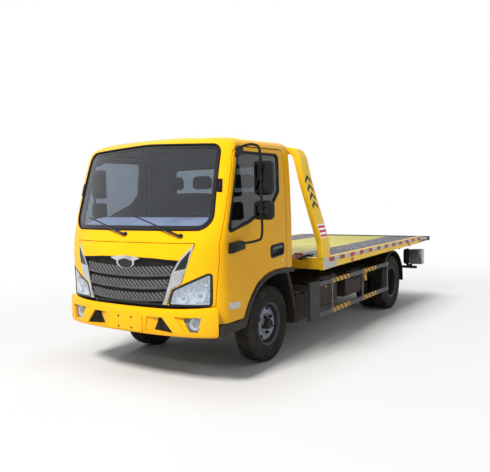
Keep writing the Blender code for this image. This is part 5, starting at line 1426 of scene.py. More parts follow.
def build_bumper():
    """The bumper, its fog lamps, vents and tow hook."""
    paint = finish(cab_paint)
    rows_in = ((0.3, 0.0, 0.0), (0.8, 0.0, 0.0))
    keep = [slab((-FAR, FAR), (BEFORE_Y, DOOR_FRONT_Y - 0.024), (0.3, 0.9))]
    cuts = [bumper_form(0.022, rows_in)]
    for _, side in SIDES:
        cuts.append(pocket(FOG_POCKET, FOG_POCKET, 0.012, side))
        cuts.append(pocket(FOG, FOG, 0.04, side))
        cuts.append(pocket(VENT_POCKET, VENT_POCKET, 0.010, side))
        cuts.append(pocket(VENT, VENT, 0.04, side))
    piece("bumper_shell", bumper_form(), paint, "cab", "body_paint", ["front_bumper"], cuts, keep, sharp=30)
    floors = Shape()
    for _, side in SIDES:
        for pocket_line, hole, deep in ((FOG_POCKET, FOG, 0.030), (VENT_POCKET, VENT, 0.045)):
            mouth = [(side * x, bumper_y(x) + 0.0115, z) for x, z in grown(pocket_line, 0.003)]
            throat = [(side * x, bumper_y(x) + deep, z) for x, z in rounded_to(hole, 0.012, pocket_line)]
            back = [
                (side * x, bumper_y(x) + deep + 0.004, z)
                for x, z in rounded_to(hole, 0.014, pocket_line)
            ]
            lip = [(side * x, bumper_y(x) + 0.020, z) for x, z in grown(pocket_line, 0.006)]
            floors += loft([mouth, throat, back, lip], caps=False, loop=True)
    piece("bumper_pockets", floors, paint, "cab", "body_paint", sharp=30)
    pad = prism("Y", rounded(corners((-0.207, 0.207), (0.486, 0.632)), 0.004, 3), ahead(0.0), ahead(0.02))
    piece("plate_pad", pad, paint, "cab", "body_paint", bevel=0.002)
    screws = total(
        bolt((x, ahead(0.0), z), (0, -1, 0), 0.0105, 0.004)
        for x in (-0.08, 0.08)
        for z in (0.512, 0.61)
    )
    piece("plate_screws", screws, finish(moulded_black), "cab", "black_plastic")
    back = Shape()
    for _, side in SIDES:
        back += slab(sided(side, 0.24, 0.56), (ahead(0.058), ahead(0.064)), (0.492, 0.640))
    piece("vent_backs", back, finish("rubber_seal"), "cab", "black_plastic")
    for side_name, side in SIDES:
        lamp = Shape(
            [
                (side * x, bumper_y(x) + 0.018, z)
                for x, z in FOG
            ] + [(side * x, bumper_y(x) + 0.024, z) for x, z in FOG],
            [],
        )
        n = len(FOG)
        lamp.faces = [tuple(range(n))[::-1], tuple(range(n, 2 * n))] + [
            (i, (i + 1) % n, n + (i + 1) % n, n + i)
            for i in range(n)
        ]
        piece(f"fog_lens_{side_name}", lamp, finish(lamp_lens), "cab", "lamp_glass")
        centre = (side * 0.715, bumper_y(0.715) + 0.045, 0.578)
        bowl = dish(centre, (side * 0.15, -1, 0), 0.050, 0.028)
        piece(f"fog_bowl_{side_name}", bowl, finish(lamp_silver_painted_glow), "cab", "lamp_glass", sharp=50)
        back = prism(
            "Y", grown(FOG if side > 0 else flipped(FOG)[::-1], 0.01), bumper_y(0.715) + 0.060,
            bumper_y(0.715) + 0.066,
        )
        piece(f"fog_back_{side_name}", back, finish(silver_plastic), "cab", "lamp_glass")


def rounded_to(hole, by, like):
    """The hole's outline grown, with as many points as another outline."""
    outline = grown(hole, by)
    if len(outline) == len(like):
        return outline
    step = len(outline) / len(like)
    return [outline[int(i * step + step / 2) % len(outline)] for i in range(len(like))]


# ---------------------------------------------------------------- doors and mirrors
HANDLE = [(-1.925, 1.085), (-1.665, 1.105), (-1.660, 1.215), (-1.920, 1.200)]
DOOR_CARD = 0.062
MIRROR_POLE_X = CAB_X + 0.155
MIRROR_POLE_Y = ahead(0.640)
MIRROR_HEADS = ((1.475, 1.651, 0.20, 0.075), (1.700, 2.020, 0.19, 0.080))


def side_ring(outer, inner, inset, thickness, side):
    """Solids for a ring in the cab's side: what is kept and what is cut."""
    reach = sided(side, 0.6, FAR)
    keep = [prism("X", outer, *reach)]
    cut = [cab_form(inset + thickness, 0.2)]
    if inner:
        cut.append(prism("X", inner, *reach))
    return keep, cut


def side_piece(
    name, side, outer, inner, inset, thickness, material, body, slot, replaces=(), cut=(), **others,
):
    keep, cuts = side_ring(outer, inner, inset, thickness, side)
    form = cab_form(inset, 0.3)
    return piece(name, form, material, body, slot, replaces, cuts + list(cut), keep, **others)


def build_doors():
    """Both doors with their windows, handles and mirrors."""
    paint, rubber = finish(cab_paint), finish("rubber_seal")
    for name, side in SIDES:
        body = f"door_body_{name}"
        outline = door_outline()
        recess = rounded(HANDLE, 0.03, 6)
        hollow = prism("X", recess, *sided(side, CAB_X - 0.030, FAR))
        side_piece(f"door_skin_{name}", side, outline, DOOR_WINDOW, 0.0, 0.0282, paint, body, "body_paint",
                   [f"door_{name}"], [hollow], sharp=28)
        card = grown(outline, -0.012)
        side_piece(f"door_card_{name}", side, card, grown(DOOR_WINDOW, 0.002), 0.0284, DOOR_CARD - 0.0284,
                   finish("cabin_grey"), body, "interior_grey", sharp=28)
        side_piece(f"door_window_{name}", side, grown(DOOR_WINDOW, -0.0142), None, 0.010, 0.005,
                   finish(side_glass_painted_dim), body, "glass", [f"door_glass_{name}"], sharp=28)
        side_piece(f"door_window_seal_{name}", side, grown(DOOR_WINDOW, 0.009), grown(DOOR_WINDOW, -0.0140),
                   -0.002, 0.026, rubber, body, "black_plastic", sharp=28)
        # Dark rubber behind each door's seam: partly the door seal, partly a dark sheet as painted shade in
        # the shut line.
        side_piece(f"door_seal_and_shade_{name}", side, grown(outline, 0.016), grown(outline, -0.010), 0.012, 0.014,
                   rubber, "cab", "black_plastic", cut=[lower_gap()], sharp=28)
        build_handle(name, side, body)
        rest = prism(
            "X",
            rounded(
                [(ahead(0.45), 1.18), (ahead(1.05), 1.18), (ahead(1.10), 1.24), (ahead(0.42), 1.24)], 0.02, 4,
            ),
            *sided(side, CAB_X - 0.125, CAB_X - 0.055),
        )
        piece(
            f"door_armrest_{name}", rest, finish(
                "cabin_dark"
            ), body, "interior_grey", bevel=0.012, segments=3,
        )
        build_mirror(name, side, body)


def lower_gap():
    """Keeps the dark gap behind a door clear of the wheel arch and the sill."""
    return prism(
        "X",
        [(ahead(0.1), 0.2), (ahead(0.1), SILL_Z)] + smooth_arch([(ahead(y), z) for y, z in ARCH_EDGE]) + [
            (CAB_REAR_Y + 0.1, 0.952), (CAB_REAR_Y + 0.1, 0.2),
        ],
        -FAR, FAR,
    )


def build_handle(name, side, body):
    """A door's handle in its cup."""
    x = side * (CAB_X - 0.0295)
    recess = rounded(HANDLE, 0.03, 6)
    rings = []
    for inset, depth in (
        (0.009, 0.0022), (0.0, 0.0030), (-0.006, 0.0022), (-0.014, -0.012), (-0.022, -0.026),
    ):
        rings.append([(side * (CAB_X + depth), y, z) for y, z in grown(recess, inset)])
    rings += [[(x, y, z) for y, z in grown(recess, -0.023)], [(x, y, z) for y, z in grown(recess, 0.0)],
              [(side * (CAB_X + 0.0005), y, z) for y, z in grown(recess, 0.009)]]
    bowl = loft(rings, caps=False, loop=True) + prism(
        "X", grown(recess, -0.020), *sorted((x, x + side * 0.004)),
    )
    piece(f"door_recess_{name}", bowl, finish(moulded_black), body, "black_plastic", sharp=40)
    grip = rounded([(-1.900, 1.155), (-1.690, 1.168), (-1.688, 1.200), (-1.898, 1.188)], 0.012, 4)
    bar = prism("X", grip, *sided(side, CAB_X - 0.010, CAB_X + 0.007))
    piece(f"door_grip_{name}", bar, finish(gloss_black), body, "black_plastic", bevel=0.004, segments=3)
    plate = rounded([(-2.672, 0.694), (-2.488, 0.686), (-2.488, 0.748), (-2.672, 0.756)], 0.006, 3)
    blank = prism("X", plate, *sided(side, CAB_X - 0.0005, CAB_X + 0.0014))
    piece(f"door_plate_{name}", blank, finish("white_tape"), body, "body_paint", bevel=0.0005, segments=1)
    lock = turned([(0.0, 0.001), (0.0, 0.011), (0.004, 0.011), (0.005, 0.008), (0.005, 0.001)], (0, 0, 0), 20)
    lock = lock.moved(CAB_X - 0.001, -1.70, 1.045).on_side(side)
    piece(f"door_lock_{name}", lock, finish(chrome), body, "black_plastic", sharp=40)


def build_mirror(name, side, body):
    """A door's mirror arm and its two heads."""
    black, shine = finish(moulded_black), finish(chrome)
    back_by = 0 if side > 0 else 0.09
    pole_y, front_y = MIRROR_POLE_Y + back_by, FRONT_Y + back_by
    route = [
        (CAB_X - 0.035, front_y + 0.545, 2.115), (CAB_X + 0.045, front_y + 0.575, 2.150),
        (CAB_X + 0.110, front_y + 0.615, 2.155), (MIRROR_POLE_X, pole_y, 2.110),
        (MIRROR_POLE_X + 0.008, pole_y + 0.003, 1.90), (MIRROR_POLE_X + 0.008, pole_y + 0.005, 1.60),
        (MIRROR_POLE_X + 0.004, pole_y + 0.010, 1.345), (MIRROR_POLE_X - 0.040, pole_y - 0.010, 1.290),
        (CAB_X + 0.015, front_y + 0.480, 1.268),
    ]
    pole = tube(curve_through(route, 8), 0.012, 16).on_side(side)
    piece(f"mirror_pole_{name}", pole, black, body, "black_plastic", [f"mirror_{name}"], sharp=50)
    for kind, (bottom, top, width, bulge) in zip(("lower", "upper"), MIRROR_HEADS):
        front, back = pole_y + 0.012, pole_y + 0.012 + bulge
        start, end = MIRROR_POLE_X - width / 2, MIRROR_POLE_X + width / 2
        outline = rounded(corners((start, end), (bottom, top)), [0.035, 0.05, 0.05, 0.035], 8)
        rings = []
        for t, shrink in (
            (0.0, 0.060), (0.04, 0.040), (0.14, 0.022), (0.32, 0.009), (0.6, 0.002), (0.85, 0.0),
            (0.97, 0.0015), (1.0, 0.005),
        ):
            rings.append([(x, front + (back - front) * t, z) for x, z in grown(outline, -shrink)])
        shell = loft(rings).on_side(side)
        piece(f"mirror_shell_{kind}_{name}", shell, black, body, "black_plastic", sharp=40)
        pane_y = back + 0.0005
        glass = prism("Y", grown(outline, -0.010), pane_y - 0.002, pane_y + 0.0008).on_side(side)
        piece(f"mirror_pane_{kind}_{name}", glass, shine, body, "glass", bevel=0.0006)
        middle = (bottom + top) / 2
        clamp = slab(
            (MIRROR_POLE_X - 0.020, MIRROR_POLE_X + 0.026), (pole_y - 0.014, front + 0.03),
            (middle - 0.03, middle + 0.03),
        )
        piece(
            f"mirror_clamp_{kind}_{name}", clamp.on_side(side), black, body, "black_plastic", bevel=0.006,
            segments=3,
        )
    foot = rounded(
        [
            (front_y + 0.335, 1.189), (front_y + 0.555, 1.215), (front_y + 0.545, 1.297),
            (front_y + 0.345, 1.285),
        ],
        0.018, 5,
    )
    rings = [
        [(CAB_X + out, y, z) for y, z in grown(foot, -shrink)]
        for out, shrink in ((0.0, 0.0), (0.034, 0.002), (0.048, 0.008), (0.055, 0.020))
    ]
    piece(f"mirror_foot_{name}", loft(rings).on_side(side), black, body, "black_plastic", sharp=50)
    cap = rounded(
        [
            (front_y + 0.50, 2.035), (front_y + 0.605, 2.075), (front_y + 0.605, 2.138),
            (front_y + 0.535, 2.138),
        ],
        0.012, 5,
    )
    rings = [
        [(CAB_X + out, y, z) for y, z in grown(cap, -shrink)]
        for out, shrink in ((-0.040, 0.0), (0.0, 0.003), (0.012, 0.010))
    ]
    piece(f"mirror_cap_{name}", loft(rings).on_side(side), black, body, "black_plastic", sharp=50)


# ---------------------------------------------------------------- sills, flares, wipers and corner details
def build_cab_trim():
    """The sills, the arch flares, the dark pillar slits and a black sheet above the bumper as painted shade
    in its gap.
    """
    black = finish(moulded_black)
    for name, side in SIDES:
        upper = smooth_arch([(ahead(y), z) for y, z in ARCH_EDGE])
        inner = [(y + 0.034, z - 0.040) for y, z in upper[6:]]
        front = [
            (DOOR_FRONT_Y - 0.004, SILL_Z - 0.095), (ahead(0.585), SILL_Z - 0.078),
            (ahead(0.606), SILL_Z - 0.052),
        ]
        outline = front + inner + [(CAB_REAR_Y, 0.897), (CAB_REAR_Y, 0.9516)]
        outline += [
            (y + 0.0004, z - 0.0004)
            for y, z in upper[::-1]
        ] + [(DOOR_FRONT_Y - 0.004, SILL_Z - 0.0005)]
        rings = []
        for x, shrink in (
            (CAB_X - 0.060, 0.0), (CAB_X + 0.002, 0.0), (CAB_X + 0.009, 0.003), (CAB_X + 0.012, 0.010),
        ):
            rings.append([(x, y, z) for y, z in grown(outline, -shrink)])
        piece(
            f"arch_flare_{name}", loft(rings).on_side(side), black, "cab", "black_plastic",
            [f"arch_trim_{name}"], sharp=40,
        )
        slit = prism(
            "X",
            rounded(
                [(ahead(0.325), 1.735), (ahead(0.345), 1.735), (ahead(0.375), 1.855), (ahead(0.355), 1.855)],
                0.006, 3,
            ),
            0.6, FAR,
        )
        piece(f"pillar_slit_{name}", cab_form(-0.0015), finish("rubber_seal"), "cab", "black_plastic",
              cut=[cab_form(0.004, 0.2)], keep=[slit.on_side(side)], sharp=30)
    for name, side in SIDES:
        # A black sheet behind the gap over the bumper: painted shade, where only shade would be.
        gap = [(side * x, z) for x, z in ((0.47, 0.700), (0.86, 0.700), (0.86, 0.742), (0.47, 0.742))][::side]
        pane(f"bumper_gap_shade_{name}", gap, 0.034, 0.012, 0.40, finish("rubber_seal"), "black_plastic")
    build_wipers()


def build_wipers():
    """Two arms over the windscreen, each with its blade."""
    black = finish(gloss_black)
    for k, (pivot, tip) in enumerate((((-0.042, 1.366), (-0.559, 1.501)), ((0.589, 1.356), (0.107, 1.505)))):
        def skin(x, z, out):
            return Vector((x, front_at(x, z) - out, z))

        name = ("middle", "driver")[k]
        joint = skin(*pivot, 0.0)
        cap = tube(
            [
                joint + Vector((0, 0.02, -0.01)), joint + Vector((0, -0.018, 0.008)),
                joint + Vector((0, -0.024, 0.011)),
            ],
            [0.020, 0.018, 0.010], 16,
        )
        piece(f"wiper_pivot_{name}", cap, black, "cab", "black_plastic", sharp=50)
        points = []
        for t, out in ((0.0, 0.024), (0.08, 0.030), (0.22, 0.034), (0.45, 0.032), (0.58, 0.026)):
            points.append(skin(pivot[0] + (tip[0] - pivot[0]) * t, pivot[1] + (tip[1] - pivot[1]) * t, out))
        arm = tube(curve_through(points, 6), [0.011] * 7 + [0.007] * (len(curve_through(points, 6)) - 7), 8)
        piece(f"wiper_arm_{name}", arm, black, "cab", "black_plastic", sharp=50)
        middle = (pivot[0] + (tip[0] - pivot[0]) * 0.60, pivot[1] + (tip[1] - pivot[1]) * 0.60)
        run = Vector((tip[0] - pivot[0], tip[1] - pivot[1])).normalized()
        blade = []
        spine = []
        for i in range(13):
            t = (i / 12 - 0.5) * 0.56
            x, z = middle[0] + run.x * t, middle[1] + run.y * t + 0.004 * math.cos(t * 5)
            blade.append(skin(x, z, 0.004))
            spine.append(skin(x, z, 0.012 + 0.008 * math.cos(t * 5.4)))
        piece(f"wiper_blade_{name}", tube(blade, 0.0045, 8), finish("rubber_seal"), "cab", "black_plastic")
        piece(f"wiper_spine_{name}", tube(spine, 0.0040, 8), black, "cab", "black_plastic")


# ---------------------------------------------------------------- inside the cab
STEERING_HUB = Vector((CAB_X - 0.53, ahead(0.735), 1.412))
STEERING_AXIS = Vector((0, 0.66, 0.75)).normalized()


def build_dashboard():
    """The dashboard behind the windscreen."""
    half = CAB_X - 0.15
    top_line = [
        (0.236, 1.300), (0.240, 1.410), (0.34, 1.452), (0.46, 1.492), (0.56, 1.504), (0.625, 1.476),
        (0.655, 1.38), (0.665, 1.28), (0.655, 1.225), (0.600, 1.215), (0.236, 1.215),
    ]
    low_line = [(0.256, 1.2145), (0.600, 1.2145), (0.640, 1.18), (0.645, 1.10), (0.600, 1.03), (0.256, 1.02)]
    for name, line, make in (("dash_top", top_line, "dash_top_painted_light"), ("dash_lower", low_line, "cabin_dark")):
        outline = [(ahead(y), z) for y, z in line]
        shape = prism("X", outline, -half, half)
        piece(name, shape, finish(make), "cab", "interior_grey", ["dashboard"] if name == "dash_top" else (),
              keep=[cab_form(0.0455, 0.4)], bevel=0.012, segments=3)
    hood = []
    for x in (-0.19, -0.17, 0.0, 0.17, 0.19):
        rise = 0.045 * (1 - (abs(x) / 0.20) ** 3)
        hood.append(
            [
                (STEERING_HUB.x + x, ahead(0.40), 1.440), (STEERING_HUB.x + x, ahead(0.48), 1.452 + rise),
                (STEERING_HUB.x + x, ahead(0.60), 1.425 + rise), (STEERING_HUB.x + x, ahead(0.60), 1.390),
                (STEERING_HUB.x + x, ahead(0.40), 1.400),
            ]
        )
    piece("dial_hood", loft(hood), finish("cabin_dark"), "cab", "interior_grey", bevel=0.006)
    vents = Shape()
    for x in (-0.62, -0.20, 0.12, 0.74):
        for k in range(4):
            vents += crossing(x, ahead(0.646), 1.195 - 0.014 * k, 0.11, 0.012, 0.004)
    piece("dash_vents", vents, finish("rubber_seal"), "cab", "interior_grey", bevel=0.001)
    base = STEERING_HUB - STEERING_AXIS * 0.055
    column = tube([base - STEERING_AXIS * 0.26, base - STEERING_AXIS * 0.02, base], [0.05, 0.042, 0.036], 20)
    piece("steering_column", column, finish("cabin_dark"), "cab", "interior_grey", sharp=50)


def build_steering_wheel():
    """The steering wheel on its column."""
    across = Vector((1, 0, 0))
    up = STEERING_AXIS.cross(across)
    turn = Matrix.Translation(STEERING_HUB) @ Matrix((STEERING_AXIS, across, up)).transposed().to_4x4()
    grip = turned(arc((0.0, 0.205), 0.0135, 0, 345, 15), (0, 0, 0), 56)
    boss = []
    for x, r in ((0.004, 0.052), (0.016, 0.050), (0.024, 0.036), (0.026, 0.002)):
        boss.append((x, r))
    hub = turned([(-0.030, 0.002), (-0.030, 0.040), (-0.012, 0.055)] + boss, (0, 0, 0), 32)
    spokes = Shape()
    for degrees in (90, 210, 330):
        angle = math.radians(degrees)
        out = Vector((0, math.cos(angle), math.sin(angle)))
        wide = Vector((0, -math.sin(angle), math.cos(angle)))
        rings = []
        for r, half, lift in (
            (0.035, 0.024, -0.004), (0.10, 0.017, -0.002), (0.17, 0.013, 0.0), (0.205, 0.014, 0.0),
        ):
            centre = out * r + Vector((lift, 0, 0))
            rings.append(
                [
                    centre + wide * half * a + Vector((0.006 * b, 0, 0))
                    for a, b in ((1, 0.5), (0.6, 1), (-0.6, 1), (-1, 0.5), (-0.6, -1), (0.6, -1))
                ]
            )
        spokes += loft(rings)
    for name, shape, make in (
        ("wheel_grip", grip, "cabin_dark"), ("wheel_boss", hub, "cabin_dark"),
        ("wheel_spokes", spokes, "cabin_dark"),
    ):
        replaces = ["steering_wheel"] if name == "wheel_grip" else ()
        piece(
            name, shape.changed(turn), finish(make), "steering_wheel_body", "interior_grey", replaces,
            sharp=50,
        )


def cushion(rows, half_width):
    """A padded form through rows of (y, z, thickness, width share), crowned across."""
    rings = []
    middle, low_x, high_x = half_width
    count = 20
    for y, z, thick_y, thick_z, share in rows:
        ring = []
        for i in range(count):
            angle = 2 * math.pi * i / count
            c, s = math.cos(angle), math.sin(angle)
            a = math.copysign(abs(c) ** 0.45, c)
            b = math.copysign(abs(s) ** 0.7, s)
            x = middle + (high_x - low_x) / 2 * share * a
            ring.append((x, y + thick_y * b, z + thick_z * b))
        rings.append(ring)
    return loft(rings)


def build_seats():
    """Each seat: a cushion and a back with sewn channels, and its headrest."""
    back_y = CAB_REAR_Y - 0.045
    floor = 1.032
    for name, side, edge, width in (("driver_seat", 1, 0.28, 0.50), ("passenger_seat", -1, 0.21, 0.84)):
        outer = CAB_X - edge
        low_x, high_x = sided(side, outer - width, outer)
        middle = (low_x + high_x) / 2
        span = (middle, low_x + 0.004, high_x - 0.004)
        base = []
        for t, share in (
            (0.0, 0.86), (0.02, 0.94), (0.08, 0.99), (0.25, 1.0), (0.5, 1.0), (0.75, 1.0), (0.92, 0.97),
            (1.0, 0.9),
        ):
            y = back_y - 0.60 + 0.50 * t
            full = 0.070 * min(1, 0.55 + 4 * t, 0.7 + 3 * (1 - t))
            groove = -0.006 if t in (0.25, 0.5, 0.75) else 0.0
            base.append((y, floor + 0.072, 0.0, full + groove, share))
        seat = piece(
            f"{name}_cushion", cushion(
                base, span,
            ), finish(seat_cloth), "cab", "seat_fabric", [name], sharp=60,
        )
        rest = []
        for t, share in (
            (0.0, 0.90), (0.06, 0.97), (0.2, 1.0), (0.36, 1.0), (0.52, 1.0), (0.68, 0.98), (0.84, 0.93),
            (0.95, 0.84), (1.0, 0.72),
        ):
            z = floor + 0.11 + 0.60 * t
            y = back_y - 0.105 + 0.035 * t
            full = 0.060 * min(1, 0.6 + 5 * t, 0.5 + 4 * (1 - t))
            groove = -0.006 if t in (0.2, 0.36, 0.52, 0.68) else 0.0
            rest.append((y, z, full + groove, 0.0, share))
        back = piece(f"{name}_back", cushion(rest, span), finish(seat_cloth), "cab", "seat_fabric", sharp=60)
        for thing in (seat, back):
            modifier = thing.modifiers.new("Soft", "SUBSURF")
            modifier.levels = modifier.render_levels = 1
            evaluated(thing)
        for k, x in enumerate([middle] if side > 0 else [middle - 0.20, middle + 0.20]):
            pad = []
            for t, share in ((0.0, 0.7), (0.1, 0.92), (0.35, 1.0), (0.7, 0.97), (0.92, 0.85), (1.0, 0.6)):
                pad.append(
                    (
                        back_y - 0.075, floor + 0.745 + 0.15 * t,
                        0.040 * min(1, 0.5 + 4 * t, 0.5 + 4 * (1 - t)), 0.0, share,
                    )
                )
            head = piece(
                f"{name}_headrest_{k}", cushion(pad, (x, x - 0.13, x + 0.13)), finish(seat_cloth), "cab",
                "seat_fabric", sharp=60,
            )
            modifier = head.modifiers.new("Soft", "SUBSURF")
            modifier.levels = modifier.render_levels = 1
            evaluated(head)


# ---------------------------------------------------------------- wheels
FRONT_X = (low("front_tyre_left").x + high("front_tyre_left").x) / 2
REAR_OUTER_X = (low("rear_tyre_outer_left").x + high("rear_tyre_outer_left").x) / 2
REAR_INNER_X = (low("rear_tyre_inner_left").x + high("rear_tyre_inner_left").x) / 2
SEAT = 0.203
STUDS = 5
HAND_HOLES = 5
TREAD_PITCHES = 52
RIM_OUTER = [
    (0.040, 0.1925), (0.070, 0.1945), (0.082, 0.199), (0.0875, 0.206), (0.0905, 0.213), (0.0905, 0.2185),
    (0.087, 0.2215), (0.083, 0.2205), (0.0815, 0.215), (0.080, 0.204), (0.066, SEAT), (0.030, SEAT - 0.004),
    (-0.030, SEAT - 0.004), (-0.066, SEAT), (-0.080, 0.204), (-0.0815, 0.215), (-0.083, 0.2205),
    (-0.087, 0.2215), (-0.0905, 0.2185), (-0.0905, 0.213), (-0.0875, 0.206), (-0.082, 0.199),
    (-0.070, 0.1945), (-0.040, 0.1925),
]


def round_part(
    name, profile, centre, side, material, body, slot, replaces=(), sides=64, cut=(), closed=True, sharp=40,
):
    """A turned part whose profile is (out from the wheel's middle, radius)."""
    shape = turned(profile, (0, 0, 0), sides, closed).on_side(side).moved(*centre)
    return piece(name, shape, material, body, slot, replaces, cut, sharp=sharp)


def around(count, offset=0.0):
    return [2 * math.pi * i / count + offset for i in range(count)]


def oval_holes(centre_x, y, side, radius, long, short, reach):
    """Cutters for the hand holes in a disc."""
    shapes = []
    for angle in around(HAND_HOLES, math.radians(84)):
        c, s = math.cos(angle), math.sin(angle)
        outline = []
        for k in range(18):
            turn = 2 * math.pi * k / 18
            a, b = long * math.cos(turn), short * math.sin(turn)
            outline.append((y + c * (radius + b) - s * a, TYRE_RADIUS + s * (radius + b) + c * a))
        shapes.append(prism("X", outline, *sided(side, centre_x - reach, centre_x + reach)))
    return shapes


def wheel_nuts(centre, side, ring_radius, out, stud, offset):
    """Six-sided nuts with their washers and stud ends on a bolt circle."""
    nuts, studs = Shape(), Shape()
    axis = Vector((side, 0, 0))
    for angle in around(STUDS, offset):
        place = Vector(centre) + Vector(
            (side * out, ring_radius * math.cos(angle), ring_radius * math.sin(angle))
        )
        nuts += tube(
            [place - axis * 0.004, place + axis * 0.004, place + axis * 0.0045], [0.019, 0.019, 0.016], 20,
        )
        nuts += tube(
            [place + axis * 0.003, place + axis * 0.018, place + axis * 0.021], [0.0155, 0.0155, 0.012], 6,
        )
        studs += tube(
            [place + axis * 0.016, place + axis * (0.018 + stud), place + axis * (0.020 + stud)],
            [0.0085, 0.0085, 0.006], 12,
        )
    return nuts, studs


def build_tyre(name, centre_x, axle_y, side, body):
    """A carcass with ribs on its wall and blocks over its tread."""
    half = TYRE_WIDTH / 2 - 0.0005
    top = TYRE_RADIUS - 0.0105
    wall = [
        (0.082, 0.206), (0.0875, 0.2095), (0.0925, 0.222), (half - 0.004, 0.238), (half - 0.001, 0.258),
        (half, 0.275), (half - 0.0005, 0.279), (half - 0.0035, 0.281), (half - 0.0035, 0.285),
        (half - 0.0005, 0.287), (half, 0.305), (half - 0.001, 0.322), (half - 0.004, 0.324),
        (half - 0.0045, 0.328), (half - 0.003, 0.330), (half - 0.008, 0.350), (half - 0.014, 0.366),
        (half - 0.023, top - 0.001), (half - 0.033, top),
    ]
    profile = wall + [(0.0, top + 0.001)] + [(-a, r) for a, r in wall[::-1]]
    profile += [(-0.060, 0.2035), (0.060, 0.2035)]
    rubber = finish(tyre_rubber, *(FRONT_TYRE if body.startswith("front") else REAR_TYRE))
    shape = turned(profile, (0, 0, 0), 88)
    blocks = Shape()
    for row, (x, half_x, shift) in enumerate(
        ((-0.0215, 0.0185, 0.0), (0.0215, 0.0185, 0.5), (-0.0635, 0.0175, 0.35), (0.0635, 0.0175, 0.85))
    ):
        for k in range(TREAD_PITCHES):
            ring_low, ring_high = [], []
            for a, b in ((-1, -1), (1, -1), (1, 1), (-1, 1)):
                turn = 2 * math.pi * (
                    k + shift + 0.37 * b + 0.10 * a * (1 if row % 2 else -1)
                ) / TREAD_PITCHES
                edge = x + a * half_x
                drop = 0.0035 if abs(edge) > 0.078 else 0.0
                for ring, radius in ((ring_low, top - 0.006), (ring_high, TYRE_RADIUS - 0.0006 - drop)):
                    ring.append((edge, radius * math.cos(turn), radius * math.sin(turn)))
            blocks += loft([ring_low, ring_high])
    for sign in (-1, 1):
        for k in range(TREAD_PITCHES):
            rings = []
            for edge, radius in ((0.080, TYRE_RADIUS - 0.005), (0.0880, 0.370), (0.0935, 0.353)):
                ring = []
                for b, down in ((-0.30, 0.008), (-0.30, 0.0), (0.30, 0.0), (0.30, 0.008)):
                    turn = 2 * math.pi * (k + (0.35 if sign < 0 else 0.85) + b) / TREAD_PITCHES
                    ring.append(
                        (
                            sign * (edge - down * 0.6), (radius - down) * math.cos(turn),
                            (radius - down) * math.sin(turn),
                        )
                    )
                rings.append(ring)
            blocks += loft(rings)
    whole = (shape + blocks).on_side(side).moved(side * centre_x, axle_y, TYRE_RADIUS)
    piece(name + "_rubber", whole, rubber, body, "tyre_rubber", [name], sharp=32)


def build_front_wheels():
    """Both front wheels and tyres."""
    silver, dark = finish(front_steel), finish("hub_dark")
    for name, side in SIDES:
        body = f"front_wheel_body_{name}"
        centre = (side * FRONT_X, FRONT_AXLE_Y, TYRE_RADIUS)
        rim = RIM_OUTER + [(0.012, 0.1915)]
        round_part(
            f"front_rim_{name}", rim, centre, side, silver, body, "wheel_silver", [f"front_wheel_{name}"], 80,
        )
        disc = [
            (0.010, 0.1914), (0.024, 0.187), (0.042, 0.176), (0.056, 0.160), (0.064, 0.143), (0.067, 0.128),
            (0.066, 0.118), (0.061, 0.112), (0.0605, 0.040), (0.0525, 0.040), (0.053, 0.114), (0.058, 0.130),
            (0.055, 0.143), (0.047, 0.158), (0.033, 0.172), (0.016, 0.182), (0.002, 0.1865), (0.002, 0.1914),
        ]
        holes = oval_holes(FRONT_X + 0.04, FRONT_AXLE_Y, side, 0.154, 0.026, 0.0145, 0.06)
        round_part(
            f"front_disc_{name}", disc, centre, side, silver, body, "wheel_silver", cut=holes, sides=80,
        )
        hub = [
            (0.050, 0.002), (0.050, 0.062), (0.0625, 0.062), (0.064, 0.055), (0.098, 0.050), (0.104, 0.046),
            (0.106, 0.040), (0.106, 0.012), (0.1135, 0.010), (0.1135, 0.002),
        ]
        round_part(f"front_hub_{name}", hub, centre, side, dark, body, "wheel_silver", sides=40)
        drum = [
            (-0.028, 0.035), (-0.028, 0.150), (-0.018, 0.156), (0.030, 0.156), (0.036, 0.150), (0.036, 0.035),
        ]
        round_part(f"front_drum_{name}", drum, centre, side, dark, body, "wheel_silver", sides=48)
        nuts, studs = wheel_nuts(centre, side, 0.086, 0.062, 0.012, math.radians(48))
        piece(f"front_nuts_{name}", nuts, dark, body, "wheel_silver")
        piece(f"front_studs_{name}", studs, dark, body, "wheel_silver")
        build_tyre(f"front_tyre_{name}", FRONT_X, FRONT_AXLE_Y, side, body)


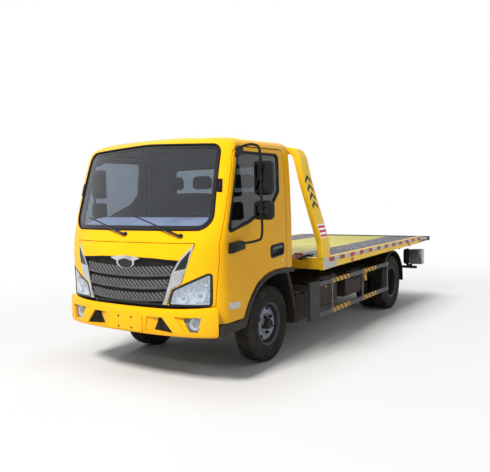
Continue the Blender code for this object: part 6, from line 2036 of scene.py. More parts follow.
def build_rear_wheels():
    """The twin rear wheels and their tyres."""
    silver, dark = finish(rear_steel_painted_shade), finish("hub_dark")
    for name, side in SIDES:
        body = f"rear_wheel_body_{name}"
        disc = [
            (-0.040, 0.1914), (-0.056, 0.184), (-0.076, 0.170), (-0.092, 0.152), (-0.103, 0.132),
            (-0.1055, 0.122), (-0.1055, 0.060), (-0.1145, 0.060), (-0.1145, 0.126), (-0.110, 0.140),
            (-0.099, 0.158), (-0.084, 0.175), (-0.066, 0.186), (-0.052, 0.1914),
        ]
        for place, x, face in (("outer", REAR_OUTER_X, 1), ("inner", REAR_INNER_X, -1)):
            centre = (side * x, REAR_AXLE_Y, TYRE_RADIUS)
            replaces = [f"rear_wheels_{name}"] if place == "outer" else ()
            round_part(
                f"rear_rim_{place}_{name}", RIM_OUTER, centre, side * face, silver, body, "wheel_silver",
                replaces, 80,
            )
            holes = oval_holes(x - face * 0.085, REAR_AXLE_Y, side, 0.156, 0.026, 0.0145, 0.05)
            round_part(
                f"rear_disc_{place}_{name}", disc, centre, side * face, silver, body, "wheel_silver",
                cut=holes, sides=80,
            )
            build_tyre(f"rear_tyre_{place}_{name}", x, REAR_AXLE_Y, side, body)
        centre = (side * (REAR_OUTER_X + REAR_INNER_X) / 2, REAR_AXLE_Y, TYRE_RADIUS)
        hub = [
            (-0.02, 0.002), (-0.02, 0.0585), (0.016, 0.0585), (0.028, 0.056), (0.095, 0.055), (0.098, 0.067),
            (0.108, 0.067), (0.111, 0.062), (0.111, 0.040), (0.122, 0.034), (0.129, 0.020), (0.129, 0.002),
        ]
        round_part(f"rear_hub_{name}", hub, centre, side, dark, body, "wheel_silver", sides=40)
        flange = Shape()
        for angle in around(8, 0.2):
            place = Vector(centre) + Vector((side * 0.108, 0.060 * math.cos(angle), 0.060 * math.sin(angle)))
            flange += bolt(place, (side, 0, 0), 0.006, 0.006)
        piece(f"rear_hub_bolts_{name}", flange, dark, body, "wheel_silver")
        drum = [
            (-0.115, 0.035), (-0.115, 0.148), (-0.105, 0.154), (-0.030, 0.154), (-0.024, 0.148),
            (-0.024, 0.035),
        ]
        round_part(f"rear_drum_{name}", drum, centre, side, dark, body, "wheel_silver", sides=48)
        nuts, studs = wheel_nuts(centre, side, 0.090, 0.0125, 0.020, math.radians(30))
        piece(f"rear_nuts_{name}", nuts, dark, body, "wheel_silver")
        piece(f"rear_studs_{name}", studs, dark, body, "wheel_silver")


# ---------------------------------------------------------------- bed
PLATE_TOP = DECK_TOP_Z - 0.012
RAIL_IN = BED_X - 0.05
RAIL_STEP_Y = REAR_AXLE_Y + 0.14
CENTRE_HALF = 0.56
RAIL_LOW = [
    (BED_FRONT_Y, BED_BOTTOM_Z), (BED_FRONT_Y + 0.40, BED_BOTTOM_Z + 0.010),
    (RAIL_STEP_Y, BED_BOTTOM_Z + 0.030), (BED_REAR_Y, BED_BOTTOM_Z + 0.035),
]
TAPE_FIRST_Y = -0.86
TAPE_PITCH = 0.2926
TAPE_LONG = 0.130
TAPE_HIGH = 0.046


def rail_low(y):
    """The lower edge of a side rail."""
    for (a, low_a), (b, low_b) in zip(RAIL_LOW, RAIL_LOW[1:]):
        if y <= b:
            return low_a + (low_b - low_a) * (y - a) / (b - a)
    return RAIL_LOW[-1][1]


def build_deck():
    """The bed's plate, side rails and marks."""
    paint = finish(bed_paint)
    rail = [
        *RAIL_LOW, (BED_REAR_Y, DECK_TOP_Z), (BED_FRONT_Y, DECK_TOP_Z),
    ]
    for name, side in SIDES:
        shape = prism("X", rail, *sided(side, RAIL_IN + 0.0002, BED_X))
        groove = slab(
            sided(side, BED_X - 0.0025, BED_X + 0.01), (BED_FRONT_Y - 0.1, BED_REAR_Y + 0.1),
            (DECK_TOP_Z - 0.058, DECK_TOP_Z - 0.055),
        )
        piece(
            f"bed_rail_{name}", shape, paint, "bed", "bed_paint", ["deck"] if side > 0 else (), cut=[groove],
            bevel=0.004, segments=3,
        )
    plate = slab((-RAIL_IN, RAIL_IN), (BED_FRONT_Y + 0.0602, BED_REAR_Y), (PLATE_TOP - 0.012, PLATE_TOP))
    # The deck plate and its welds take the paler deck paint, which holds painted light.
    lit_deck_paint = finish(deck_yellow_painted_light)
    piece("deck_plate", plate, lit_deck_paint, "bed", "bed_paint", bevel=0.002)
    head = slab((-RAIL_IN, RAIL_IN), (BED_FRONT_Y, BED_FRONT_Y + 0.060), (BED_BOTTOM_Z + 0.005, DECK_TOP_Z))
    piece("bed_headboard", head, paint, "bed", "bed_paint", bevel=0.004, segments=3)
    for name, side in SIDES:
        strip = slab(
            sided(side, CENTRE_HALF, RAIL_IN - 0.012), (BED_FRONT_Y + 0.10, BED_REAR_Y - 0.01),
            (PLATE_TOP - 0.001, PLATE_TOP + 0.0045),
        )
        piece(f"grip_strip_{name}", strip, finish(deck_grip), "bed", "bed_paint", bevel=0.0015)
    seams = Shape()
    for i in range(5):
        y = BED_FRONT_Y + 0.75 + i * 0.68
        seams += slab(
            (-CENTRE_HALF + 0.01, CENTRE_HALF - 0.01), (y - 0.004, y + 0.004),
            (PLATE_TOP - 0.002, PLATE_TOP + 0.0018),
        )
    for x in (-0.20, 0.20):
        seams += slab(
            (x - 0.004, x + 0.004), (BED_FRONT_Y + 0.5, BED_REAR_Y - 0.01),
            (PLATE_TOP - 0.002, PLATE_TOP + 0.0015),
        )
    piece("deck_welds", seams, lit_deck_paint, "bed", "bed_paint", bevel=0.001)
    under = Shape()
    for _, side in SIDES:
        x = sided(side, 0.27, 0.35)
        z = (0.868, PLATE_TOP - 0.0122)
        under += slab((x[0], x[1]), (BED_FRONT_Y + 0.02, BED_REAR_Y - 0.02), (z[1] - 0.010, z[1]))
        under += slab((x[0], x[1]), (BED_FRONT_Y + 0.02, BED_REAR_Y - 0.02), (z[0], z[0] + 0.010))
        middle = (x[0] + x[1]) / 2
        under += slab(
            (middle - 0.005, middle + 0.005), (BED_FRONT_Y + 0.02, BED_REAR_Y - 0.02),
            (z[0] + 0.009, z[1] - 0.009),
        )
    piece("slide_beams", under, finish(chassis_black), "bed", "chassis_paint")
    ribs = Shape()
    for i in range(14):
        y = BED_FRONT_Y + 0.20 + (BED_REAR_Y - BED_FRONT_Y - 0.30) * i / 13
        web = [
            (-RAIL_IN, PLATE_TOP - 0.0125), (-RAIL_IN, 0.935), (-0.36, 0.915), (0.36, 0.915),
            (RAIL_IN, 0.935), (RAIL_IN, PLATE_TOP - 0.0125),
        ]
        ribs += prism("Y", web, y - 0.003, y + 0.003)
        ribs += prism(
            "Y",
            [
                (-RAIL_IN, 0.935), (-0.36, 0.915), (0.36, 0.915), (RAIL_IN, 0.935), (RAIL_IN, 0.930),
                (0.36, 0.910), (-0.36, 0.910), (-RAIL_IN, 0.930),
            ],
            y - 0.025, y + 0.025,
        )
    piece("deck_ribs", ribs, finish(chassis_black), "bed", "chassis_paint")
    build_rail_marks()


def build_rail_marks():
    """Tape blocks, a foil patch and lamps along each side rail."""
    for name, side in SIDES:
        whites, reds = Shape(), Shape()
        x = sided(side, BED_X - 0.001, BED_X + 0.0012)
        z = (DECK_TOP_Z - 0.008 - TAPE_HIGH, DECK_TOP_Z - 0.006)
        y = TAPE_FIRST_Y
        while y + TAPE_PITCH / 2 < BED_REAR_Y - 0.02:
            reds += slab(x, (y, y + TAPE_LONG), z)
            whites += slab(x, (y + TAPE_LONG + 0.001, y + TAPE_PITCH - 0.001), z)
            y += TAPE_PITCH
        piece(
            f"white_tape_{name}", whites, finish("white_tape"), "bed", "bed_paint", bevel=0.0004, segments=1,
        )
        piece(f"red_tape_{name}", reds, finish("red_tape"), "bed", "bed_paint", bevel=0.0004, segments=1)
        start, end, last = BED_FRONT_Y + 0.006, TAPE_FIRST_Y - 0.002, BED_FRONT_Y + 0.350
        foil = prism(
            "X", [(start, rail_low(start) + 0.004), (end, rail_low(end) + 0.004), (end, z[1]), (start, z[1])],
            *x,
        )
        foil += prism(
            "X",
            [
                (end + 0.001, rail_low(end) + 0.004), (last, rail_low(last) + 0.004), (last, z[0] - 0.002),
                (end + 0.001, z[0] - 0.002),
            ],
            *x,
        )
        piece(
            f"rail_foil_{name}", foil, finish(speckled_silver), "bed", "bed_paint", bevel=0.0004, segments=1,
        )
        lamps, bases = Shape(), Shape()
        for y in (-0.20, 1.93, 2.50):
            mid = rail_low(y) + 0.028
            oval = rounded(corners((y - 0.036, y + 0.036), (mid - 0.015, mid + 0.015)), 0.0145, 6)
            bases += loft(
                [
                    [(side * (BED_X + out), a, b) for a, b in grown(oval, grow)]
                    for out, grow in ((-0.002, 0.006), (0.003, 0.006), (0.004, 0.004))
                ]
            )
            lamps += loft(
                [
                    [(side * (BED_X + out), a, b) for a, b in grown(oval, grow)]
                    for out, grow in ((0.0, 0.0), (0.007, 0.0), (0.010, -0.003), (0.012, -0.008))
                ]
            )
        piece(f"marker_bases_{name}", bases, finish(moulded_black), "bed", "black_plastic")
        piece(f"marker_lamps_{name}", lamps, finish(amber_lens), "bed", "lamp_glass", sharp=60)
        hooks = Shape()
        for k in range(6):
            y = BED_FRONT_Y + 0.62 + 0.5 * k
            hooks += tube(
                [
                    (side * (RAIL_IN + 0.012), y - 0.03, rail_low(y) + 0.004),
                    (side * (RAIL_IN + 0.012), y - 0.03, rail_low(y) - 0.018),
                    (side * (RAIL_IN + 0.012), y + 0.03, rail_low(y) - 0.018),
                    (side * (RAIL_IN + 0.012), y + 0.03, rail_low(y) + 0.004),
                ],
                0.005, 8,
            )
        piece(f"lashing_loops_{name}", hooks, finish(chassis_black), "bed", "bed_paint", sharp=50)


def build_tail_ramp():
    """The ramp at the bed's tail."""
    grey = finish(guard_grey)
    front, end = BED_REAR_Y + 0.0004, REAR_Y - 0.060
    line = [
        (front, BED_BOTTOM_Z + 0.040), (end, DECK_TOP_Z - 0.085), (end, DECK_TOP_Z - 0.030),
        (front, DECK_TOP_Z - 0.004),
    ]
    shape = prism("X", line, -BED_X + 0.004, BED_X - 0.004)
    piece("ramp_body", shape, grey, "bed", "grey_steel", ["tail_ramp"], bevel=0.004, segments=3)
    roller = tube(
        [
            (-BED_X + 0.006, REAR_Y - 0.035, DECK_TOP_Z - 0.060),
            (BED_X - 0.006, REAR_Y - 0.035, DECK_TOP_Z - 0.060),
        ],
        0.0345, 32,
    )
    piece("ramp_roller", roller, grey, "bed", "grey_steel", bevel=0.003, sharp=50)
    ends = Shape()
    for _, side in SIDES:
        cheek = rounded(
            [
                (end - 0.06, DECK_TOP_Z - 0.090), (REAR_Y - 0.012, DECK_TOP_Z - 0.094),
                (REAR_Y - 0.004, DECK_TOP_Z - 0.060), (REAR_Y - 0.014, DECK_TOP_Z - 0.026),
                (end - 0.06, DECK_TOP_Z - 0.022),
            ],
            0.012, 4,
        )
        ends += prism("X", cheek, *sided(side, BED_X - 0.006, BED_X + 0.004))
        ends += bolt((side * (BED_X + 0.003), REAR_Y - 0.035, DECK_TOP_Z - 0.060), (side, 0, 0), 0.014, 0.008)
    piece("ramp_cheeks", ends, grey, "bed", "grey_steel", bevel=0.001)
    grips = Shape()
    for i in range(9):
        y = front + 0.03 + (end - front - 0.05) * i / 8
        top = DECK_TOP_Z - 0.004 - 0.026 * (y - front) / (end - front)
        for k in range(12):
            x = -0.99 + 1.98 * k / 11
            grips += slab((x - 0.055, x + 0.055), (y - 0.005, y + 0.005), (top - 0.002, top + 0.004))
    piece("ramp_grips", grips, finish(deck_grip), "bed", "grey_steel", bevel=0.001, segments=1)
    for name, side in SIDES:
        foil = prism(
            "X",
            [
                (front + 0.02, DECK_TOP_Z - 0.055), (end - 0.02, DECK_TOP_Z - 0.068),
                (end - 0.02, DECK_TOP_Z - 0.040), (front + 0.02, DECK_TOP_Z - 0.016),
            ],
            *sided(side, BED_X - 0.005, BED_X - 0.0028),
        )
        piece(f"ramp_foil_{name}", foil, finish(speckled_silver), "bed", "grey_steel")


# ---------------------------------------------------------------- gantry and winch
GANTRY_WIDTH = 0.07
GANTRY_DEEP = 0.18
GANTRY_TOP = high("gantry").z - GANTRY_WIDTH / 2
GANTRY_BASE_Y = BED_FRONT_Y - 0.02
GANTRY_X = BED_X - GANTRY_WIDTH / 2
GANTRY_LEAN = 0.345


def gantry_leg():
    """The middle of a leg's bar: x, front edge's y, z."""
    x, base, top, lean = GANTRY_X, GANTRY_BASE_Y, GANTRY_TOP, GANTRY_LEAN
    points = [
        (x, base, DECK_TOP_Z + 0.0004), (x, base - 0.002, DECK_TOP_Z + 0.12),
        (x - 0.002, base - 0.020, DECK_TOP_Z + 0.19), (x - 0.012, base - 0.140, DECK_TOP_Z + 0.43),
        (x - 0.024, base - 0.260, DECK_TOP_Z + 0.67), (x - 0.036, base - lean + 0.002, top - 0.31),
        (x - 0.048, base - lean - 0.042, top - 0.16), (x - 0.068, base - lean - 0.050, top - 0.075),
        (x - 0.115, base - lean - 0.052, top - 0.018), (x - 0.200, base - lean - 0.052, top),
    ]
    return curve_through(points, 5)


def gantry_ring(line, i):
    """The arch's section at a point of its line."""
    here = line[i]
    before, after = line[max(i - 1, 0)], line[min(i + 1, len(line) - 1)]
    along = Vector((after.x - before.x, after.z - before.z)).normalized()
    if i == 0:
        along = Vector((0, 1))
    if i == len(line) - 1:
        along = Vector((0, -1))
    out = Vector((-along.y, along.x)) * GANTRY_WIDTH / 2
    half = GANTRY_WIDTH / 2
    deep = GANTRY_DEEP + 0.025 * max(0, (GANTRY_TOP - here.z) / (GANTRY_TOP - DECK_TOP_Z))
    ring = []
    for across, depth in rounded(corners((-half, half), (0, deep)), 0.009, 3):
        ring.append((here.x - out.x * across / half, here.y + depth, here.z - out.y * across / half))
    return ring


def build_gantry():
    """The arch over the front of the bed."""
    paint = finish(bed_paint)
    leg = gantry_leg()
    line = leg + [Vector((-p.x, p.y, p.z)) for p in leg[::-1]]
    piece(
        "gantry_arch", loft([gantry_ring(line, i) for i in range(len(line))]), paint, "bed", "bed_paint",
        ["gantry"], sharp=45,
    )
    feet, screws = Shape(), Shape()
    for _, side in SIDES:
        y = (GANTRY_BASE_Y + 0.022, GANTRY_BASE_Y + 0.250)
        feet += slab(
            sided(side, GANTRY_X - 0.045, BED_X - 0.001), y, (DECK_TOP_Z - 0.002, DECK_TOP_Z + 0.012),
        )
        gusset = [
            (GANTRY_BASE_Y + 0.19, DECK_TOP_Z + 0.01), (GANTRY_BASE_Y + 0.245, DECK_TOP_Z + 0.01),
            (GANTRY_BASE_Y + 0.18, DECK_TOP_Z + 0.10),
        ]
        feet += prism("X", gusset, *sided(side, GANTRY_X - 0.005, GANTRY_X + 0.005))
        for dy in (0.05, 0.19):
            screws += bolt(
                (side * (GANTRY_X - 0.038), GANTRY_BASE_Y + 0.022 + dy, DECK_TOP_Z + 0.012), (0, 0, 1), 0.009,
                0.008,
            )
    piece("gantry_feet", feet, paint, "bed", "bed_paint", bevel=0.003)
    piece("gantry_screws", screws, finish(chassis_black), "bed", "bed_paint")
    build_gantry_marks(leg)


def on_leg(leg, z, depth, out):
    """A point on a leg's outer face at a height and a depth behind its front edge."""
    for a, b in zip(leg, leg[1:]):
        if b.z >= z:
            t = (z - a.z) / (b.z - a.z)
            x = a.x + (b.x - a.x) * t
            y = a.y + (b.y - a.y) * t
            along = Vector((b.x - a.x, b.z - a.z)).normalized()
            return Vector(
                (x + along.y * (GANTRY_WIDTH / 2 + out), y + depth, z - along.x * (GANTRY_WIDTH / 2 + out))
            )
    return leg[-1]


def leg_patch(leg, outline, side, thickness=0.0012):
    """A thin patch on a leg's outer face, from (depth, z) points."""
    rings = []
    for out in (-0.0006, thickness):
        ring = [on_leg(leg, z, depth, out) for depth, z in outline]
        rings.append([(side * p.x, p.y, p.z) for p in ring])
    return loft(rings)


def strip_outline(depths, zs, steps=4):
    """A band between two (depth, z) edges with points along it."""
    first = [
        (depths[0] + (depths[1] - depths[0]) * i / steps, zs[0] + (zs[1] - zs[0]) * i / steps)
        for i in range(steps + 1)
    ]
    second = [
        (depths[3] + (depths[2] - depths[3]) * i / steps, zs[3] + (zs[2] - zs[3]) * i / steps)
        for i in range(steps + 1)
    ]
    return first + second[::-1]


def build_gantry_marks(leg):
    """Black chevrons down each leg, and a block of red and white tape over its foot."""
    for name, side in SIDES:
        marks, whites, reds = Shape(), Shape(), Shape()
        for k in range(4):
            z = 1.850 - 0.090 * k
            for a, b in ((0.018, 0.090), (0.148, 0.090)):
                marks += leg_patch(
                    leg, strip_outline((a, b, b, a), (z - 0.004, z + 0.052, z + 0.014, z - 0.042)), side,
                )
        piece(f"chevrons_{name}", marks, finish(chevron_black), "bed", "bed_paint")
        whites = leg_patch(
            leg, strip_outline((0.020, 0.172, 0.172, 0.020), (1.220, 1.220, 1.374, 1.374)), side,
        )
        for k in range(3):
            z = 1.232 + 0.050 * k
            reds += leg_patch(
                leg, strip_outline((0.020, 0.172, 0.172, 0.020), (z, z, z + 0.025, z + 0.025)), side, 0.0016,
            )
        # The label finishes carry a painted glow.
        piece(f"leg_white_tape_{name}", whites, finish("label_white_painted_glow"), "bed", "bed_paint")
        piece(f"leg_red_tape_{name}", reds, finish("label_red_painted_glow"), "bed", "bed_paint")


WINCH_Y = (low("winch_drum").y + high("winch_drum").y) / 2
WINCH_Z = (low("winch_drum").z + high("winch_drum").z) / 2
DRUM_HALF = 0.15


def build_winch():
    """The winch: base, cheeks, motor, spool and rope."""
    grey = finish(winch_grey)
    floor = PLATE_TOP + 0.0004
    base = slab((-0.30, 0.30), (WINCH_Y - 0.12, WINCH_Y + 0.12), (floor, floor + 0.02))
    piece("winch_base", base, grey, "bed", "chassis_paint", ["winch_frame"], bevel=0.003)
    for name, side in SIDES:
        cheek = rounded(
            [
                (WINCH_Y - 0.10, floor + 0.019), (WINCH_Y + 0.10, floor + 0.019),
                (WINCH_Y + 0.10, WINCH_Z + 0.03), (WINCH_Y + 0.055, WINCH_Z + 0.10),
                (WINCH_Y - 0.055, WINCH_Z + 0.10), (WINCH_Y - 0.10, WINCH_Z + 0.03),
            ],
            [0, 0, 0.02, 0.03, 0.03, 0.02], 4,
        )
        x = sided(side, DRUM_HALF + 0.022, DRUM_HALF + 0.062)
        piece(
            f"winch_cheek_{name}", prism("X", cheek, *x), grey, "bed", "chassis_paint", bevel=0.006,
            segments=3,
        )
        bosses = total(
            bolt(
                (side * (DRUM_HALF + 0.062), WINCH_Y + 0.052 * math.cos(a), WINCH_Z + 0.052 * math.sin(a)),
                (side, 0, 0), 0.007, 0.007,
            )
            for a in around(6, 0.3)
        )
        piece(f"winch_bolts_{name}", bosses, finish(chassis_black), "bed", "chassis_paint")
    motor = tube(
        [
            (DRUM_HALF + 0.05, WINCH_Y, WINCH_Z), (DRUM_HALF + 0.082, WINCH_Y, WINCH_Z),
            (DRUM_HALF + 0.086, WINCH_Y, WINCH_Z), (DRUM_HALF + 0.175, WINCH_Y, WINCH_Z),
            (DRUM_HALF + 0.200, WINCH_Y, WINCH_Z),
        ],
        [0.070, 0.070, 0.056, 0.056, 0.044], 28,
    )
    piece("winch_motor", motor, grey, "bed", "chassis_paint", sharp=45)
    bar = tube(
        [
            (-DRUM_HALF - 0.03, WINCH_Y + 0.085, WINCH_Z + 0.055),
            (DRUM_HALF + 0.03, WINCH_Y + 0.085, WINCH_Z + 0.055),
        ],
        0.010, 14,
    )
    piece("winch_tie_bar", bar, grey, "bed", "chassis_paint")
    lever = tube(
        curve_through(
            [
                (-DRUM_HALF - 0.060, WINCH_Y, WINCH_Z + 0.06),
                (-DRUM_HALF - 0.075, WINCH_Y - 0.03, WINCH_Z + 0.13),
                (-DRUM_HALF - 0.075, WINCH_Y - 0.08, WINCH_Z + 0.19),
            ],
            5,
        ),
        0.007, 10,
    )
    piece("winch_lever", lever, finish(chassis_black), "bed", "chassis_paint")
    coil = []
    turns, steps = 21, 20
    for i in range(turns * steps + 1):
        angle = 2 * math.pi * i / steps
        x = -DRUM_HALF + 0.018 + (2 * DRUM_HALF - 0.036) * i / (turns * steps)
        coil.append((x, WINCH_Y + 0.0605 * math.cos(angle), WINCH_Z + 0.0605 * math.sin(angle)))
    piece(
        "winch_rope", tube(
            coil, 0.0068, 8,
        ), finish(wire_rope), "winch_drum_body", "wire_rope", ["winch_drum"],
    )
    core = turned(
        [
            (-DRUM_HALF - 0.04, 0.002), (-DRUM_HALF - 0.04, 0.0245), (-DRUM_HALF, 0.0245),
            (-DRUM_HALF, 0.090), (-DRUM_HALF + 0.010, 0.090), (-DRUM_HALF + 0.012, 0.055),
            (DRUM_HALF - 0.012, 0.055), (DRUM_HALF - 0.010, 0.090), (DRUM_HALF, 0.090), (DRUM_HALF, 0.0245),
            (DRUM_HALF + 0.04, 0.0245), (DRUM_HALF + 0.04, 0.002),
        ],
        (0, WINCH_Y, WINCH_Z), 40,
    )
    holes = [
        rod(
            (-DRUM_HALF - 0.02, WINCH_Y + 0.074 * math.cos(a), WINCH_Z + 0.074 * math.sin(a)),
            (DRUM_HALF + 0.02, WINCH_Y + 0.074 * math.cos(a), WINCH_Z + 0.074 * math.sin(a)), 0.006, 10,
        )
        for a in around(4, 0.4)
    ]
    piece("winch_spool", core, grey, "winch_drum_body", "wire_rope", cut=holes, sharp=40)


LINK_LONG = 0.034
LINK_WIDE = 0.019
LINK_WIRE = 0.0065
LASHING_PATH = [(0.93, -1.24), (0.86, -1.16), (0.90, -1.07), (0.83, -1.00), (0.90, -0.93), (0.84, -0.86)]


def chain(path, z):
    """Links that lie along a path, every other one on edge."""
    links = Shape()
    for (x0, y0), (x1, y1) in zip(path, path[1:]):
        run = Vector((x1 - x0, y1 - y0, 0))
        count = round(run.length / LINK_LONG)
        along = run.normalized()
        for i in range(count):
            upright = i % 2
            wide = Vector((0, 0, 1)) if upright else along.cross(Vector((0, 0, 1)))
            middle = Vector((x0, y0, z + (LINK_WIDE if upright else LINK_WIRE))) + run * ((i + 0.5) / count)
            loop = []
            for k in range(12):
                angle = 2 * math.pi * k / 12
                loop.append(
                    middle + along * (0.75 * LINK_LONG * math.cos(angle)) + wide * (
                        (LINK_WIDE - LINK_WIRE) * math.sin(angle)
                    )
                )
            links += tube(loop + loop[:1], LINK_WIRE, 6)
    return links


def strap_roll(centre, turns, wide):
    """A rolled tie-down strap that lies on its edge."""
    x, y, z = centre
    rings = []
    for i in range(turns * 14):
        angle = 2 * math.pi * i / 14
        radius = 0.022 + 0.0052 * i / 14
        across = (math.cos(angle), math.sin(angle))
        ring = []
        for r, h in ((radius, 0.0), (radius + 0.0034, 0.0), (radius + 0.0034, wide), (radius, wide)):
            ring.append((x + across[0] * r, y + across[1] * r, z + h))
        rings.append(ring)
    return loft(rings)


def build_lashings():
    """Chains, hooks and rolled straps at the feet of the arch."""
    top = PLATE_TOP + 0.0047
    for name, side in SIDES:
        path = [(side * x, y) for x, y in LASHING_PATH]
        piece(f"lashing_chain_{name}", chain(path, top), finish("hub_dark"), "bed", "wire_rope")
        hooks, rolls = Shape(), Shape()
        for (x, y), turn in ((LASHING_PATH[0], 0.4), (LASHING_PATH[-1], 2.6)):
            bend = []
            for k in range(9):
                angle = turn + k * 0.5
                bend.append(
                    (
                        side * (x + 0.040 * math.cos(angle)), y + 0.040 * math.sin(angle),
                        top + 0.010 + 0.002 * k,
                    )
                )
            hooks += tube(bend, 0.0095, 8)
        for x, y in ((0.78, -1.20), (0.76, -0.98)):
            rolls += strap_roll((side * x, y, top), 6, 0.048)
        piece(f"lashing_hooks_{name}", hooks, finish(chassis_black), "bed", "wire_rope")
        piece(f"lashing_straps_{name}", rolls, finish("strap_cloth"), "bed", "black_plastic")


# ---------------------------------------------------------------- chassis
RAIL_X = 0.3275
GUARD_FRONT_Y = low("side_guard_left").y
GUARD_REAR_Y = high("side_guard_left").y
GUARD_OUT = high("side_guard_left").x
GUARD_IN = GUARD_OUT - 0.03


def restyle(node, make, width=0.0025):
    """Gives a carried-over CAD node its finish, and breaks its edges."""
    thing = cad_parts[node]
    for slot in thing.material_slots:
        slot.material = make
    if not thing.material_slots:
        thing.data.materials.append(make)
    weld = thing.modifiers.new("weld", "WELD")
    weld.merge_threshold = 0.00005
    edges = thing.modifiers.new("edges", "BEVEL")
    edges.width, edges.segments, edges.limit_method = width, 2, "ANGLE"
    edges.angle_limit = math.radians(28)
    edges.harden_normals = False


def box_shell(x, y, z, radius, side):
    """A box with rounded long edges, for tanks and lockers, seen from the vehicle's end."""
    outline = rounded(corners(x, z), radius, 5)
    return prism("Y", [(side * a, b) for a, b in outline], y[0], y[1])


def bounds_of(node):
    a, b = low(node), high(node)
    x = sorted((abs(a.x), abs(b.x)))
    return x, (a.y, b.y), (a.z, b.z)


def band_over(x, y, z, radius, side, width=0.035, out=0.004):
    """A strap round a tank, across the truck."""
    outer = rounded(
        [(x[0], z[0] - out), (x[1] + out, z[0] - out), (x[1] + out, z[1] + out), (x[0], z[1] + out)],
        radius + out, 5,
    )
    inner = rounded(
        [
            (x[0], z[0] + 0.001), (x[1] - 0.001, z[0] + 0.001), (x[1] - 0.001, z[1] - 0.001),
            (x[0], z[1] - 0.001),
        ],
        radius, 5,
    )
    rings = []
    for outline, place in (
        (inner, y - width / 2), (outer, y - width / 2), (outer, y + width / 2), (inner, y + width / 2),
    ):
        rings.append([(side * a, place, b) for a, b in outline])
    return loft(rings, loop=True)


def build_frame():
    """The ladder frame, the axles and what turns between them."""
    black, grey = finish(chassis_black), finish(axle_grey)
    for node, width in (("chassis_frame", 0.004), ("rear_beam", 0.004), ("drive_shaft", 0.002)):
        restyle(node, black, width)
    for node in ("front_axle", "rear_axle", "engine", "knuckle_left", "knuckle_right"):
        restyle(node, grey, 0.004)
    rivets, holes = Shape(), Shape()
    top = FRAME_TOP_Z
    for _, side in SIDES:
        for i in range(36):
            y = FRAME_FRONT_Y + 0.25 + i * 0.145
            for z in (top - 0.035, top - 0.125):
                rivets += bolt((side * 0.360, y, z), (side, 0, 0), 0.009, 0.006)
        for i in range(9):
            y = FRAME_FRONT_Y + 0.36 + i * 0.58
            holes += tube([(side * 0.3602, y, top - 0.08), (side * 0.3615, y, top - 0.08)], 0.018, 18)
    piece("frame_bolts", rivets, grey, "chassis", "chassis_paint")
    piece("frame_plugs", holes, finish(moulded_black), "chassis", "chassis_paint")
    build_springs()
    pipes = Shape()
    for x, z in ((0.366, 0.69), (0.366, 0.672), (0.366, 0.654)):
        route = [
            (x + 0.002, FRAME_FRONT_Y + 0.6, z), (x + 0.002, -0.9, z), (x + 0.002, 0.3, z),
            (x + 0.002, 1.2, z), (x + 0.002, 2.4, z),
        ]
        pipes += tube(curve_through(route, 3), 0.0045, 8)
    piece("brake_pipes", pipes, finish(moulded_black), "chassis", "chassis_paint")
    hook = curve_through(
        [
            (-0.33, FRAME_FRONT_Y + 0.02, 0.60), (-0.33, FRAME_FRONT_Y - 0.03, 0.60),
            (-0.33, FRAME_FRONT_Y - 0.055, 0.625), (-0.33, FRAME_FRONT_Y - 0.045, 0.655),
            (-0.33, FRAME_FRONT_Y - 0.015, 0.66),
        ],
        5,
    )
    piece("tow_hook", tube(hook, 0.013, 14), finish(hook_orange), "chassis", "chassis_paint", sharp=60)


def build_springs():
    """Leaf ends, clamps and U-bolts over each axle."""
    black = finish(chassis_black)
    clips, bolts = Shape(), Shape()
    for axle in (FRONT_AXLE_Y, REAR_AXLE_Y):
        for _, side in SIDES:
            for dy in (-0.055, 0.055):
                for dx in (-0.042, 0.042):
                    x = side * RAIL_X + dx
                    bolts += tube([(x, axle + dy, 0.36), (x, axle + dy, 0.52)], 0.008, 10)
                    bolts += bolt((x, axle + dy, 0.365), (0, 0, -1), 0.014, 0.012)
                clips += tube(
                    [(side * RAIL_X - 0.042, axle + dy, 0.515), (side * RAIL_X + 0.042, axle + dy, 0.515)],
                    0.009, 10,
                )
            for dy in (-0.24, 0.24):
                clips += slab(
                    (side * RAIL_X - 0.042, side * RAIL_X + 0.042), (axle + dy - 0.014, axle + dy + 0.014),
                    (0.452, 0.462),
                )
    piece("spring_bolts", bolts, black, "chassis", "chassis_paint")
    piece("spring_clips", clips, black, "chassis", "chassis_paint", bevel=0.001)
    dampers = Shape()
    for axle in (FRONT_AXLE_Y, REAR_AXLE_Y):
        for _, side in SIDES:
            top_end = Vector((side * 0.385, axle + 0.30, 0.66))
            low_end = Vector((side * 0.40, axle + 0.06, 0.40))
            middle = low_end.lerp(top_end, 0.5)
            dampers += tube([low_end, middle], 0.022, 16)
            dampers += tube([middle - (top_end - low_end) * 0.01, top_end], 0.027, 16)
            for end in (low_end, top_end):
                dampers += tube([end - Vector((0.025, 0, 0)), end + Vector((0.025, 0, 0))], 0.02, 14)
    piece("dampers", dampers, finish(axle_grey), "chassis", "chassis_paint", sharp=50)


def banded_tank(name, bands_name, node, box, radius, side, places):
    """A rounded tank in place of a node, with a band round it at each place."""
    x, _, z = box
    piece(
        name, box_shell(*box, radius, side), finish(chassis_black), "chassis", "chassis_paint", [node],
        bevel=0.012, segments=3,
    )
    bands = total(band_over(x, place, z, radius, side) for place in places)
    piece(bands_name, bands, finish(axle_grey), "chassis", "chassis_paint")


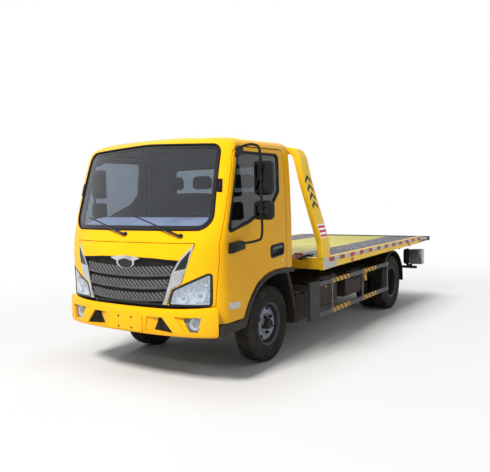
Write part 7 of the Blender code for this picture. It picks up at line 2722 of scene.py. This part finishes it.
def build_battery_box():
    """The battery box with its lid, ribs and clips."""
    plastic = finish(moulded_black)
    x, y, z = bounds_of("battery_box")
    piece(
        "battery_case", box_shell((x[0] + 0.002, x[1] - 0.004), y, (z[0], z[1] - 0.07), 0.02, 1), plastic,
        "chassis", "chassis_paint", ["battery_box"], bevel=0.004,
    )
    piece(
        "battery_lid", box_shell((x[0] + 0.002, x[1]), (y[0], y[1]), (z[1] - 0.066, z[1]), 0.018, 1), plastic,
        "chassis", "chassis_paint", bevel=0.005,
    )
    ribs = Shape()
    for i in range(7):
        place = y[0] + 0.04 + (y[1] - y[0] - 0.08) * i / 6
        ribs += slab((x[1] - 0.006, x[1]), (place - 0.006, place + 0.006), (z[0] + 0.03, z[1] - 0.09))
    piece("battery_ribs", ribs, plastic, "chassis", "chassis_paint", bevel=0.002)
    straps = Shape()
    for place in (y[0] + 0.07, y[1] - 0.07):
        straps += slab(
            (x[1] - 0.001, x[1] + 0.003), (place - 0.012, place + 0.012), (z[1] - 0.12, z[1] - 0.02),
        )
    piece("battery_clips", straps, finish(axle_grey), "chassis", "chassis_paint", bevel=0.001)


def build_oil_tank():
    """The oil tank with its cap and two blank patches."""
    x, y, z = bounds_of("hydraulic_tank")
    box = ((x[0] + 0.002, x[1] - 0.006), (y[0] + 0.003, y[1] - 0.003), (z[0] + 0.005, z[1] - 0.012))
    banded_tank("oil_tank", "oil_tank_bands", "hydraulic_tank", box, 0.035, 1, (y[0] + 0.12, y[1] - 0.12))
    cap = tube(
        [
            (x[1] - 0.08, y[0] + 0.10, z[1] - 0.014), (x[1] - 0.08, y[0] + 0.10, z[1] - 0.004),
            (x[1] - 0.08, y[0] + 0.10, z[1]),
        ],
        [0.036, 0.036, 0.03], 24,
    )
    piece("oil_tank_cap", cap, finish(moulded_black), "chassis", "chassis_paint")
    patches = Shape()
    for place, high_z, long, tall in (
        (y[0] + 0.20, z[1] - 0.12, 0.036, 0.075), (y[1] - 0.17, z[1] - 0.17, 0.028, 0.062),
    ):
        patches += slab(
            (x[1] - 0.007, x[1] - 0.0048), (place - long / 2, place + long / 2),
            (high_z - tall / 2, high_z + tall / 2),
        )
    piece(
        "oil_tank_patches", patches, finish("white_tape"), "chassis", "chassis_paint", bevel=0.0005,
        segments=1,
    )


def build_locker():
    """The tool box with its door and latch."""
    black = finish(chassis_black)
    x, y, z = bounds_of("tool_box")
    piece(
        "locker_body",
        box_shell((x[0] + 0.002, x[1] - 0.018), (y[0] + 0.002, y[1] - 0.002), (z[0], z[1]), 0.012, 1), black,
        "chassis", "chassis_paint", ["tool_box"], bevel=0.004,
    )
    door = rounded(corners((y[0] + 0.012, y[1] - 0.012), (z[0] + 0.014, z[1] - 0.014)), 0.018, 4)
    piece(
        "locker_door", prism("X", door, x[1] - 0.0195, x[1] - 0.006), black, "chassis", "chassis_paint",
        bevel=0.004, segments=3,
    )
    middle = (y[0] + y[1]) / 2
    latch = slab((x[1] - 0.007, x[1]), (middle - 0.03, middle + 0.03), (z[1] - 0.075, z[1] - 0.045))
    latch += total(
        slab((x[1] - 0.007, x[1] - 0.002), (place - 0.025, place + 0.025), (z[0] + 0.006, z[0] + 0.03))
        for place in (y[0] + 0.1, y[1] - 0.1)
    )
    piece("locker_latch", latch, finish(axle_grey), "chassis", "chassis_paint", bevel=0.002)


def build_fuel_tank():
    """The fuel tank with its cap."""
    x, y, z = bounds_of("fuel_tank")
    box = ((x[0] + 0.002, x[1] - 0.006), (y[0], y[1]), (z[0] + 0.005, z[1] - 0.006))
    banded_tank("fuel_tank_body", "fuel_tank_bands", "fuel_tank", box, 0.055, -1, (y[0] + 0.16, y[1] - 0.16))
    neck = tube(
        [
            (-(x[1] - 0.07), y[0] + 0.10, z[1] - 0.03), (-(x[1] - 0.04), y[0] + 0.10, z[1] - 0.004),
            (-(x[1] - 0.03), y[0] + 0.10, z[1] + 0.006),
        ],
        [0.04, 0.04, 0.034], 24,
    )
    piece("fuel_cap", neck, finish(moulded_black), "chassis", "chassis_paint")


def build_silencer():
    """The exhaust silencer with its bands and pipes."""
    x, y, z = bounds_of("exhaust_silencer")
    centre_x, centre_z = (x[0] + x[1]) / 2 + 0.01, (z[0] + z[1]) / 2
    half = min((x[1] - x[0]) / 2 - 0.012, (z[1] - z[0]) / 2 - 0.004)
    rings = []
    for place, grow in (
        (y[0] + 0.012, 0.82), (y[0] + 0.02, 0.95), (y[0] + 0.035, 1.0), (y[1] - 0.035, 1.0),
        (y[1] - 0.02, 0.95), (y[1] - 0.012, 0.82),
    ):
        rings.append(
            [
                (-(centre_x + half * grow * math.cos(a)), place, centre_z + half * grow * math.sin(a))
                for a in around(36)
            ]
        )
    piece(
        "silencer", loft(rings), finish(axle_grey), "chassis", "chassis_paint", [
            "exhaust_silencer"
        ], sharp=50,
    )
    pipe = curve_through(
        [
            (-(centre_x - 0.03), y[1] - 0.02, centre_z), (-(centre_x - 0.03), y[1] + 0.10, centre_z),
            (-(centre_x - 0.02), y[1] + 0.22, centre_z - 0.02),
            (-(centre_x + 0.08), y[1] + 0.33, centre_z - 0.06),
        ],
        6,
    )
    front = curve_through(
        [
            (-(centre_x), y[0] + 0.02, centre_z), (-(centre_x - 0.04), y[0] - 0.02, centre_z),
            (-0.41, y[0] - 0.06, centre_z + 0.06), (-0.38, y[0] - 0.16, centre_z + 0.09),
            (-0.20, y[0] - 0.75, centre_z + 0.05),
        ],
        6,
    )
    piece(
        "exhaust_pipes", tube(pipe, 0.026, 18) + tube(front, 0.024, 18), finish(axle_grey), "chassis",
        "chassis_paint", sharp=60,
    )
    rims = total(
        tube([(-centre_x, place - 0.008, centre_z), (-centre_x, place + 0.008, centre_z)], half + 0.003, 36)
        for place in (y[0] + 0.10, y[1] - 0.10)
    )
    piece("silencer_bands", rims, finish(chassis_black), "chassis", "chassis_paint", bevel=0.002)


def build_boxes():
    """The battery box, the tanks, the tool box and the silencer under the bed."""
    build_battery_box()
    build_oil_tank()
    build_locker()
    build_fuel_tank()
    build_silencer()


POST_Y = (-0.719, 0.201, 1.096)
TOP_RAIL = (0.686, 0.736)
LOW_RAIL = (0.344, 0.400)
YELLOW_BANDS = ((-0.69, -0.23), (0.225, 0.66))
PANEL_BACK_Y = GUARD_FRONT_Y + 0.24


PANEL_Z = (0.344, 0.756)
FOLD_Z = (0.400, 0.686)
POST_HALF = 0.010


def build_guards():
    """The side guards: panel, posts, rails and plate."""
    for name, side in SIDES:
        x = sided(side, GUARD_IN, GUARD_OUT)
        face = sided(side, GUARD_OUT, GUARD_OUT - 0.004)
        panel = corners((GUARD_FRONT_Y, PANEL_BACK_Y), PANEL_Z)
        fold = prism("X", panel, *sided(side, GUARD_OUT, GUARD_OUT - 0.003))
        fold += slab(x, (GUARD_FRONT_Y, GUARD_FRONT_Y + 0.003), PANEL_Z)
        fold += slab(x, (PANEL_BACK_Y - 0.003, PANEL_BACK_Y), FOLD_Z)
        for z in ((0.753, PANEL_Z[1]), (PANEL_Z[0], 0.347)):
            fold += slab(x, (GUARD_FRONT_Y, PANEL_BACK_Y), z)
        piece(
            f"guard_panel_{name}", fold, finish(guard_grey), "chassis", "grey_steel", [f"side_guard_{name}"],
            bevel=0.0012,
        )
        rails = Shape()
        for z in (TOP_RAIL, LOW_RAIL):
            outline = rounded(corners((side * GUARD_IN, side * (GUARD_OUT - 0.001)), (z[0], z[1])), 0.006, 3)
            rails += prism("Y", outline, PANEL_BACK_Y - 0.01, GUARD_REAR_Y)
        piece(f"guard_rails_{name}", rails, finish(guard_hatched), "chassis", "grey_steel")
        sleeves = Shape()
        for a, b in YELLOW_BANDS:
            for z in (TOP_RAIL, LOW_RAIL):
                outline = rounded(
                    corners((side * (GUARD_IN - 0.001), side * GUARD_OUT), (z[0] - 0.001, z[1] + 0.001)),
                    0.006, 3,
                )
                sleeves += prism("Y", outline, a, b)
        piece(f"guard_yellow_{name}", sleeves, finish(guard_yellow), "chassis", "grey_steel")
        posts = Shape()
        for y in POST_Y:
            posts += slab(face, (y - POST_HALF, y + POST_HALF), (0.338, 0.742))
            posts += slab(x, (y + POST_HALF - 0.003, y + POST_HALF), FOLD_Z)
        piece(f"guard_posts_{name}", posts, finish("guard_pale"), "chassis", "grey_steel", bevel=0.001)
        braces = Shape()
        for y in (-0.95, 0.30, 0.80):
            inner_y = y + 0.20
            braces += tube(
                [
                    (side * (GUARD_IN + 0.012), y, TOP_RAIL[0] + 0.004),
                    (side * (GUARD_IN - 0.30), inner_y, 0.50),
                ],
                0.007, 8,
            )
        piece(f"guard_braces_{name}", braces, finish(chassis_black), "chassis", "grey_steel")
        arms = Shape()
        for y in ((0.25, 0.76, 1.50, 2.28) if side > 0 else (0.30, 1.35, 2.28)):
            place = BEHIND_CAB_Y + y
            arms += slab(sided(side, 0.361, GUARD_IN + 0.001), (place - 0.018, place - 0.014), (0.656, 0.716))
            arms += slab(sided(side, 0.361, GUARD_IN + 0.001), (place - 0.018, place + 0.018), (0.712, 0.716))
            arms += total(
                bolt((side * (GUARD_IN - 0.03 - 0.05 * k), place, 0.716), (0, 0, 1), 0.008, 0.006)
                for k in range(2)
            )
        piece(f"guard_arms_{name}", arms, finish(chassis_black), "chassis", "grey_steel", bevel=0.001)
        y = 0.245
        plate = slab(face, (y, y + 0.085), (0.585, 0.690))
        piece(f"guard_plate_{name}", plate, finish(guard_yellow), "chassis", "grey_steel", bevel=0.002)
        spots = [(y, z) for y in POST_Y for z in (TOP_RAIL[0] + 0.025, LOW_RAIL[0] + 0.028)]
        spots += [(y, z) for z in (0.73, 0.37) for y in (GUARD_FRONT_Y + 0.03, PANEL_BACK_Y - 0.03)]
        screws = total(bolt((side * (GUARD_OUT - 0.001), y, z), (side, 0, 0), 0.006, 0.004) for y, z in spots)
        piece(f"guard_screws_{name}", screws, finish(axle_grey), "chassis", "grey_steel")


MUDGUARD_RADIUS = 0.455


def build_mudguards():
    """The front splash panels and the rear mudguards."""
    rubber = finish(moulded_black)
    for name, side in SIDES:
        x = sided(side, 0.56, 0.86)
        line = [
            (BEHIND_CAB_Y + a, b)
            for a, b in ((0.020, 0.900), (0.075, 0.840), (0.165, 0.600), (0.235, 0.325))
        ]
        line = curve_through([(0, a, b) for a, b in line], 5)
        sheet = [(p.y, p.z) for p in line] + [(p.y + 0.011, p.z + 0.003) for p in line[::-1]]
        piece(
            f"front_splash_{name}", prism("X", sheet, *x), rubber, "chassis", "black_plastic",
            [f"front_mudguard_{name}"], bevel=0.002,
        )
        lip_x = sided(side, 0.846, 0.872)
        lip = [(p.y - 0.004, p.z) for p in line] + [(p.y + 0.018, p.z + 0.004) for p in line[::-1]]
        piece(
            f"front_splash_edge_{name}", prism("X", lip, *lip_x), finish("dusty_edge"), "chassis",
            "black_plastic", bevel=0.003,
        )
        ribs = Shape()
        for k in range(3):
            place = side * (0.63 + 0.08 * k)
            rib = [(p.y + 0.009, p.z) for p in line[4:]] + [(p.y + 0.020, p.z + 0.003) for p in line[:3:-1]]
            ribs += prism("X", rib, place - 0.006, place + 0.006)
        piece(f"front_splash_ribs_{name}", ribs, rubber, "chassis", "black_plastic", bevel=0.002)
        path = [
            (
                REAR_AXLE_Y + MUDGUARD_RADIUS * math.cos(math.radians(d)),
                TYRE_RADIUS + MUDGUARD_RADIUS * math.sin(math.radians(d)),
            )
            for d in range(165, 24, -5)
        ]
        path += [
            (path[-1][0] + 0.018, path[-1][1] - 0.06), (path[-1][0] + 0.026, path[-1][1] - 0.12),
            (path[-1][0] + 0.028, 0.362),
        ]
        sheet_rings = []
        count = len(path)
        for i in range(count):
            before, after = path[max(i - 1, 0)], path[min(i + 1, count - 1)]
            along = Vector((after[0] - before[0], after[1] - before[1])).normalized()
            out = Vector((-along.y, along.x))
            here = Vector(path[i])
            ring = []
            for place, lift in (
                (0.5025, 0.0), (0.5025, 0.006), (0.60, 0.011), (0.926, 0.011), (0.944, 0.009), (0.950, 0.001),
                (0.950, -0.012), (0.943, -0.012), (0.941, 0.0), (0.920, 0.003), (0.60, 0.003),
            ):
                p = here + out * lift
                ring.append((side * place, p.x, p.y))
            sheet_rings.append(ring)
        piece(
            f"rear_arch_{name}", loft(sheet_rings), rubber, "chassis", "black_plastic",
            [f"rear_mudguard_{name}"], sharp=30,
        )
        arms = Shape()
        for dy in (-0.26, 0.26):
            arms += tube(
                [
                    (side * 0.362, REAR_AXLE_Y + dy, 0.70), (side * 0.46, REAR_AXLE_Y + dy, 0.72),
                    (side * 0.60, REAR_AXLE_Y + dy, 0.764), (side * 0.90, REAR_AXLE_Y + dy, 0.768),
                ],
                0.010, 10,
            )
        piece(f"rear_arch_arms_{name}", arms, finish(chassis_black), "chassis", "black_plastic", sharp=60)


def stacked(outline, steps):
    """A form along Y from one (x, z) outline, grown by an amount of its own at each place."""
    return loft([[(a, place, b) for a, b in grown(outline, grow)] for place, grow in steps])


def build_tail():
    """The lamp units beside the rear beam, the plate holder and the beam's bolts."""
    black = finish(chassis_black)
    for name, side in SIDES:
        x, y, z = bounds_of(f"tail_lamp_{name}")
        z = (0.514, z[1])
        back = y[1]
        split = x[0] + 0.11
        height = (z[0] + z[1]) / 2
        drum = rounded(
            corners((side * (x[0] + 0.002), side * (split - 0.004)), (z[0], z[1] - 0.004)), 0.050, 10,
        )
        form = stacked(
            drum,
            (
                (y[0] + 0.022, -0.016), (y[0] + 0.026, -0.004), (y[0] + 0.036, 0.0), (back - 0.022, 0.0),
                (back - 0.020, -0.003),
            ),
        )
        piece(
            f"tail_round_{name}", form, finish(moulded_black), "chassis", "tail_lamp_red",
            [f"tail_lamp_{name}"], sharp=50,
        )
        block = rounded(
            [
                (side * split, z[0] + 0.004), (side * x[1], z[0] + 0.012), (side * x[1], z[1]),
                (side * split, z[1] - 0.008),
            ],
            0.022, 5,
        )
        form = stacked(
            block,
            (
                (y[0] + 0.002, -0.012), (y[0] + 0.010, -0.002), (y[0] + 0.02, 0.0), (back - 0.024, 0.0),
                (back - 0.022, -0.003),
            ),
        )
        piece(f"tail_block_{name}", form, finish(silver_plastic), "chassis", "tail_lamp_red", sharp=40)
        foot = slab(
            sided(side, 0.765, 0.855), (y[0] + 0.008, y[0] + 0.040),
            (low("rear_beam").z + 0.041, z[0] + 0.006),
        )
        piece(f"tail_foot_{name}", foot, black, "chassis", "chassis_paint", bevel=0.002)
        form = stacked(
            drum, ((back - 0.024, -0.006), (back - 0.006, -0.006), (back - 0.001, -0.012), (back, -0.030)),
        )
        piece(f"tail_red_lens_{name}", form, finish(red_lens), "chassis", "tail_lamp_red", sharp=50)
        for part, low_z, high_z, make in (
            ("red", height + 0.004, z[1] - 0.010, red_lens),
            ("amber", height - 0.030, height + 0.002, amber_lens),
            ("white", z[0] + 0.014, height - 0.032, white_lens),
        ):
            outline = rounded(
                corners((side * (split + 0.010), side * (x[1] - 0.010)), (low_z, high_z)), 0.006, 4,
            )
            form = stacked(outline, ((back - 0.024, 0.0), (back - 0.006, 0.0), (back - 0.001, -0.004)))
            piece(f"tail_{part}_panel_{name}", form, finish(make), "chassis", "tail_lamp_red", sharp=50)
    beam = high("rear_beam")
    bolts = total(
        bolt((side * RAIL_X + step, beam.y - 0.0005, b), (0, 1, 0), 0.008, 0.006)
        for _, side in SIDES
        for step in (-0.015, 0.015)
        for b in (0.53, 0.62, 0.70)
    )
    piece("rear_beam_bolts", bolts, finish(axle_grey), "chassis", "chassis_paint")
    tape, red = Shape(), Shape()
    for k in range(8):
        x = -0.91 + 0.23 * k
        block = slab((x, x + 0.20), (beam.y - 0.0006, beam.y + 0.0012), (0.464, 0.486))
        tape, red = (tape + block, red) if k % 2 else (tape, red + block)
    piece("beam_white_tape", tape, finish("white_tape"), "chassis", "chassis_paint")
    piece("beam_red_tape", red, finish("red_tape"), "chassis", "chassis_paint")
    holder = rounded(corners((-0.24, 0.24), (0.490, 0.632)), 0.012, 4)
    piece(
        "rear_plate", prism("Y", holder, beam.y - 0.020, beam.y - 0.012), finish(silver_plastic), "chassis",
        "chassis_paint", bevel=0.002,
    )


def build_hydraulics():
    """The tilting subframe and the two rams that lift it."""
    black = finish(chassis_black)
    restyle("bed_subframe", black, 0.004)
    rollers = Shape()
    for _, side in SIDES:
        for y in (-0.85, 0.1, 1.0, 1.9, 2.6):
            rollers += bolt((side * 0.340, y, 0.80), (side, 0, 0), 0.016, 0.010) + bolt(
                (side * 0.340, y + 0.05, 0.80), (side, 0, 0), 0.009, 0.007,
            )
    piece("subframe_bolts", rollers, finish(axle_grey), "bed_base", "chassis_paint")
    foot = Vector((0, 0.90, 0.58))
    along = Vector((0, -1.0, 0.23)).normalized()
    for name, side in SIDES:
        shift = Vector((side * 0.19, 0, 0))
        base = foot + shift
        end = base + along * 0.78
        barrel = tube(
            [
                base + along * 0.03, base + along * 0.04, end - along * 0.05, end - along * 0.049,
                end - along * 0.005, end,
            ],
            [0.038, 0.045, 0.045, 0.0485, 0.0485, 0.044], 32,
        )
        barrel += tube([base - Vector((0.03, 0, 0)), base + Vector((0.03, 0, 0))], 0.040, 24)
        ports = tube(
            [base + along * 0.12, base + along * 0.12 + Vector((0, 0, 0.062))], 0.014, 12,
        ) + tube([end - along * 0.08, end - along * 0.08 + Vector((0, 0, 0.062))], 0.014, 12)
        piece(
            f"ram_barrel_{name}", barrel + ports, black, "cylinder_barrels", "grey_steel",
            ["tilt_barrels"] if side > 0 else (), sharp=45,
        )
        eye = Vector((side * 0.19, -0.10, 0.81))
        run = (eye - end).normalized()
        rod_piece = tube([end - along * 0.1, eye - run * 0.02], 0.022, 24)
        piece(
            f"ram_rod_{name}", rod_piece, finish(bright_rod), "cylinder_rods", "cylinder_chrome",
            ["tilt_rods"] if side > 0 else (), sharp=50,
        )
        ring = tube([eye - Vector((0.025, 0, 0)), eye + Vector((0.025, 0, 0))], 0.034, 28)
        piece(f"ram_eye_{name}", ring, black, "cylinder_rods", "cylinder_chrome", bevel=0.003, sharp=50)


# ---------------------------------------------------------------- stage, lamps and camera
CAMERA_PLACE = (3.958, -7.059, 1.700)
CAMERA_YAW = 33.97  # degrees from +Y towards -X
CAMERA_PITCH = -4.03
CAMERA_ROLL = -1.28
FOCAL = 608.70  # in image widths of 490
CENTRE = (232.26, 238.78)
FRAME_SIZE = (490, 472)
SENSOR = 36.0
SKY_STRENGTH = 0.27


def build_stage():
    """A pale floor with soft lamps, and the camera."""
    scene = bpy.context.scene
    scene.view_settings.view_transform = "Standard"
    floor = bpy.data.objects.new(
        "floor", Shape(
            [(-60, -60, 0), (60, -60, 0), (60, 60, 0), (-60, 60, 0)], [(0, 1, 2, 3)],
        ).mesh("floor"),
    )
    scene.collection.objects.link(floor)
    floor.data.materials.append(finish(ground))
    sky = Finish("sky", "worlds")
    soft = sky.add("ShaderNodeBackground", {}, {"Color": (0.92, 0.95, 1.0), "Strength": SKY_STRENGTH})
    white = sky.add("ShaderNodeBackground", {}, {"Color": (1.0, 1.0, 1.0), "Strength": 1.0})
    shown = sky.add("ShaderNodeMixShader", {}, {0: sky.seen().least(1.0), 1: soft, 2: white})
    sky.add("ShaderNodeOutputWorld", {}, {"Surface": shown}, None)
    scene.world = sky.material
    aims = (
        ("key_lamp", (0.35, -9.5, 8.6), 1350.0, 2.5, (1.0, 0.97, 0.92)),
        ("side_lamp", (9.0, 1.0, 6.0), 70.0, 6.0, (0.96, 0.98, 1.0)),
        ("rear_lamp", (-5.0, 8.0, 7.0), 220.0, 5.0, (1.0, 1.0, 1.0)),
    )
    for name, place, power, size, colour in aims:
        lamp = bpy.data.lights.new(name, "AREA")
        lamp.energy, lamp.size, lamp.color = power, size, colour
        thing = bpy.data.objects.new(name, lamp)
        scene.collection.objects.link(thing)
        thing.visible_glossy = thing.visible_transmission = name != "key_lamp"
        thing.location = place
        thing.rotation_euler = (Vector((0, -0.5, 0.9)) - Vector(place)).to_track_quat("-Z", "Y").to_euler()
    camera = bpy.data.cameras.new("camera")
    camera.sensor_width = SENSOR
    camera.lens = FOCAL / FRAME_SIZE[0] * SENSOR
    camera.shift_x = (FRAME_SIZE[0] / 2 - CENTRE[0]) / FRAME_SIZE[0]
    camera.shift_y = (CENTRE[1] - FRAME_SIZE[1] / 2) / FRAME_SIZE[0]
    thing = bpy.data.objects.new("camera", camera)
    scene.collection.objects.link(thing)
    yaw, pitch, roll = (math.radians(a) for a in (CAMERA_YAW, CAMERA_PITCH, CAMERA_ROLL))
    forward = Vector((-math.sin(yaw) * math.cos(pitch), math.cos(yaw) * math.cos(pitch), math.sin(pitch)))
    right = Vector((forward.y, -forward.x, 0)).normalized()
    up = right.cross(forward)
    right, up = right * math.cos(roll) + up * math.sin(roll), up * math.cos(roll) - right * math.sin(roll)
    thing.matrix_world = Matrix.Translation(CAMERA_PLACE) @ Matrix(
        (right, up, -forward)
    ).transposed().to_4x4()
    scene.camera = thing


# ---------------------------------------------------------------- settings, operators and panel
class TruckLook(PropertyGroup):
    """Colours and wear of the truck."""

    paint: FloatVectorProperty(
        name="Paint", description="Colour of the cab and the bed", subtype="COLOR",
        default=(0.97, 0.50, 0.003), min=0.0, max=1.0,
    )
    dust_height: FloatProperty(
        name="Dust height", description="Height above the ground that road dust reaches",
        default=0.85, min=0.2, max=2.0, unit="LENGTH",
    )


class TRUCK_OT_stage(Operator):
    """Adds the floor, the lamps and the camera."""

    bl_idname = "truck.stage"
    bl_label = "Stage"

    def execute(self, context):
        build_stage()
        return {"FINISHED"}


class TRUCK_OT_cab(Operator):
    """Adds the cab's skin, lining and glass."""

    bl_idname = "truck.cab"
    bl_label = "Cab"

    def execute(self, context):
        build_cab_skin()
        build_cab_inside()
        build_cab_glass()
        return {"FINISHED"}


class TRUCK_OT_front(Operator):
    """Adds the flap, grille, lamps and bumper."""

    bl_idname = "truck.front"
    bl_label = "Front"

    def execute(self, context):
        build_front_flap()
        build_headlamps()
        build_bumper()
        return {"FINISHED"}


class TRUCK_OT_doors(Operator):
    """Adds the doors, handles and mirrors."""

    bl_idname = "truck.doors"
    bl_label = "Doors"

    def execute(self, context):
        build_doors()
        return {"FINISHED"}


class TRUCK_OT_cab_trim(Operator):
    """Adds the sills, flares, gaps and wipers."""

    bl_idname = "truck.cab_trim"
    bl_label = "Cab trim"

    def execute(self, context):
        build_cab_trim()
        return {"FINISHED"}


class TRUCK_OT_wheels(Operator):
    """Adds the wheels and tyres."""

    bl_idname = "truck.wheels"
    bl_label = "Wheels"

    def execute(self, context):
        build_front_wheels()
        build_rear_wheels()
        return {"FINISHED"}


class TRUCK_OT_bed(Operator):
    """Adds the deck, its rails and marks, and the tail ramp."""

    bl_idname = "truck.bed"
    bl_label = "Bed"

    def execute(self, context):
        build_deck()
        build_tail_ramp()
        return {"FINISHED"}


class TRUCK_OT_gantry(Operator):
    """Adds the arch over the bed, the winch and the lashing gear."""

    bl_idname = "truck.gantry"
    bl_label = "Gantry and winch"

    def execute(self, context):
        build_gantry()
        build_winch()
        build_lashings()
        return {"FINISHED"}


class TRUCK_OT_chassis(Operator):
    """Adds the frame, the axles, the tanks and the boxes."""

    bl_idname = "truck.chassis"
    bl_label = "Chassis"

    def execute(self, context):
        build_frame()
        build_boxes()
        build_hydraulics()
        return {"FINISHED"}


class TRUCK_OT_guards(Operator):
    """Adds the side guards, the mudguards and the tail lamps."""

    bl_idname = "truck.guards"
    bl_label = "Guards and tail"

    def execute(self, context):
        build_guards()
        build_mudguards()
        build_tail()
        return {"FINISHED"}


class TRUCK_OT_inside(Operator):
    """Adds the dashboard, steering wheel and seats."""

    bl_idname = "truck.inside"
    bl_label = "Inside"

    def execute(self, context):
        build_dashboard()
        build_steering_wheel()
        build_seats()
        return {"FINISHED"}


STEPS = (
    TRUCK_OT_stage, TRUCK_OT_cab, TRUCK_OT_front, TRUCK_OT_doors,
    TRUCK_OT_cab_trim, TRUCK_OT_wheels, TRUCK_OT_bed, TRUCK_OT_gantry,
    TRUCK_OT_chassis, TRUCK_OT_guards, TRUCK_OT_inside,
)


class TRUCK_PT_panel(Panel):
    """Lists the truck's settings and pieces."""

    bl_label = "Truck"
    bl_space_type = "VIEW_3D"
    bl_region_type = "UI"
    bl_category = "Truck"

    def draw(self, context):
        for name in ("paint", "dust_height"):
            self.layout.prop(context.scene.truck_look, name)
        for step in STEPS:
            self.layout.operator(step.bl_idname)


CLASSES = (TruckLook, *STEPS, TRUCK_PT_panel)


def register():
    for kind in CLASSES:
        bpy.utils.register_class(kind)
    bpy.types.Scene.truck_look = PointerProperty(type=TruckLook)


def unregister():
    del bpy.types.Scene.truck_look
    for kind in reversed(CLASSES):
        bpy.utils.unregister_class(kind)


def main():
    register()
    for step in STEPS:
        getattr(bpy.ops.truck, step.bl_idname.split(".")[1])()


if __name__ == "__main__":
    main()
